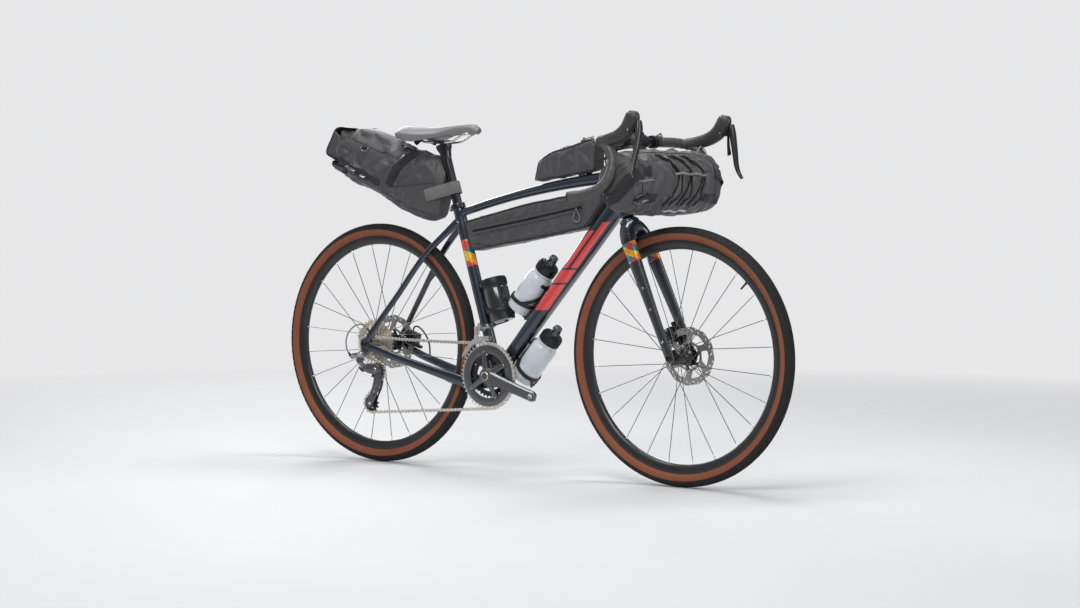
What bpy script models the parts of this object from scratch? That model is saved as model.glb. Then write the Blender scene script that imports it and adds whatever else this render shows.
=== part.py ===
"""Gravel bike with drop bars, disc brakes, a double chainset and four bikepacking bags.

Units are metres. The origin is on the ground, midway between the wheel axles.
+X points forward, +Y to the rider's left and +Z up, so the drivetrain is on the -Y side.
"""

import math

import bmesh
import bpy
from mathutils import Matrix, Vector
from mathutils.geometry import tessellate_polygon

# Driving dimensions
GAP = 0.0003
MERGE = 1e-6
FLAT_ANGLE = math.radians(0.2)
WHEELBASE = 1.055
TYRE_RADIUS = 0.351
TYRE_WIDTH = 0.040
RIM_INNER_RADIUS = 0.290
CHAINSTAY = 0.4426
BB_DROP = 0.076
SEAT_ANGLE = math.radians(73.1)
HEAD_ANGLE = math.radians(72.0)
FORK_LENGTH = 0.405
FORK_OFFSET = 0.049
STACK_TOP = 0.885
FRONT_HUB_WIDTH = 0.100
REAR_HUB_WIDTH = 0.142
AXLE_RADIUS = 0.006
ROTOR_RADIUS = 0.080
PAD_RADIUS = 0.0705
PAD_TALL = 0.0150
PAD_LONG = 0.0200
PAD_THICK = 0.0036
PAD_INNER = 0.0016
ROTOR_THICK = 0.0018
FRONT_ROTOR_Y = 0.0395
REAR_ROTOR_Y = 0.0555
CRANK_LENGTH = 0.1725
CRANK_ANGLE = math.radians(-16.3)
CHAIN_PITCH = 0.0127
OUTER_RING_TEETH = 46
INNER_RING_TEETH = 30
OUTER_RING_Y = -0.0495
INNER_RING_Y = -0.0420
COG_TEETH = (34, 30, 27, 25, 23, 21, 19, 17, 15, 13, 11)
COG_SPACING = 0.00374
FIRST_COG_Y = -0.0281
PULLEY_TEETH = 13
PULLEY_SPACING = 0.095
CHAIN_LINKS = 116
CHAIN_SAG = 0.004
BOTTLE_RADIUS = 0.0365
SPOKES = 24
SPIDER_ANGLES = (46, 116, 230, 313)
WHEEL_SEGMENTS = 30

# Points worked out from the driving dimensions
REAR_AXLE = Vector((-WHEELBASE / 2, 0, TYRE_RADIUS))
FRONT_AXLE = Vector((WHEELBASE / 2, 0, TYRE_RADIUS))
BB = Vector((REAR_AXLE.x + math.sqrt(CHAINSTAY**2 - BB_DROP**2), 0, TYRE_RADIUS - BB_DROP))
SEAT_UP = Vector((-math.cos(SEAT_ANGLE), 0, math.sin(SEAT_ANGLE)))
STEER_UP = Vector((-math.cos(HEAD_ANGLE), 0, math.sin(HEAD_ANGLE)))
STEER_AHEAD = Vector((math.sin(HEAD_ANGLE), 0, math.cos(HEAD_ANGLE)))
STEER_FOOT = FRONT_AXLE - STEER_AHEAD * FORK_OFFSET
CROWN_RACE = math.sqrt(FORK_LENGTH**2 - FORK_OFFSET**2)
HEAD_BOTTOM = CROWN_RACE + 0.008
HEAD_TOP = (STACK_TOP - STEER_FOOT.z) / STEER_UP.z
DOWN_TUBE_LOW = BB
DOWN_TUBE_TOP = STEER_FOOT + STEER_UP * 0.4640
DOWN_UP = (DOWN_TUBE_TOP - DOWN_TUBE_LOW).normalized()
DOWN_NORMAL = Vector((-DOWN_UP.z, 0, DOWN_UP.x))
LAST_COG_Y = FIRST_COG_Y - COG_SPACING * (len(COG_TEETH) - 1)
GUIDE_PULLEY = Vector((-0.4870, LAST_COG_Y, 0.2690))
X, Y, Z = Vector((1, 0, 0)), Vector((0, 1, 0)), Vector((0, 0, 1))

# Rear derailleur: the link swings about a slanted axis, half its travel either side of its middle,
# so that the pulleys move inwards and down as the cogs grow
LINK_LENGTH = 0.038
LINK_HALF_SWING = math.radians(31)
SLANT = Vector((0, 0.959, -0.282)).normalized()
LINK_MIDDLE = Vector((0.80, -0.169, -0.575)).normalized()
LINK_AXIS = LINK_MIDDLE.cross(SLANT).normalized()
REAR_DERAILLEUR_UPPER = Vector((-0.5480, -0.0680, 0.2985))
REAR_DERAILLEUR_LOWER = REAR_DERAILLEUR_UPPER + LINK_LENGTH * (
    LINK_MIDDLE * math.cos(LINK_HALF_SWING) - SLANT * math.sin(LINK_HALF_SWING)
)
CAGE_OUTER = 0.0090
CAGE_PIVOT = GUIDE_PULLEY + Vector((0.0105, -CAGE_OUTER - 0.0012, 0.0100))
HOUSING_END = Vector((-0.5735, -0.0880, 0.3185))
HOUSING_AXIS = Vector((-0.70, 0, 0.714)).normalized()

# Colours: base colour, roughness, metallic
FINISHES = {
    "navy_paint": ((0.030, 0.045, 0.065), 0.30, 0.3),
    "black_plastic": ((0.025, 0.025, 0.027), 0.50, 0.0),
    "black_alloy": ((0.030, 0.030, 0.032), 0.35, 0.8),
    "grey_alloy": ((0.085, 0.085, 0.090), 0.35, 0.9),
    "silver_steel": ((0.620, 0.600, 0.560), 0.28, 1.0),
    "tyre_rubber": ((0.030, 0.026, 0.024), 0.80, 0.0),
    "black_rubber": ((0.022, 0.022, 0.023), 0.70, 0.0),
    "grey_fabric": ((0.075, 0.075, 0.078), 0.65, 0.0),
    "saddle_cover": ((0.090, 0.090, 0.092), 0.45, 0.0),
    "clear_bottle": ((0.700, 0.740, 0.760), 0.25, 0.0),
    "smoke_bottle": ((0.030, 0.032, 0.035), 0.18, 0.0),
}


def clear_scene():
    for old in list(bpy.data.objects):
        bpy.data.objects.remove(old, do_unlink=True)


def finish(name):
    """The material of this name, made on first use."""
    material = bpy.data.materials.get(name)
    if material:
        return material
    colour, roughness, metallic = FINISHES[name]
    material = bpy.data.materials.new(name)
    material.use_nodes = True
    shader = material.node_tree.nodes["Principled BSDF"]
    shader.inputs["Base Color"].default_value = (*colour, 1)
    shader.inputs["Roughness"].default_value = roughness
    shader.inputs["Metallic"].default_value = metallic
    return material


# Shapes: each function returns a new bmesh in world coordinates


def bridge(bm, first, second):
    count = len(first)
    for i in range(count):
        j = (i + 1) % count
        bm.faces.new((first[i], first[j], second[j], second[i]))


def facing_out(bm):
    bmesh.ops.recalc_face_normals(bm, faces=bm.faces)
    if bm.calc_volume(signed=True) < 0:
        bmesh.ops.reverse_faces(bm, faces=bm.faces)
    return bm


def loft(loops, closed=False):
    """A skin over loops of equally many points, capped at both ends or closed into a ring."""
    bm = bmesh.new()
    rings = [[bm.verts.new(p) for p in loop] for loop in loops]
    for first, second in zip(rings, rings[1:]):
        bridge(bm, first, second)
    if closed:
        bridge(bm, rings[-1], rings[0])
    else:
        bm.faces.new(rings[0])
        bm.faces.new(rings[-1])
    return facing_out(bm)


def oval(half_a, half_b, sides, power=2.0, turn=0.5):
    """A superellipse outline as (a, b) pairs. A power over 2 squares it up."""
    points = []
    for i in range(sides):
        angle = 2 * math.pi * (i + turn) / sides
        c, s = math.cos(angle), math.sin(angle)
        a = math.copysign(abs(c) ** (2 / power), c) * half_a
        b = math.copysign(abs(s) ** (2 / power), s) * half_b
        points.append((a, b))
    return points


def tangents(points):
    last = len(points) - 1
    return [
        (points[min(i + 1, last)] - points[max(i - 1, 0)]).normalized() for i in range(last + 1)
    ]


def sweep(points, halves, sides=10, across=Y, power=2.0, turn=0.5):
    """An oval tube along points. Each pair of halves is its size along across and at right angles."""
    loops = []
    for point, tangent, (half_a, half_b) in zip(points, tangents(points), halves):
        u = (across - tangent * across.dot(tangent)).normalized()
        v = tangent.cross(u)
        loops.append([point + u * a + v * b for a, b in oval(half_a, half_b, sides, power, turn)])
    return loft(loops)


def pipe(points, radii, sides=8):
    """A round tube whose section is carried along the route without twisting."""
    along = tangents(points)
    u = along[0].orthogonal().normalized()
    loops = []
    for point, tangent, radius in zip(points, along, radii):
        u = (u - tangent * u.dot(tangent)).normalized()
        v = tangent.cross(u)
        loops.append([point + u * a + v * b for a, b in oval(radius, radius, sides)])
    return loft(loops)


def smooth_route(points, steps):
    """A smooth curve through the points, with this many steps between each two."""
    ends = [points[0] * 2 - points[1]] + list(points) + [points[-1] * 2 - points[-2]]
    route = []
    for a, b, c, d in zip(ends, ends[1:], ends[2:], ends[3:]):
        for step in range(steps):
            t = step / steps
            route.append(
                0.5 * (2 * b + (c - a) * t + (2 * a - 5 * b + 4 * c - d) * t**2
                       + (3 * b - a - 3 * c + d) * t**3)
            )
    route.append(points[-1].copy())
    return route


def even_route(points, spacing):
    """The smooth curve through the points, as stations this far apart."""
    fine = smooth_route(points, 12)
    reach = [0.0]
    for a, b in zip(fine, fine[1:]):
        reach.append(reach[-1] + (b - a).length)
    count = max(2, round(reach[-1] / spacing))
    route, k = [], 0
    for i in range(count + 1):
        target = reach[-1] * i / count
        while k < len(fine) - 2 and reach[k + 1] < target:
            k += 1
        share = (target - reach[k]) / (reach[k + 1] - reach[k])
        route.append(fine[k].lerp(fine[k + 1], share))
    return route


def blend_sizes(sizes, count):
    """Pairs or single sizes spread evenly over count stations."""
    spread = []
    for i in range(count):
        place = i / (count - 1) * (len(sizes) - 1)
        low = min(int(place), len(sizes) - 2)
        t = place - low
        first, second = sizes[low], sizes[low + 1]
        if isinstance(first, tuple):
            spread.append(tuple(p + (q - p) * t for p, q in zip(first, second)))
        else:
            spread.append(first + (second - first) * t)
    return spread


def turned(profile, centre=Vector(), axis=Y, sides=16, start=0.0):
    """A closed (radius, along) profile turned round an axis. A radius of 0 ends it on the axis."""
    u = axis.orthogonal().normalized()
    v = axis.cross(u)
    bm = bmesh.new()
    rings = []
    for radius, along in profile:
        if radius == 0:
            rings.append([bm.verts.new(centre + axis * along)])
            continue
        ring = []
        for i in range(sides):
            angle = 2 * math.pi * i / sides + start
            out = u * math.cos(angle) + v * math.sin(angle)
            ring.append(bm.verts.new(centre + axis * along + out * radius))
        rings.append(ring)
    solid = len(rings[0]) == 1
    pairs = list(zip(rings, rings[1:])) + ([] if solid else [(rings[-1], rings[0])])
    for first, second in pairs:
        for i in range(sides):
            j = (i + 1) % sides
            corners = [first[i % len(first)], first[j % len(first)], second[j % len(second)]]
            corners.append(second[i % len(second)])
            unique = list(dict.fromkeys(corners))
            if len(unique) > 2:
                bm.faces.new(unique)
    return facing_out(bm)


def wheel_ring(profile, centre, start_angle=0.0):
    """A (radius, y) profile turned round the wheel axis, with a vertex straight below the centre."""
    loops = []
    for i in range(WHEEL_SEGMENTS):
        angle = 2 * math.pi * i / WHEEL_SEGMENTS + start_angle
        out = Vector((math.cos(angle), 0, math.sin(angle)))
        loops.append([centre + out * r + Y * y for r, y in profile])
    return loft(loops, closed=True)


def plate(outline, holes, thickness, centre=Vector(), normal=Y, right=X):
    """A flat plate of this outline and these holes, given as (a, b) pairs, about the centre."""
    up = Z if normal == Y else normal.cross(right)
    paths = [[Vector((a, b, 0)) for a, b in path] for path in [outline] + holes]
    flat = [point for path in paths for point in path]
    bm = bmesh.new()
    sides = []
    for offset in (-thickness / 2, thickness / 2):
        sides.append([bm.verts.new(centre + right * p.x + up * p.y + normal * offset) for p in flat])
    for triangle in tessellate_polygon(paths):
        for layer in sides:
            bm.faces.new([layer[i] for i in triangle])
    start = 0
    for path in paths:
        count = len(path)
        lower = sides[0][start : start + count]
        upper = sides[1][start : start + count]
        bridge(bm, lower, upper)
        start += count
    return facing_out(bm)


def block(size, centre, right=X, normal=Y, bevel=0.0):
    """A box with its sides along right and normal, its edges bevelled on request."""
    up = right.cross(normal)
    bm = bmesh.new()
    bmesh.ops.create_cube(bm, size=1)
    bmesh.ops.scale(bm, vec=size, verts=bm.verts)
    if bevel:
        bm.normal_update()
        bmesh.ops.bevel(bm, geom=bm.edges[:], offset=bevel, segments=1, affect="EDGES")
    for vert in bm.verts:
        a, b, c = vert.co
        vert.co = centre + right * a + normal * b + up * c
    return facing_out(bm)


def rod(start, end, radius, sides=10):
    axis = (end - start).normalized()
    length = (end - start).length
    profile = [(0, 0), (radius, 0), (radius, length), (0, length)]
    return turned(profile, start, axis, sides)


def circle_points(radius, count, start=0.0):
    return [
        (radius * math.cos(start + 2 * math.pi * i / count),
         radius * math.sin(start + 2 * math.pi * i / count))
        for i in range(count)
    ]


# Joining and cutting


def temporary(bm):
    bmesh.ops.triangulate(bm, faces=bm.faces)
    mesh = bpy.data.meshes.new("tool")
    bm.to_mesh(mesh)
    bm.free()
    tool = bpy.data.objects.new("tool", mesh)
    bpy.context.scene.collection.objects.link(tool)
    return tool


def combined(base, others, operation):
    """The base with each other shape joined to it or cut from it, one at a time."""
    body = temporary(base)
    tools = [temporary(other) for other in others]
    for tool in tools:
        modifier = body.modifiers.new("boolean", "BOOLEAN")
        modifier.operation = operation
        modifier.solver = "EXACT"
        modifier.object = tool
    graph = bpy.context.evaluated_depsgraph_get()
    mesh = bpy.data.meshes.new_from_object(body.evaluated_get(graph))
    bm = bmesh.new()
    bm.from_mesh(mesh)
    bpy.data.meshes.remove(mesh)
    for tool in [body] + tools:
        bpy.data.objects.remove(tool, do_unlink=True)
    bmesh.ops.remove_doubles(bm, verts=bm.verts, dist=MERGE)
    bmesh.ops.dissolve_degenerate(bm, edges=bm.edges, dist=MERGE)
    bmesh.ops.dissolve_limit(bm, angle_limit=FLAT_ANGLE, verts=bm.verts, edges=bm.edges)
    return bm


def joined(base, *others):
    return combined(base, others, "UNION")


def cut(base, *others):
    return combined(base, others, "DIFFERENCE")


# Bodies: each is an empty on its joint, which carries its pieces

BODIES = {}


def body(name, pivot, parent=None):
    empty = bpy.data.objects.new(name + "_pivot", None)
    empty.empty_display_size = 0.05
    bpy.context.scene.collection.objects.link(empty)
    empty.location = pivot
    if parent:
        empty.parent = BODIES[parent][0]
        empty.location = pivot - BODIES[parent][1]
    BODIES[name] = (empty, pivot.copy())


def piece(name, bm, material, body_name, smooth_angle=35):
    """One named part, its mesh kept relative to the empty of its body."""
    empty, pivot = BODIES[body_name]
    bmesh.ops.translate(bm, vec=-pivot, verts=bm.verts)
    mesh = bpy.data.meshes.new(name)
    bm.to_mesh(mesh)
    bm.free()
    mesh.materials.append(finish(material))
    mesh.shade_smooth()
    mesh.set_sharp_from_angle(angle=math.radians(smooth_angle))
    obj = bpy.data.objects.new(name, mesh)
    bpy.context.scene.collection.objects.link(obj)
    obj.parent = empty
    return obj


def cord(name, route, diameter, material, body_name):
    """A round cord as a bevelled curve along a smooth route."""
    empty, pivot = BODIES[body_name]
    curve = bpy.data.curves.new(name, "CURVE")
    curve.dimensions = "3D"
    curve.bevel_depth = diameter / 2
    curve.bevel_resolution = 2
    curve.use_fill_caps = True
    spline = curve.splines.new("POLY")
    spline.points.add(len(route) - 1)
    for slot, point in zip(spline.points, route):
        slot.co = (*(point - pivot), 1)
    curve.materials.append(finish(material))
    obj = bpy.data.objects.new(name, curve)
    bpy.context.scene.collection.objects.link(obj)
    obj.parent = empty
    return obj


# Frame


def seat_point(height, ahead=0.0):
    """A point of the seat tube's centre line at this height, moved ahead at right angles to it."""
    along = (height - BB.z) / SEAT_UP.z
    return BB + SEAT_UP * along + Vector((SEAT_UP.z, 0, -SEAT_UP.x)) * ahead


def steer_point(along, ahead=0.0):
    return STEER_FOOT + STEER_UP * along + STEER_AHEAD * ahead


SEAT_TUBE_RADIUS = 0.0168
POST_RADIUS = 0.0136
SEAT_TUBE_TOP = 0.761
SHELL_RADIUS = 0.0215
SHELL_HALF = 0.034
CUP_HALF = 0.0425
SPINDLE_BORE = 0.0124
HEAD_RADIUS = 0.0245
TOP_TUBE_REAR = 0.7320


def head_tube_profile(grow=0.0):
    outer = [(0.0275, HEAD_BOTTOM), (0.0275, HEAD_BOTTOM + 0.012), (HEAD_RADIUS, HEAD_BOTTOM + 0.05),
             (0.0228, HEAD_TOP - 0.02), (0.0240, HEAD_TOP)]
    return [(radius + grow, along) for radius, along in outer]


def head_tube_cutter():
    solid = [(0, HEAD_BOTTOM - 0.01)] + head_tube_profile(GAP) + [(0, HEAD_TOP + 0.01)]
    return turned(solid, STEER_FOOT, STEER_UP, 12)


def make_head_tube():
    bore = 0.0162
    profile = head_tube_profile() + [(bore, HEAD_TOP), (bore, HEAD_BOTTOM)]
    piece("head_tube", turned(profile, STEER_FOOT, STEER_UP, 12), "navy_paint", "frame")


def seat_tube_cutter():
    return joined(
        rod(BB - SEAT_UP * 0.01, seat_point(SEAT_TUBE_TOP + 0.02), SEAT_TUBE_RADIUS + GAP, 12),
        rod(BB - Y * 0.05, BB + Y * 0.05, SHELL_RADIUS + GAP, 12),
    )


def make_seat_tube():
    """Seat tube, its clamp collar and the bottom bracket shell, bored for the post and spindle."""
    foot = 0.0126
    top = (SEAT_TUBE_TOP - BB.z) / SEAT_UP.z
    collar_foot, collar_top, bore_foot = top - 0.016, top - 0.001, top - 0.200
    tube = turned([(0, foot), (SEAT_TUBE_RADIUS, foot), (SEAT_TUBE_RADIUS, collar_foot),
                   (0.0202, collar_foot), (0.0202, collar_top), (SEAT_TUBE_RADIUS, collar_top),
                   (SEAT_TUBE_RADIUS, top), (POST_RADIUS + GAP, top), (POST_RADIUS + GAP, bore_foot),
                   (0, bore_foot)], BB, SEAT_UP, 12)
    shell = turned([(SPINDLE_BORE, -CUP_HALF), (0.0205, -CUP_HALF), (0.0205, -SHELL_HALF),
                    (SHELL_RADIUS, -SHELL_HALF), (SHELL_RADIUS, SHELL_HALF), (0.0205, SHELL_HALF),
                    (0.0205, CUP_HALF), (SPINDLE_BORE, CUP_HALF)], BB, Y, 12)
    lug = block((0.0140, 0.0150, 0.0120), seat_point(SEAT_TUBE_TOP - 0.0090, -0.0220))
    piece("seat_tube", joined(shell, tube, lug), "navy_paint", "frame")


def make_top_tube():
    rear = seat_point(TOP_TUBE_REAR)
    front = steer_point(0.5270)
    points, count = [], 6
    for i in range(count):
        t = i / (count - 1)
        points.append(rear.lerp(front, t) + Z * 0.058 * t * (1 - t))
    halves = blend_sizes([(0.0125, 0.0115), (0.0150, 0.0120), (0.0175, 0.0150), (0.0185, 0.0175)], count)
    tube = sweep(points, halves, 12, power=2.4)
    tube = cut(tube, seat_tube_cutter(), head_tube_cutter())
    piece("top_tube", tube, "navy_paint", "frame")


def make_down_tube():
    halves = blend_sizes([(0.0250, 0.0205), (0.0245, 0.0215), (0.0250, 0.0240), (0.0255, 0.0270),
                          (0.0220, 0.0285)], 6)
    points = [DOWN_TUBE_LOW.lerp(DOWN_TUBE_TOP, i / 5) for i in range(6)]
    tube = sweep(points, halves, 12, power=2.6)
    tube = cut(tube, seat_tube_cutter(), head_tube_cutter())
    piece("down_tube", tube, "navy_paint", "frame")


def make_stays(name, side):
    """One side's dropout, chainstay and seatstay, welded into a narrow V."""
    y_out = side * (REAR_HUB_WIDTH / 2 + 0.0035 + GAP)
    chain_route = [Vector((BB.x + 0.004, side * 0.024, 0.258)), Vector((-0.160, side * 0.0300, 0.2475)),
                   Vector((-0.225, side * 0.0375, 0.2620)), Vector((-0.320, side * 0.0475, 0.2870)),
                   Vector((-0.420, side * 0.0590, 0.3140)), Vector((-0.495, y_out, 0.3380)),
                   Vector((-0.524, y_out, 0.3470))]
    chain_sizes = [(0.0100, 0.0150), (0.0080, 0.0170), (0.0075, 0.0150), (0.0080, 0.0125),
                   (0.0075, 0.0115), (0.0035, 0.0125), (0.0035, 0.0120)]
    seat_route = [seat_point(0.712, -0.004) + Y * side * 0.013, Vector((-0.330, side * 0.0380, 0.612)),
                  Vector((-0.420, side * 0.0560, 0.492)), Vector((-0.496, y_out, 0.392)),
                  Vector((-0.524, y_out, 0.353))]
    seat_sizes = [(0.0085, 0.0115), (0.0075, 0.0090), (0.0070, 0.0085), (0.0035, 0.0100),
                  (0.0035, 0.0120)]
    dropout = rod(REAR_AXLE + Y * (y_out - 0.0034), REAR_AXLE + Y * (y_out + 0.0034), 0.0165, 10)
    solid = joined(dropout, sweep(chain_route, chain_sizes, 8, power=2.3),
                   sweep(seat_route, seat_sizes, 8))
    if side < 0:
        hanger = [(-0.012, -0.010), (0.008, -0.012), (0.006, -0.034), (0.000, -0.0405),
                  (-0.008, -0.0405), (-0.0135, -0.033)]
        solid = joined(solid, plate(hanger, [], 0.0068, REAR_AXLE + Y * y_out))
    axle_bore = rod(REAR_AXLE - Y * 0.1, REAR_AXLE + Y * 0.1, AXLE_RADIUS + GAP, 8)
    piece(name, cut(solid, axle_bore, seat_tube_cutter()), "navy_paint", "frame")


# Wheels


def tyre_profile():
    """The casing and tread, seated in the rim's channel, as (radius, y)."""
    half = TYRE_WIDTH / 2
    outer = [(0.3112, 0.0100), (0.3305, half), (0.3465, half * 0.70)]
    mirror = [(r, -y) for r, y in reversed(outer)]
    return outer + [(TYRE_RADIUS, 0)] + mirror


def rim_profile():
    outer = [(0.3150, 0.0122), (RIM_INNER_RADIUS, 0.0050)]
    mirror = [(r, -y) for r, y in reversed(outer)]
    return outer + mirror + [(0.3105, -0.0104), (0.3105, 0.0104)]


def spokes_of(centre, left_y, left_r, right_y, right_r):
    """24 crossed spokes as thin rods, from inside the hub flanges to just short of the rim."""
    rods = []
    for i in range(SPOKES):
        left = i % 2 == 0
        flange_y, flange_r = (left_y, left_r) if left else (right_y, right_r)
        leading = (i // 2) % 2 == 0
        rim_angle = 2 * math.pi * (i + 0.5) / SPOKES
        lean = math.radians(62) * (1 if leading else -1)
        hub_angle = rim_angle + lean
        head = 0.0022 * (1 if leading else -1)
        start = centre + Y * (flange_y + head)
        start += Vector((math.cos(hub_angle), 0, math.sin(hub_angle))) * (flange_r - 0.0035)
        tip_y = 0.0022 if left else -0.0022
        end = centre + Y * tip_y
        end += Vector((math.cos(rim_angle), 0, math.sin(rim_angle))) * (RIM_INNER_RADIUS - 0.0019)
        rods.append(rod(start, end, 0.0012, 3))
    return rods


def make_wheel(side_name, centre, hub_profile, flanges, rotor_y):
    body_name = side_name + "_wheel"
    piece(side_name + "_tyre", wheel_ring(tyre_profile(), centre), "tyre_rubber", body_name, 50)
    piece(side_name + "_rim", wheel_ring(rim_profile(), centre), "black_alloy", body_name)
    hub = turned(hub_profile, centre, Y, 10)
    hub = joined(hub, *spokes_of(centre, *flanges))
    piece(side_name + "_hub", hub, "black_alloy", body_name)
    piece(side_name + "_rotor", rotor(centre + Y * rotor_y), "silver_steel", body_name)


def rotor(centre):
    """A braking band carried by six swept arms, with slots through the band."""
    arms, band_inner, hub_outer, slots = 6, 0.0635, 0.0235, 6
    holes = [circle_points(0.0172, 12)]
    step = 2 * math.pi / arms
    for k in range(arms):
        window = []
        for t, radius in ((0.14, band_inner), (0.52, band_inner + 0.003), (0.90, band_inner)):
            angle = step * (k + t)
            window.append((radius * math.cos(angle), radius * math.sin(angle)))
        for t, radius in ((0.62, hub_outer + 0.004), (0.30, hub_outer + 0.002)):
            angle = step * (k + t) - 0.42
            window.append((radius * math.cos(angle), radius * math.sin(angle)))
        holes.append(window)
    for k in range(slots):
        angle = 2 * math.pi * (k + 0.5) / slots
        lean = 0.05
        corners = ((0.0685, -0.030 - lean), (0.0685, 0.030 - lean), (0.0765, 0.022 + lean),
                   (0.0765, -0.022 + lean))
        holes.append([(r * math.cos(angle + a), r * math.sin(angle + a)) for r, a in corners])
    return plate(circle_points(ROTOR_RADIUS, 20), holes, ROTOR_THICK, centre)


def make_front_wheel():
    end = FRONT_HUB_WIDTH / 2 - GAP
    bore = AXLE_RADIUS + 0.0006
    profile = [(bore, -end), (0.0095, -end), (0.0095, -0.040), (0.0215, -0.0365), (0.0215, -0.0315),
               (0.0120, -0.024), (0.0130, 0.012), (0.0235, 0.0195), (0.0235, 0.0245), (0.0160, 0.0275),
               (0.0160, 0.0440), (0.0095, end), (bore, end)]
    make_wheel("front", FRONT_AXLE, profile, (0.0220, 0.0235, -0.0340, 0.0210), FRONT_ROTOR_Y)


def make_rear_wheel():
    end = REAR_HUB_WIDTH / 2 - GAP
    bore = AXLE_RADIUS + 0.0006
    profile = [(bore, -0.0225), (0.0280, -0.0215), (0.0280, -0.0165), (0.0150, -0.006),
               (0.0145, 0.018), (0.0250, 0.0310), (0.0250, 0.0360), (0.0160, 0.0400), (0.0160, 0.0600),
               (0.0095, end), (bore, end)]
    make_wheel("rear", REAR_AXLE, profile, (0.0335, 0.0250, -0.0190, 0.0270), REAR_ROTOR_Y)


def make_axle(name, centre, width, overhang, body_name):
    """A through axle with its lever-free head on the right and its thread end on the left."""
    half = width / 2
    profile = [(0, -half - overhang - 0.004), (0.0085, -half - overhang - 0.004),
               (0.0085, -half - overhang), (AXLE_RADIUS - GAP, -half - overhang),
               (AXLE_RADIUS - GAP, half + overhang), (0, half + overhang)]
    piece(name, turned(profile, centre, Y, 8), "black_alloy", body_name)


# Drivetrain


def pitch_radius(teeth):
    return CHAIN_PITCH * teeth / (2 * math.pi)


def tooth_outline(teeth, phase, depth=0.0046, height=0.0026):
    """Valleys where the chain's rollers sit, at phase, and a tooth between each two."""
    radius = pitch_radius(teeth)
    outline = []
    for i in range(teeth):
        valley = phase + 2 * math.pi * i / teeth
        tip = valley + math.pi / teeth
        outline.append(((radius - depth) * math.cos(valley), (radius - depth) * math.sin(valley)))
        outline.append(((radius + height) * math.cos(tip), (radius + height) * math.sin(tip)))
    return outline


def turn_left(direction):
    return Vector((-direction.y, direction.x))


def chain_circles(cage_angle):
    """Each wheel that the chain meets, in order: centre, radius, sense (1 anticlockwise) and y.

    Seen from the drive side, so x runs right and z up.
    """
    guide = Vector((GUIDE_PULLEY.x, GUIDE_PULLEY.z))
    tension = guide + Vector((math.cos(cage_angle), math.sin(cage_angle))) * PULLEY_SPACING
    pulley = pitch_radius(PULLEY_TEETH)
    return [
        (Vector((BB.x, BB.z)), pitch_radius(OUTER_RING_TEETH), -1, OUTER_RING_Y),
        (tension, pulley, -1, LAST_COG_Y),
        (guide, pulley, 1, LAST_COG_Y),
        (Vector((REAR_AXLE.x, REAR_AXLE.z)), pitch_radius(COG_TEETH[-1]), -1, LAST_COG_Y),
    ]


def chain_runs(cage_angle):
    """The chain's straight runs and arcs in order, each as a length and a function of distance."""
    circles = chain_circles(cage_angle)
    lines = []
    for a, b in zip(circles, circles[1:] + circles[:1]):
        between = b[0] - a[0]
        swing = math.asin((b[2] * b[1] - a[2] * a[1]) / between.length)
        angle = math.atan2(between.y, between.x) - swing
        direction = Vector((math.cos(angle), math.sin(angle)))
        start = a[0] - turn_left(direction) * a[2] * a[1]
        end = b[0] - turn_left(direction) * b[2] * b[1]
        lines.append((start, end, a[3], b[3]))
    runs = []
    for i, circle in enumerate(circles):
        centre, radius, sense, y = circle
        arrive, leave = lines[i - 1][1] - centre, lines[i][0] - centre
        first = math.atan2(arrive.y, arrive.x)
        last = math.atan2(leave.y, leave.x)
        sweep_angle = (last - first) * sense % (2 * math.pi)
        runs.append(("arc", sweep_angle * radius, centre, radius, sense, first, y))
        start, end, y0, y1 = lines[i]
        runs.append(("line", (end - start).length, start, end, y0, y1))
    return runs


def chain_length(cage_angle):
    return sum(run[1] for run in chain_runs(cage_angle))


def solve_cage_angle():
    """The cage angle at which the chain's path is a whole number of links long."""
    target = CHAIN_LINKS * CHAIN_PITCH
    low, high = math.radians(-150), math.radians(-60)
    rising = chain_length(high) > chain_length(low)
    for _ in range(60):
        middle = (low + high) / 2
        if (chain_length(middle) < target) == rising:
            low = middle
        else:
            high = middle
    return (low + high) / 2


def chain_point(runs, distance):
    """Point, inward-free side direction and tangent of the chain at this distance along it."""
    total = sum(run[1] for run in runs)
    distance %= total
    for run in runs:
        if distance <= run[1]:
            break
        distance -= run[1]
    if run[0] == "arc":
        _, _, centre, radius, sense, first, y = run
        angle = first + sense * distance / radius
        out = Vector((math.cos(angle), math.sin(angle)))
        flat, tangent = centre + out * radius, turn_left(out) * sense
        return Vector((flat.x, y, flat.y)), Vector((tangent.x, 0, tangent.y))
    _, length, start, end, y0, y1 = run
    t = distance / length
    flat, tangent = start.lerp(end, t), (end - start).normalized()
    ease = t * t * (3 - 2 * t)
    sag = 4 * CHAIN_SAG * t * (1 - t) if run is runs[-1] else 0
    return Vector((flat.x, y0 + (y1 - y0) * ease, flat.y - sag)), Vector((tangent.x, 0, tangent.y))


def roller_phase(runs, index):
    """The angle of a roller on the wheel of this index, about the wheel's centre."""
    before = sum(run[1] for run in runs[: 2 * index])
    first_roller = math.ceil(before / CHAIN_PITCH)
    point, _ = chain_point(runs, first_roller * CHAIN_PITCH)
    centre = runs[2 * index][2]
    return math.atan2(point.z - centre.y, point.x - centre.x)


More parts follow.
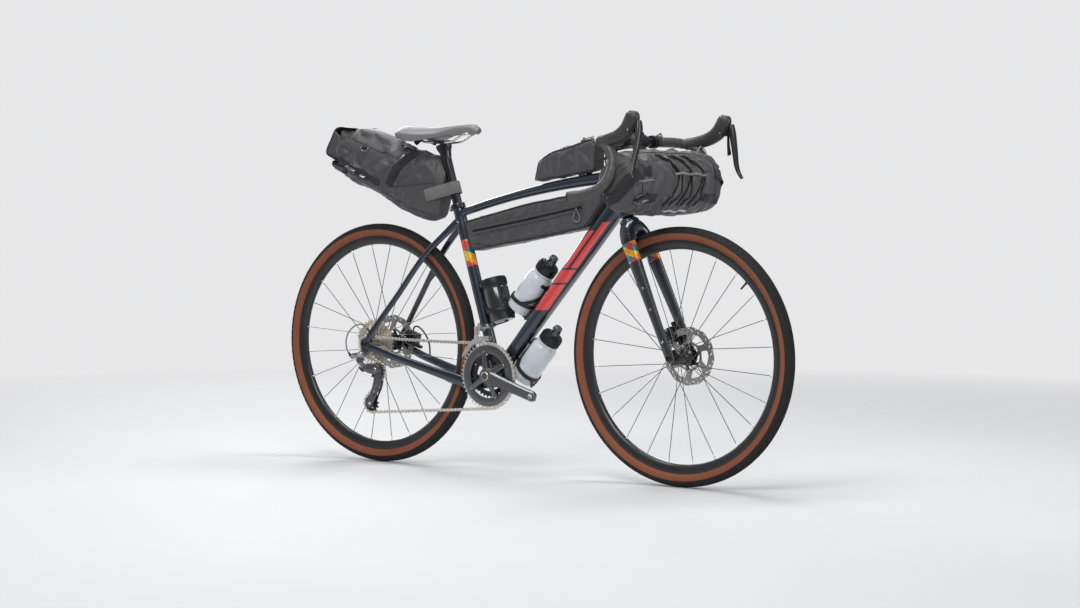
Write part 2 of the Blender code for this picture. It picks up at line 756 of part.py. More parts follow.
def make_chain(runs):
    """Two rows of side plates, wider on every other link, with a roller across at every pin."""
    bm = bmesh.new()
    rows = {-1: [], 1: []}
    plate_thick, plate_half_height = 0.0009, 0.0036
    for i in range(CHAIN_LINKS):
        point, tangent = chain_point(runs, (i + 0.5) * CHAIN_PITCH)
        up = tangent.cross(Y)
        inner = 0.0013 if i % 2 else 0.0021
        for side in rows:
            near, far = Y * side * inner, Y * side * (inner + plate_thick)
            corners = (near - up * plate_half_height, far - up * plate_half_height,
                       far + up * plate_half_height, near + up * plate_half_height)
            rows[side].append([bm.verts.new(point + corner) for corner in corners])
    for i in range(CHAIN_LINKS):
        j = (i + 1) % CHAIN_LINKS
        point, tangent = chain_point(runs, j * CHAIN_PITCH)
        up = tangent.cross(Y)
        rollers = {}
        for side, row in rows.items():
            first, second = row[i], row[j]
            for a, b in ((0, 1), (1, 2), (2, 3)):
                bm.faces.new((first[a], first[b], second[b], second[a]))
            middle = (first[0].co + first[3].co + second[0].co + second[3].co) / 4
            level = point + Y * (middle.y - point.y)
            roller = []
            for angle in (90, 210, 330):
                turn = math.radians(angle)
                offset = tangent * math.cos(turn) + up * math.sin(turn)
                roller.append(bm.verts.new(level + offset * 0.0024))
            top, left, right = roller
            low_first, high_first, low_second, high_second = first[0], first[3], second[0], second[3]
            bm.faces.new((high_first, high_second, top))
            bm.faces.new((high_first, top, left))
            bm.faces.new((high_first, left, low_first))
            bm.faces.new((low_first, left, right))
            bm.faces.new((low_first, right, low_second))
            bm.faces.new((low_second, right, high_second))
            bm.faces.new((right, top, high_second))
            rollers[side] = roller
        bridge(bm, rollers[-1], rollers[1])
    piece("chain", facing_out(bm), "silver_steel", "frame")


def bearing(vert, centre):
    return math.atan2(vert.co.z - centre.z, vert.co.x - centre.x)


def zip_rings(bm, centre, first, second):
    """Triangles between two rings that may differ in count, taken in order of angle."""
    origin = bearing(first[0], centre) - 0.001
    orders = []
    for ring in (first, second):
        angles = [(bearing(vert, centre) - origin) % (2 * math.pi) for vert in ring]
        start = angles.index(min(angles))
        verts, turns = ring[start:] + ring[:start], angles[start:] + angles[:start]
        orders.append((verts + verts[:1], turns + [turns[0] + 2 * math.pi]))
    (inner, inner_turns), (outer, outer_turns) = orders
    i = j = 0
    while i < len(inner) - 1 or j < len(outer) - 1:
        outer_done, inner_done = j == len(outer) - 1, i == len(inner) - 1
        if outer_done or (not inner_done and inner_turns[i + 1] <= outer_turns[j + 1]):
            bm.faces.new((inner[i], inner[i + 1], outer[j]))
            i += 1
        else:
            bm.faces.new((inner[i], outer[j + 1], outer[j]))
            j += 1


def toothed_wheel(centre, rows):
    """A ring-shaped solid through rows of (outline, y) about the centre, closed back on itself."""
    bm = bmesh.new()
    rings = [[bm.verts.new(centre + Vector((a, y, b))) for a, b in path] for path, y in rows]
    for first, second in zip(rings, rings[1:] + rings[:1]):
        zip_rings(bm, centre, first, second)
    return facing_out(bm)


def make_cassette(phase):
    """Eleven cogs on a freehub body. Each cog's teeth thin towards their tips."""
    sides = 8
    bore = circle_points(AXLE_RADIUS + 0.0008, sides)
    inner_y, outer_y = FIRST_COG_Y + 0.0022, LAST_COG_Y - 0.0038
    rows = [(bore, inner_y), (circle_points(0.0200, sides), inner_y)]
    for k, teeth in enumerate(COG_TEETH):
        y = FIRST_COG_Y - COG_SPACING * k
        core = circle_points(pitch_radius(teeth) - 0.0085, sides)
        star = tooth_outline(teeth, phase if y == LAST_COG_Y else 0)
        if y == LAST_COG_Y:
            rows += [(core, y + COG_SPACING - 0.0006), (core, y + 0.0010), (star, y), (core, y - 0.0010)]
        else:
            rows += [(core, y + COG_SPACING / 2), (star, y)]
    rows += [(circle_points(0.0125, sides), outer_y), (bore, outer_y)]
    piece("cassette", toothed_wheel(REAR_AXLE, rows), "silver_steel", "cassette", 25)


def make_chainrings(phase):
    for name, teeth, hole, y in (("outer_chainring", OUTER_RING_TEETH, 0.0625, OUTER_RING_Y),
                                 ("inner_chainring", INNER_RING_TEETH, 0.0440, INNER_RING_Y)):
        ring = plate(tooth_outline(teeth, phase), [circle_points(hole, 12)], 0.0016, BB + Y * y)
        piece(name, ring, "grey_alloy", "crankset", 25)


def make_crank_arm(name, side):
    """A crank arm with its pedal eye. The right one carries the spider, the left one the spindle."""
    angle = CRANK_ANGLE if side < 0 else CRANK_ANGLE + math.pi
    direction = Vector((math.cos(angle), 0, math.sin(angle)))
    across = Y.cross(direction)
    root_y = side * 0.0575
    start = BB + Y * root_y - direction * 0.018
    pedal = BB + Y * side * 0.0685 + direction * CRANK_LENGTH
    points = [start, BB + Y * root_y, BB + Y * side * 0.0600 + direction * 0.05,
              BB + Y * side * 0.0660 + direction * 0.12, pedal, pedal + direction * 0.016]
    halves = [(0.0125, 0.0060), (0.0190, 0.0075), (0.0170, 0.0075), (0.0155, 0.0070),
              (0.0150, 0.0065), (0.0085, 0.0055)]
    arm = sweep(points, halves, 8, across=across, power=3.0)
    pedal_hole = rod(pedal - Y * 0.02, pedal + Y * 0.02, 0.0071, 8)
    if side > 0:
        spindle = rod(BB - Y * 0.0490, BB + Y * 0.058, 0.0119, 10)
        solid = cut(joined(arm, spindle), pedal_hole)
        piece(name, solid, "grey_alloy", "crankset")
        return
    hub = rod(BB - Y * 0.0640, BB - Y * 0.0520, 0.0210, 10)
    blades = []
    for spoke_angle in SPIDER_ANGLES:
        turn = math.radians(spoke_angle) + CRANK_ANGLE
        bolt_at = BB + Vector((math.cos(turn), 0, math.sin(turn))) * 0.0500
        blades.append(rod(bolt_at - Y * 0.0530, bolt_at + Y * (INNER_RING_Y - 0.0008 - GAP), 0.0040, 4))
    for spoke_angle in SPIDER_ANGLES:
        turn = math.radians(spoke_angle) + CRANK_ANGLE
        out = Vector((math.cos(turn), 0, math.sin(turn)))
        blades.append(sweep([BB - Y * 0.0560 + out * 0.012, BB - Y * 0.0530 + out * 0.0668],
                            [(0.0095, 0.0028), (0.0068, 0.0022)], 6, across=Y.cross(out), power=3.0))
    spindle_bore = rod(BB - Y * 0.0585, BB - Y * 0.02, 0.0128, 10)
    piece(name, cut(joined(arm, hub, *blades), pedal_hole, spindle_bore), "grey_alloy", "crankset")


def make_pulleys(runs, tension_centre):
    bore, hub, rim = (circle_points(radius, 8) for radius in (0.0031, 0.0085, 0.0140))
    for name, centre, index in (("guide_pulley", GUIDE_PULLEY, 2),
                                ("tension_pulley", tension_centre, 1)):
        star = tooth_outline(PULLEY_TEETH, roller_phase(runs, index), height=0.0022)
        rows = [(bore, 0.0026), (hub, 0.0026), (rim, 0.0009), (star, 0), (rim, -0.0009),
                (hub, -0.0026), (bore, -0.0026)]
        piece(name, toothed_wheel(centre, rows), "black_plastic", name, 25)


def clevis(pivot, back):
    """A fork round a link's end, open away from back, its cheeks across the links' axis."""
    across = LINK_AXIS.cross(back)
    body = block((0.0180, 0.0130, 0.0210), pivot + back * 0.0040, right=back, normal=across)
    slot = block((0.0200, 0.0300, 0.0126), pivot - back * 0.0025, right=back, normal=across)
    return body, slot


def make_rear_derailleur(tension_centre):
    """Knuckle on the hanger, a parallelogram link, the lower knuckle and the pulley cage."""
    upper, lower = REAR_DERAILLEUR_UPPER, REAR_DERAILLEUR_LOWER
    bolt = Vector((REAR_AXLE.x - 0.0040, -0.0860, REAR_AXLE.z - 0.0300))
    boss = Vector((-0.5620, -0.0880, 0.3170))
    body, slot = clevis(upper, -LINK_MIDDLE)
    knuckle = joined(
        rod(bolt + Y * 0.0075, bolt - Y * 0.0070, 0.0095, 10),
        sweep([bolt + X * 0.002, (bolt + boss) / 2, boss],
              [(0.0045, 0.0075), (0.0045, 0.0070), (0.0045, 0.0065)], 8, power=3.0),
        rod(HOUSING_END - HOUSING_AXIS * 0.0165, HOUSING_END, 0.0042, 6),
        sweep([bolt + Vector((-0.016, 0.000, 0.000)), upper + Vector((-0.006, -0.012, 0.010)),
               upper - LINK_MIDDLE * 0.0100],
              [(0.0040, 0.0065), (0.0050, 0.0065), (0.0050, 0.0055)], 6, power=3.0),
        body,
    )
    piece("derailleur_upper_knuckle", cut(knuckle, slot), "grey_alloy", "frame")
    reach = (lower - upper).normalized()
    stations = [upper - reach * 0.0045, upper - reach * 0.0030, upper, lower, lower + reach * 0.0030,
                lower + reach * 0.0045]
    sizes = [(0.0060, 0.0022), (0.0060, 0.0040), (0.0060, 0.0047), (0.0060, 0.0047),
             (0.0060, 0.0040), (0.0060, 0.0022)]
    link = sweep(stations, sizes, 6, across=LINK_AXIS, power=4.0)
    piece("derailleur_link", link, "grey_alloy", "derailleur_link")
    body, slot = clevis(lower, LINK_MIDDLE)
    pivot = CAGE_PIVOT
    face = pivot.y
    lower_knuckle = joined(
        sweep([lower + LINK_MIDDLE * 0.0080, lower + Vector((0.0160, 0.0040, -0.0040)),
               Vector((pivot.x - 0.008, face - 0.0095, pivot.z)), Vector((pivot.x + 0.012, face - 0.0085, pivot.z))],
              [(0.0055, 0.0090), (0.0075, 0.0135), (0.0080, 0.0155), (0.0055, 0.0110)], 8, power=2.6),
        rod(pivot - Y * 0.0150, pivot, 0.0135, 10),
        body,
    )
    piece("derailleur_lower_knuckle", cut(lower_knuckle, slot), "grey_alloy", "derailleur_lower_knuckle")
    outline = cage_outline((tension_centre - GUIDE_PULLEY).normalized())
    outer_plate = plate(outline, [], 0.0016, GUIDE_PULLEY - Y * CAGE_OUTER)
    inner_plate = plate(outline, [], 0.0016, GUIDE_PULLEY + Y * 0.0052)
    bolts = [rod(c - Y * (CAGE_OUTER + 0.0004), c + Y * 0.0057, 0.0026, 8)
             for c in (GUIDE_PULLEY, tension_centre)]
    piece("derailleur_cage", joined(outer_plate, inner_plate, *bolts), "grey_alloy", "derailleur_cage")


def cage_outline(down):
    """The outline of the cage plates about the guide pulley, bowed forward between the pulleys."""
    ahead = Vector((-down.z, 0, down.x))
    head = CAGE_PIVOT - GUIDE_PULLEY
    outline = []
    for turn in (20, 60, 100, 140, 180):
        angle = math.radians(turn)
        point = head + (ahead * math.cos(angle) - down * math.sin(angle)) * 0.0150
        outline.append((point.x, point.z))
    for along, bow in ((0.30, -0.0010), (0.62, -0.0035), (0.88, -0.0105)):
        outline.append(tuple((down * PULLEY_SPACING * along + ahead * bow).xz))
    for turn in (180, 235, 305, 360):
        angle = math.radians(turn)
        point = down * PULLEY_SPACING + (ahead * math.cos(angle) - down * math.sin(angle)) * 0.0130
        outline.append((point.x, point.z))
    for along, bow in ((0.62, 0.0200), (0.30, 0.0250)):
        outline.append(tuple((down * PULLEY_SPACING * along + ahead * bow).xz))
    return outline


def front_derailleur_hinge():
    return seat_point(0.4090) - Y * 0.0448


def make_front_derailleur():
    """Clamp band and arm on the seat tube, and the cage that straddles the chain."""
    band_at = seat_point(0.4090)
    band = turned([(0.0172, -0.006), (0.0200, -0.006), (0.0200, 0.006), (0.0172, 0.006)], band_at,
                  SEAT_UP, 12)
    arm = sweep([band_at + Vector((0.003, -0.0180, 0)), band_at + Vector((0.003, -0.0230, 0)),
                 band_at + Vector((-0.002, -0.0300, 0.004)), band_at + Vector((-0.006, -0.0360, 0.006))],
                [(0.0060, 0.0110), (0.0065, 0.0110), (0.0070, 0.0110), (0.0060, 0.0090)], 8, across=X,
                power=3.0)
    piece("front_derailleur_mount", joined(band, arm), "silver_steel", "frame")
    radii = (pitch_radius(OUTER_RING_TEETH) + 0.0068, pitch_radius(OUTER_RING_TEETH) + 0.0200)
    angles = [math.radians(a) for a in (152, 136, 120, 103, 86)]
    outline = [(radii[0] * math.cos(a), radii[0] * math.sin(a)) for a in angles]
    outline += [(radii[1] * math.cos(a), radii[1] * math.sin(a)) for a in reversed(angles[1:])]
    centre = Vector((BB.x, 0, BB.z))
    outer = plate(outline, [], 0.0014, centre + Y * (OUTER_RING_Y - 0.0062))
    inner = plate(outline, [], 0.0014, centre + Y * (OUTER_RING_Y + 0.0056))
    top_angle = math.radians(110)
    top = Vector((math.cos(top_angle), 0, math.sin(top_angle)))
    roof = block((0.030, 0.0126, 0.0016), centre + Y * (OUTER_RING_Y - 0.0003) + top * (radii[1] - 0.001),
                 right=Y.cross(top), normal=Y)
    hinge = front_derailleur_hinge()
    link = sweep([hinge + Vector((-0.002, 0, 0.004)), hinge + Vector((0, -0.0020, -0.014)),
                  hinge + Vector((0.0020, -0.0040, -0.0290))],
                 [(0.0095, 0.0034), (0.0085, 0.0030), (0.0110, 0.0030)], 6, across=X, power=3.0)
    cage = joined(outer, inner, roof, link)
    piece("front_derailleur_cage", cage, "silver_steel", "front_derailleur_cage")


# Brakes


def make_calliper(name, axle, mount_angle, turn, along, low, high, rotor_y, foot_shift, body_name):
    """A flat-mount calliper on a stay or fork leg that leaves the axle at mount_angle.

    It stands on that member's face, from low to high off its centre line, and is slotted for the
    rotor, with a pocket for two pads that slide on to the rotor's band.
    """
    run = Vector((math.cos(mount_angle), 0, math.sin(mount_angle)))
    off = Vector((math.cos(mount_angle + turn), 0, math.sin(mount_angle + turn)))
    middle = axle + run * along + Y * rotor_y
    foot_at = middle + off * (low + 0.0045) + Y * foot_shift
    foot = block((0.0090, 0.0150, 0.0700), foot_at, right=off, normal=Y, bevel=0.0015)
    shell_at = middle + off * ((low + high) / 2 + 0.0010) + Y * 0.0020
    shell = block((high - low - 0.0020, 0.0330, 0.0460), shell_at, right=off, normal=Y, bevel=0.0055)
    disc = rod(axle + Y * (rotor_y - 0.0019), axle + Y * (rotor_y + 0.0019), ROTOR_RADIUS + 0.0035, 24)
    pad_at = axle + (shell_at - Y * 0.0020 - Y * rotor_y - axle).normalized() * PAD_RADIUS + Y * rotor_y
    pad_out = (pad_at - Y * rotor_y - axle).normalized()
    pocket = block((PAD_TALL + 0.0012, 2 * (PAD_INNER + PAD_THICK + 0.0004), PAD_LONG + 0.0012), pad_at,
                   right=pad_out, normal=Y)
    piece(name, cut(joined(shell, foot), disc, pocket), "black_alloy", body_name)
    for side, label in ((-1, "outer"), (1, "inner")):
        offset = side * (PAD_INNER + PAD_THICK / 2)
        pad = block((PAD_TALL, PAD_THICK, PAD_LONG), pad_at + Y * offset, right=pad_out, normal=Y)
        pad_name = name.replace("calliper", "pad") + "_" + label
        piece(pad_name, pad, "black_alloy", pad_name)


# Steering


def make_fork():
    """Steerer, crown and two straight legs as one moulded piece, bored for the axle."""
    leg_top = Vector((0.372, 0, 0.690))
    leg_up = (leg_top - FRONT_AXLE).normalized()
    y_out = FRONT_HUB_WIDTH / 2 + 0.0062 + GAP
    stations = [(-0.015, y_out), (0.006, y_out), (0.10, 0.0550), (0.315, 0.0460), (0.352, 0.0400),
                (0.378, 0.0240)]
    right = [FRONT_AXLE + leg_up * d - Y * y for d, y in stations]
    left = [FRONT_AXLE + leg_up * d + Y * y for d, y in reversed(stations)]
    crown = [FRONT_AXLE + leg_up * 0.3865]
    sizes = [(0.0100, 0.0055), (0.0140, 0.0062), (0.0140, 0.0080), (0.0210, 0.0125),
             (0.0225, 0.0160), (0.0225, 0.0185)]
    halves = sizes + [(0.0230, 0.0190)] + list(reversed(sizes))
    ahead = Vector((leg_up.z, 0, -leg_up.x))
    arch = sweep(right + crown + left, halves, 8, across=ahead, power=2.3)
    base = steer_point(CROWN_RACE - 0.014)
    race = turned([(0, 0), (0.0265, 0), (0.0265, 0.0135), (0.0152, 0.0210),
                   (0.0143, 0.040), (0.0143, STEERER_TOP - CROWN_RACE + 0.014),
                   (0, STEERER_TOP - CROWN_RACE + 0.014)], base, STEER_UP, 12)
    axle_bore = rod(FRONT_AXLE - Y * 0.1, FRONT_AXLE + Y * 0.1, AXLE_RADIUS + GAP, 8)
    piece("fork", cut(joined(arch, race), axle_bore), "navy_paint", "steering")


STEM_BASE = HEAD_TOP + 0.002
STEERER_TOP = HEAD_TOP + 0.055
BAR_CENTRE = Vector((0.3880, 0, 0.9310))
BAR_CLAMP_RADIUS = 0.0159
BAR_RADIUS = 0.0130


def make_stem():
    """Headset cover, spacers and stem, clamped round the steerer and the handlebar."""
    steerer = steer_point(STEM_BASE)
    column = turned([(0.0146, 0), (0.0235, 0), (0.0225, 0.007), (0.0180, 0.009), (0.0180, 0.050),
                     (0.0165, 0.0545), (0.0146, 0.0545)], steerer, STEER_UP, 12)
    cap = rod(steer_point(STEERER_TOP + GAP), steer_point(STEERER_TOP + 0.0060), 0.0156, 10)
    root = steer_point(HEAD_TOP + 0.034)
    reach = (BAR_CENTRE - root).normalized()
    neck = sweep([root + reach * 0.0120, root + reach * 0.040, BAR_CENTRE - reach * 0.0165],
                 [(0.0150, 0.0150), (0.0130, 0.0135), (0.0170, 0.0150)], 10, power=2.6)
    clamp = rod(BAR_CENTRE - Y * 0.023, BAR_CENTRE + Y * 0.023, 0.0205, 12)
    bar_bore = rod(BAR_CENTRE - Y * 0.03, BAR_CENTRE + Y * 0.03, BAR_CLAMP_RADIUS + 0.0007, 12)
    neck = cut(neck, rod(steer_point(STEM_BASE), steer_point(STEERER_TOP + 0.02), 0.0164, 12))
    solid = cut(joined(column, neck, clamp, cap), bar_bore)
    piece("stem", solid, "black_alloy", "steering")


def bar_route():
    """Right half of the handlebar, from its centre out to the end of the drop."""
    return [
        BAR_CENTRE.copy(),
        BAR_CENTRE + Vector((0, -0.028, 0)),
        BAR_CENTRE + Vector((0, -0.045, 0)),
        Vector((0.3880, -0.165, 0.9310)),
        Vector((0.3990, -0.199, 0.9280)),
        Vector((0.4290, -0.2140, 0.9190)),
        Vector((0.4540, -0.2200, 0.8850)),
        Vector((0.4560, -0.2325, 0.8420)),
        Vector((0.4350, -0.2445, 0.8070)),
        Vector((0.3880, -0.2545, 0.7880)),
        Vector((0.3330, -0.2620, 0.7821)),
    ]


def mirrored(point):
    return Vector((point.x, -point.y, point.z))


def handlebar_points():
    route = bar_route()
    half = route[:4] + smooth_route(route[3:], 2)[1:]
    return [mirrored(p) for p in reversed(half[1:])] + half


def bar_radii(points, grow=0.0):
    return [
        (BAR_CLAMP_RADIUS if abs(p.y - BAR_CENTRE.y) < 0.035 else BAR_RADIUS) + grow for p in points
    ]


def make_handlebar():
    points = handlebar_points()
    piece("handlebar", pipe(points, bar_radii(points), 8), "black_rubber", "steering")


def make_hood(name, side):
    """A brake and shift lever body in its rubber hood, clamped on the front of the bar's bend."""
    route = [Vector((0.4060, side * 0.2070, 0.9260)), Vector((0.4380, side * 0.2160, 0.9310)),
             Vector((0.4720, side * 0.2200, 0.9400)), Vector((0.4990, side * 0.2220, 0.9560)),
             Vector((0.5150, side * 0.2240, 0.9770)), Vector((0.5220, side * 0.2250, 0.9950)),
             Vector((0.5240, side * 0.2255, 1.0050))]
    sizes = [(0.0150, 0.0160), (0.0150, 0.0175), (0.0155, 0.0190), (0.0160, 0.0200),
             (0.0160, 0.0195), (0.0140, 0.0170), (0.0080, 0.0095)]
    solid = sweep(route, sizes, 8, power=2.4)
    points = handlebar_points()
    bar = pipe(points, bar_radii(points, 0.0008), 8)
    piece(name, cut(solid, bar), "black_rubber", "steering")


def lever_pivot(side):
    return Vector((0.5405, side * 0.2268, 0.9690))


PADDLE_THICK = 0.0022


def paddle_pivot(side):
    return Vector((0.5335, side * 0.2240, 0.9480))


def make_lever(side, label):
    body_name = label + "_brake_lever"
    pivot = lever_pivot(side)
    blade_route = [pivot + Vector((0.0015, 0, 0.0110)), Vector((0.5450, side * 0.2310, 0.9450)),
                   Vector((0.5450, side * 0.2400, 0.9100)), Vector((0.5420, side * 0.2530, 0.8700)),
                   Vector((0.5460, side * 0.2660, 0.8350))]
    blade_sizes = [(0.0085, 0.0050), (0.0090, 0.0042), (0.0075, 0.0036), (0.0068, 0.0034),
                   (0.0060, 0.0030)]
    pin_at = paddle_pivot(side)
    pin = rod(pin_at + X * (PADDLE_THICK + GAP), pin_at + X * 0.0100, 0.0028, 6)
    blade = sweep(blade_route, blade_sizes, 8, power=3.0)
    piece(body_name, joined(blade, pin), "black_alloy", body_name)
    paddle_name = label + "_shift_paddle"
    paddle_route = [pin_at + Z * 0.0040, Vector((0.5335, side * 0.2255, 0.9220)),
                    Vector((0.5320, side * 0.2330, 0.8960))]
    paddle_sizes = [(0.0040, PADDLE_THICK), (0.0060, PADDLE_THICK), (0.0090, PADDLE_THICK)]
    paddle = sweep(paddle_route, paddle_sizes, 8, power=3.0)
    piece(paddle_name, paddle, "black_plastic", paddle_name)


# Seatpost, saddle and bags


def make_seatpost():
    """Round post with a two-bolt head that clamps the saddle rails."""
    bottom, top = seat_point(0.640), seat_point(0.922)
    post = rod(bottom, top, POST_RADIUS, 12)
    head = sweep([top - SEAT_UP * 0.022, top - SEAT_UP * 0.004, top + SEAT_UP * 0.012],
                 [(0.0130, 0.0130), (0.0150, 0.0200), (0.0170, 0.0240)], 8, power=3.0)
    yoke = block((0.040, 0.0560, 0.0100), top + Vector((0.000, 0, 0.0160)))
    rails = [pipe([p + Y * s for p in rail_line()], [0.0044] * 4, 5) for s in (-0.022, 0.022)]
    piece("seatpost", cut(joined(post, head, yoke), *rails), "black_alloy", "seatpost")


def rail_line():
    """The straight middle of a saddle rail and its rise to the shell at either end."""
    middle = seat_point(0.922) + Vector((0, 0, 0.0160))
    return [middle + Vector((-0.085, 0, 0.012)), middle + Vector((-0.045, 0, 0)),
            middle + Vector((0.040, 0, 0)), middle + Vector((0.082, 0, 0.018))]


SADDLE_NOSE = -0.1580
SADDLE_REAR = -0.4320


def make_saddle():
    """A padded cushion with a crown, drawn-in sides and a channel, on its shell and two rails."""
    stations = [
        (0.000, 0.0165, 0.962, 0.978), (0.060, 0.0190, 0.953, 0.9865), (0.200, 0.0215, 0.951, 0.9895),
        (0.380, 0.0290, 0.953, 0.9860), (0.560, 0.0480, 0.947, 0.9820), (0.740, 0.0665, 0.942, 0.9835),
        (0.890, 0.0735, 0.948, 0.9870), (0.970, 0.0640, 0.958, 0.9850), (1.000, 0.0440, 0.966, 0.9810),
    ]
    loops = []
    for t, half, low, top in stations:
        x = SADDLE_NOSE + (SADDLE_REAR - SADDLE_NOSE) * t
        channel = 0.0035 if 0.1 < t < 0.95 else 0.0010
        crown = [(0.0, top - channel), (0.30, top), (0.80, top - 0.0070),
                 (1.00, top - 0.0250 * min(1, half / 0.04)), (0.86, low), (0.45, low + 0.010)]
        right = [Vector((x, -half * a, z)) for a, z in crown]
        left = [Vector((x, half * a, z)) for a, z in reversed(crown[1:])]
        loops.append(right + left)
    cushion = loft(loops)
    rails = []
    for side in (-1, 1):
        line = rail_line()
        rear = line[0] + Vector((-0.022, side * 0.020, 0.010))
        nose = line[-1] + Vector((0.026, -side * 0.010, 0.004))
        route = [rear] + line + [nose]
        route = [p + Y * side * 0.022 for p in route]
        rails.append(pipe(route, [0.0035] * 6, 5))
    piece("saddle", joined(cushion, *rails), "saddle_cover", "seatpost", 50)


def bag_section(centre, half_width, half_height, normal, sides, power):
    up = normal.cross(Y)
    return [centre + Y * a + up * b for a, b in oval(half_width, half_height, sides, power)]


def make_saddle_bag():
    """A long bag that widens from the post to a rolled end, closed and plain here."""
    stations = [
        ((-0.2780, 0.790), 0.028, 0.070, 80), ((-0.3150, 0.802), 0.042, 0.092, 76),
        ((-0.3900, 0.826), 0.058, 0.094, 70), ((-0.4700, 0.853), 0.068, 0.088, 67),
        ((-0.5500, 0.884), 0.074, 0.084, 66), ((-0.6100, 0.909), 0.076, 0.076, 68),
        ((-0.6500, 0.922), 0.075, 0.062, 72), ((-0.6860, 0.925), 0.070, 0.040, 78),
    ]
    loops = []
    for (x, z), half_width, half_height, lean in stations:
        angle = math.radians(lean)
        normal = Vector((-math.sin(angle), 0, math.cos(angle)))
        loops.append(bag_section(Vector((x, 0, z)), half_width, half_height, normal, 12, 2.8))
    solid = loft(loops)
    post = rod(seat_point(0.60), seat_point(0.96), POST_RADIUS + 0.001, 12)
    piece("saddle_bag", cut(solid, post), "grey_fabric", "seatpost", 50)


def bag_outline(corners, round_by):
    """The corners with each cut to a short bevel, which rounds the bag's outline."""
    outline = []
    count = len(corners)
    for i, corner in enumerate(corners):
        here = Vector(corner)
        for other in (corners[i - 1], corners[(i + 1) % count]):
            there = Vector(other)
            outline.append(tuple(here + (there - here).normalized() * round_by))
    return outline


def make_flat_bag(name, outline, half_width, inset, body_name):
    """A slim bag: its outline at full size across the middle and drawn in at both faces."""
    centre = sum((Vector(p) for p in outline), Vector((0, 0))) / len(outline)
    loops = []
    for y, draw in ((-half_width, inset), (-half_width * 0.72, 0), (half_width * 0.72, 0),
                    (half_width, inset)):
        loop = []
        for point in outline:
            here = Vector(point)
            here += (centre - here).normalized() * draw
            loop.append(Vector((here.x, y, here.y)))
        loops.append(loop)
    piece(name, loft(loops), "grey_fabric", body_name, 50)


def down_point(along, off):
    return DOWN_TUBE_LOW + DOWN_UP * along + DOWN_NORMAL * off


def make_frame_bag():
    low, high = down_point(0.5260, 0.0290), down_point(0.6200, 0.0300)
    corners = [(-0.2000, 0.7120), (-0.1720, 0.6240), (low.x, low.z), (high.x, high.z),
               (0.2850, 0.8050), (0.0250, 0.7640)]
    make_flat_bag("frame_bag", bag_outline(corners, 0.014), 0.030, 0.009, "frame")


def make_top_tube_bag():
    corners = [(0.0500, 0.8230), (0.0640, 0.8800), (0.1000, 0.9010), (0.2500, 0.9400),
               (0.2610, 0.9300), (0.2590, 0.8540)]
    make_flat_bag("top_tube_bag", bag_outline(corners, 0.010), 0.025, 0.007, "frame")


HANDLEBAR_BAG_CENTRE = Vector((0.4650, 0, 0.8175))
HANDLEBAR_BAG_HALF = 0.2220


def bag_halves(y):
    """Half depth and half height of the handlebar bag at this distance from its middle."""
    t = (abs(y) / HANDLEBAR_BAG_HALF) ** 4
    return 0.0620 - 0.0080 * t, 0.0820 - 0.0090 * t


def make_handlebar_bag():
    """A roll of fabric that tapers a little to its folded ends."""
    loops = []
    for y, draw in ((-1.0, 0.018), (-0.94, 0), (-0.70, 0), (0.70, 0), (0.94, 0), (1.0, 0.018)):
        y *= HANDLEBAR_BAG_HALF
        depth, height = bag_halves(y)
        loops.append([
            HANDLEBAR_BAG_CENTRE + Y * y + X * a + Z * b
            for a, b in oval(depth - draw, height - draw, 14, 2.3)
        ])
    points = handlebar_points()
    bar = pipe(points, bar_radii(points, 0.0010), 8)
    piece("handlebar_bag", cut(loft(loops), bar), "grey_fabric", "steering", 50)


def bag_surface(y, angle, off):
    """A point on the handlebar bag at y and this angle up from its front, held off by off."""
    depth, height = bag_halves(y)
    c, s = math.cos(angle), math.sin(angle)
    a = math.copysign(abs(c) ** (2 / 2.3), c) * (depth + off)
    b = math.copysign(abs(s) ** (2 / 2.3), s) * (height + off)
    return HANDLEBAR_BAG_CENTRE + Vector((a, y, b))


def make_bungee():
    """Elastic cord laced in three chevrons down and up the front of the handlebar bag."""
    route = []
    for k, (top, middle, bottom) in enumerate(((-0.087, -0.010, -0.069), (-0.024, 0.045, -0.004),
                                               (0.034, 0.103, 0.053))):
        line = [(top, 56), (top + 0.030, 42), (middle, 14), (middle - 0.022, -14), (bottom, -42)]
        if k % 2:
            line.reverse()
        route += [bag_surface(y, math.radians(angle), 0.0045) for y, angle in line]
    cord("bungee_lacing", even_route(route, 0.0120), 0.0040, "black_rubber", "steering")


# Bottles and cages


def bottle_axis(kind):
    """Foot and direction of each container's centre line."""
    if kind == "upper_bottle":
        return BB + DOWN_UP * 0.1920 + DOWN_NORMAL * 0.0690, DOWN_UP
    if kind == "lower_bottle":
        return BB + DOWN_UP * 0.0520 - DOWN_NORMAL * 0.0690, DOWN_UP
    return seat_point(0.4110, 0.0605), SEAT_UP


def make_bottle(name, length, material, squat=False):
    foot, up = bottle_axis(name)
    r = BOTTLE_RADIUS
    if squat:
        profile = [(0, 0), (r - 0.004, 0), (r, 0.006), (r, length - 0.030), (r - 0.0025, length - 0.026),
                   (r + 0.0005, length - 0.022), (r - 0.0005, length - 0.002), (0, length)]
    else:
        profile = [(0, 0), (r - 0.004, 0), (r, 0.008), (r, length * 0.60), (r - 0.0070, length * 0.66),
                   (r - 0.0080, length * 0.71), (r - 0.0060, length * 0.72), (r - 0.0060, length * 0.86),
                   (0.0130, length * 0.89), (0.0120, length * 0.97), (0, length)]
    piece(name, turned(profile, foot, up, 12), material, name)


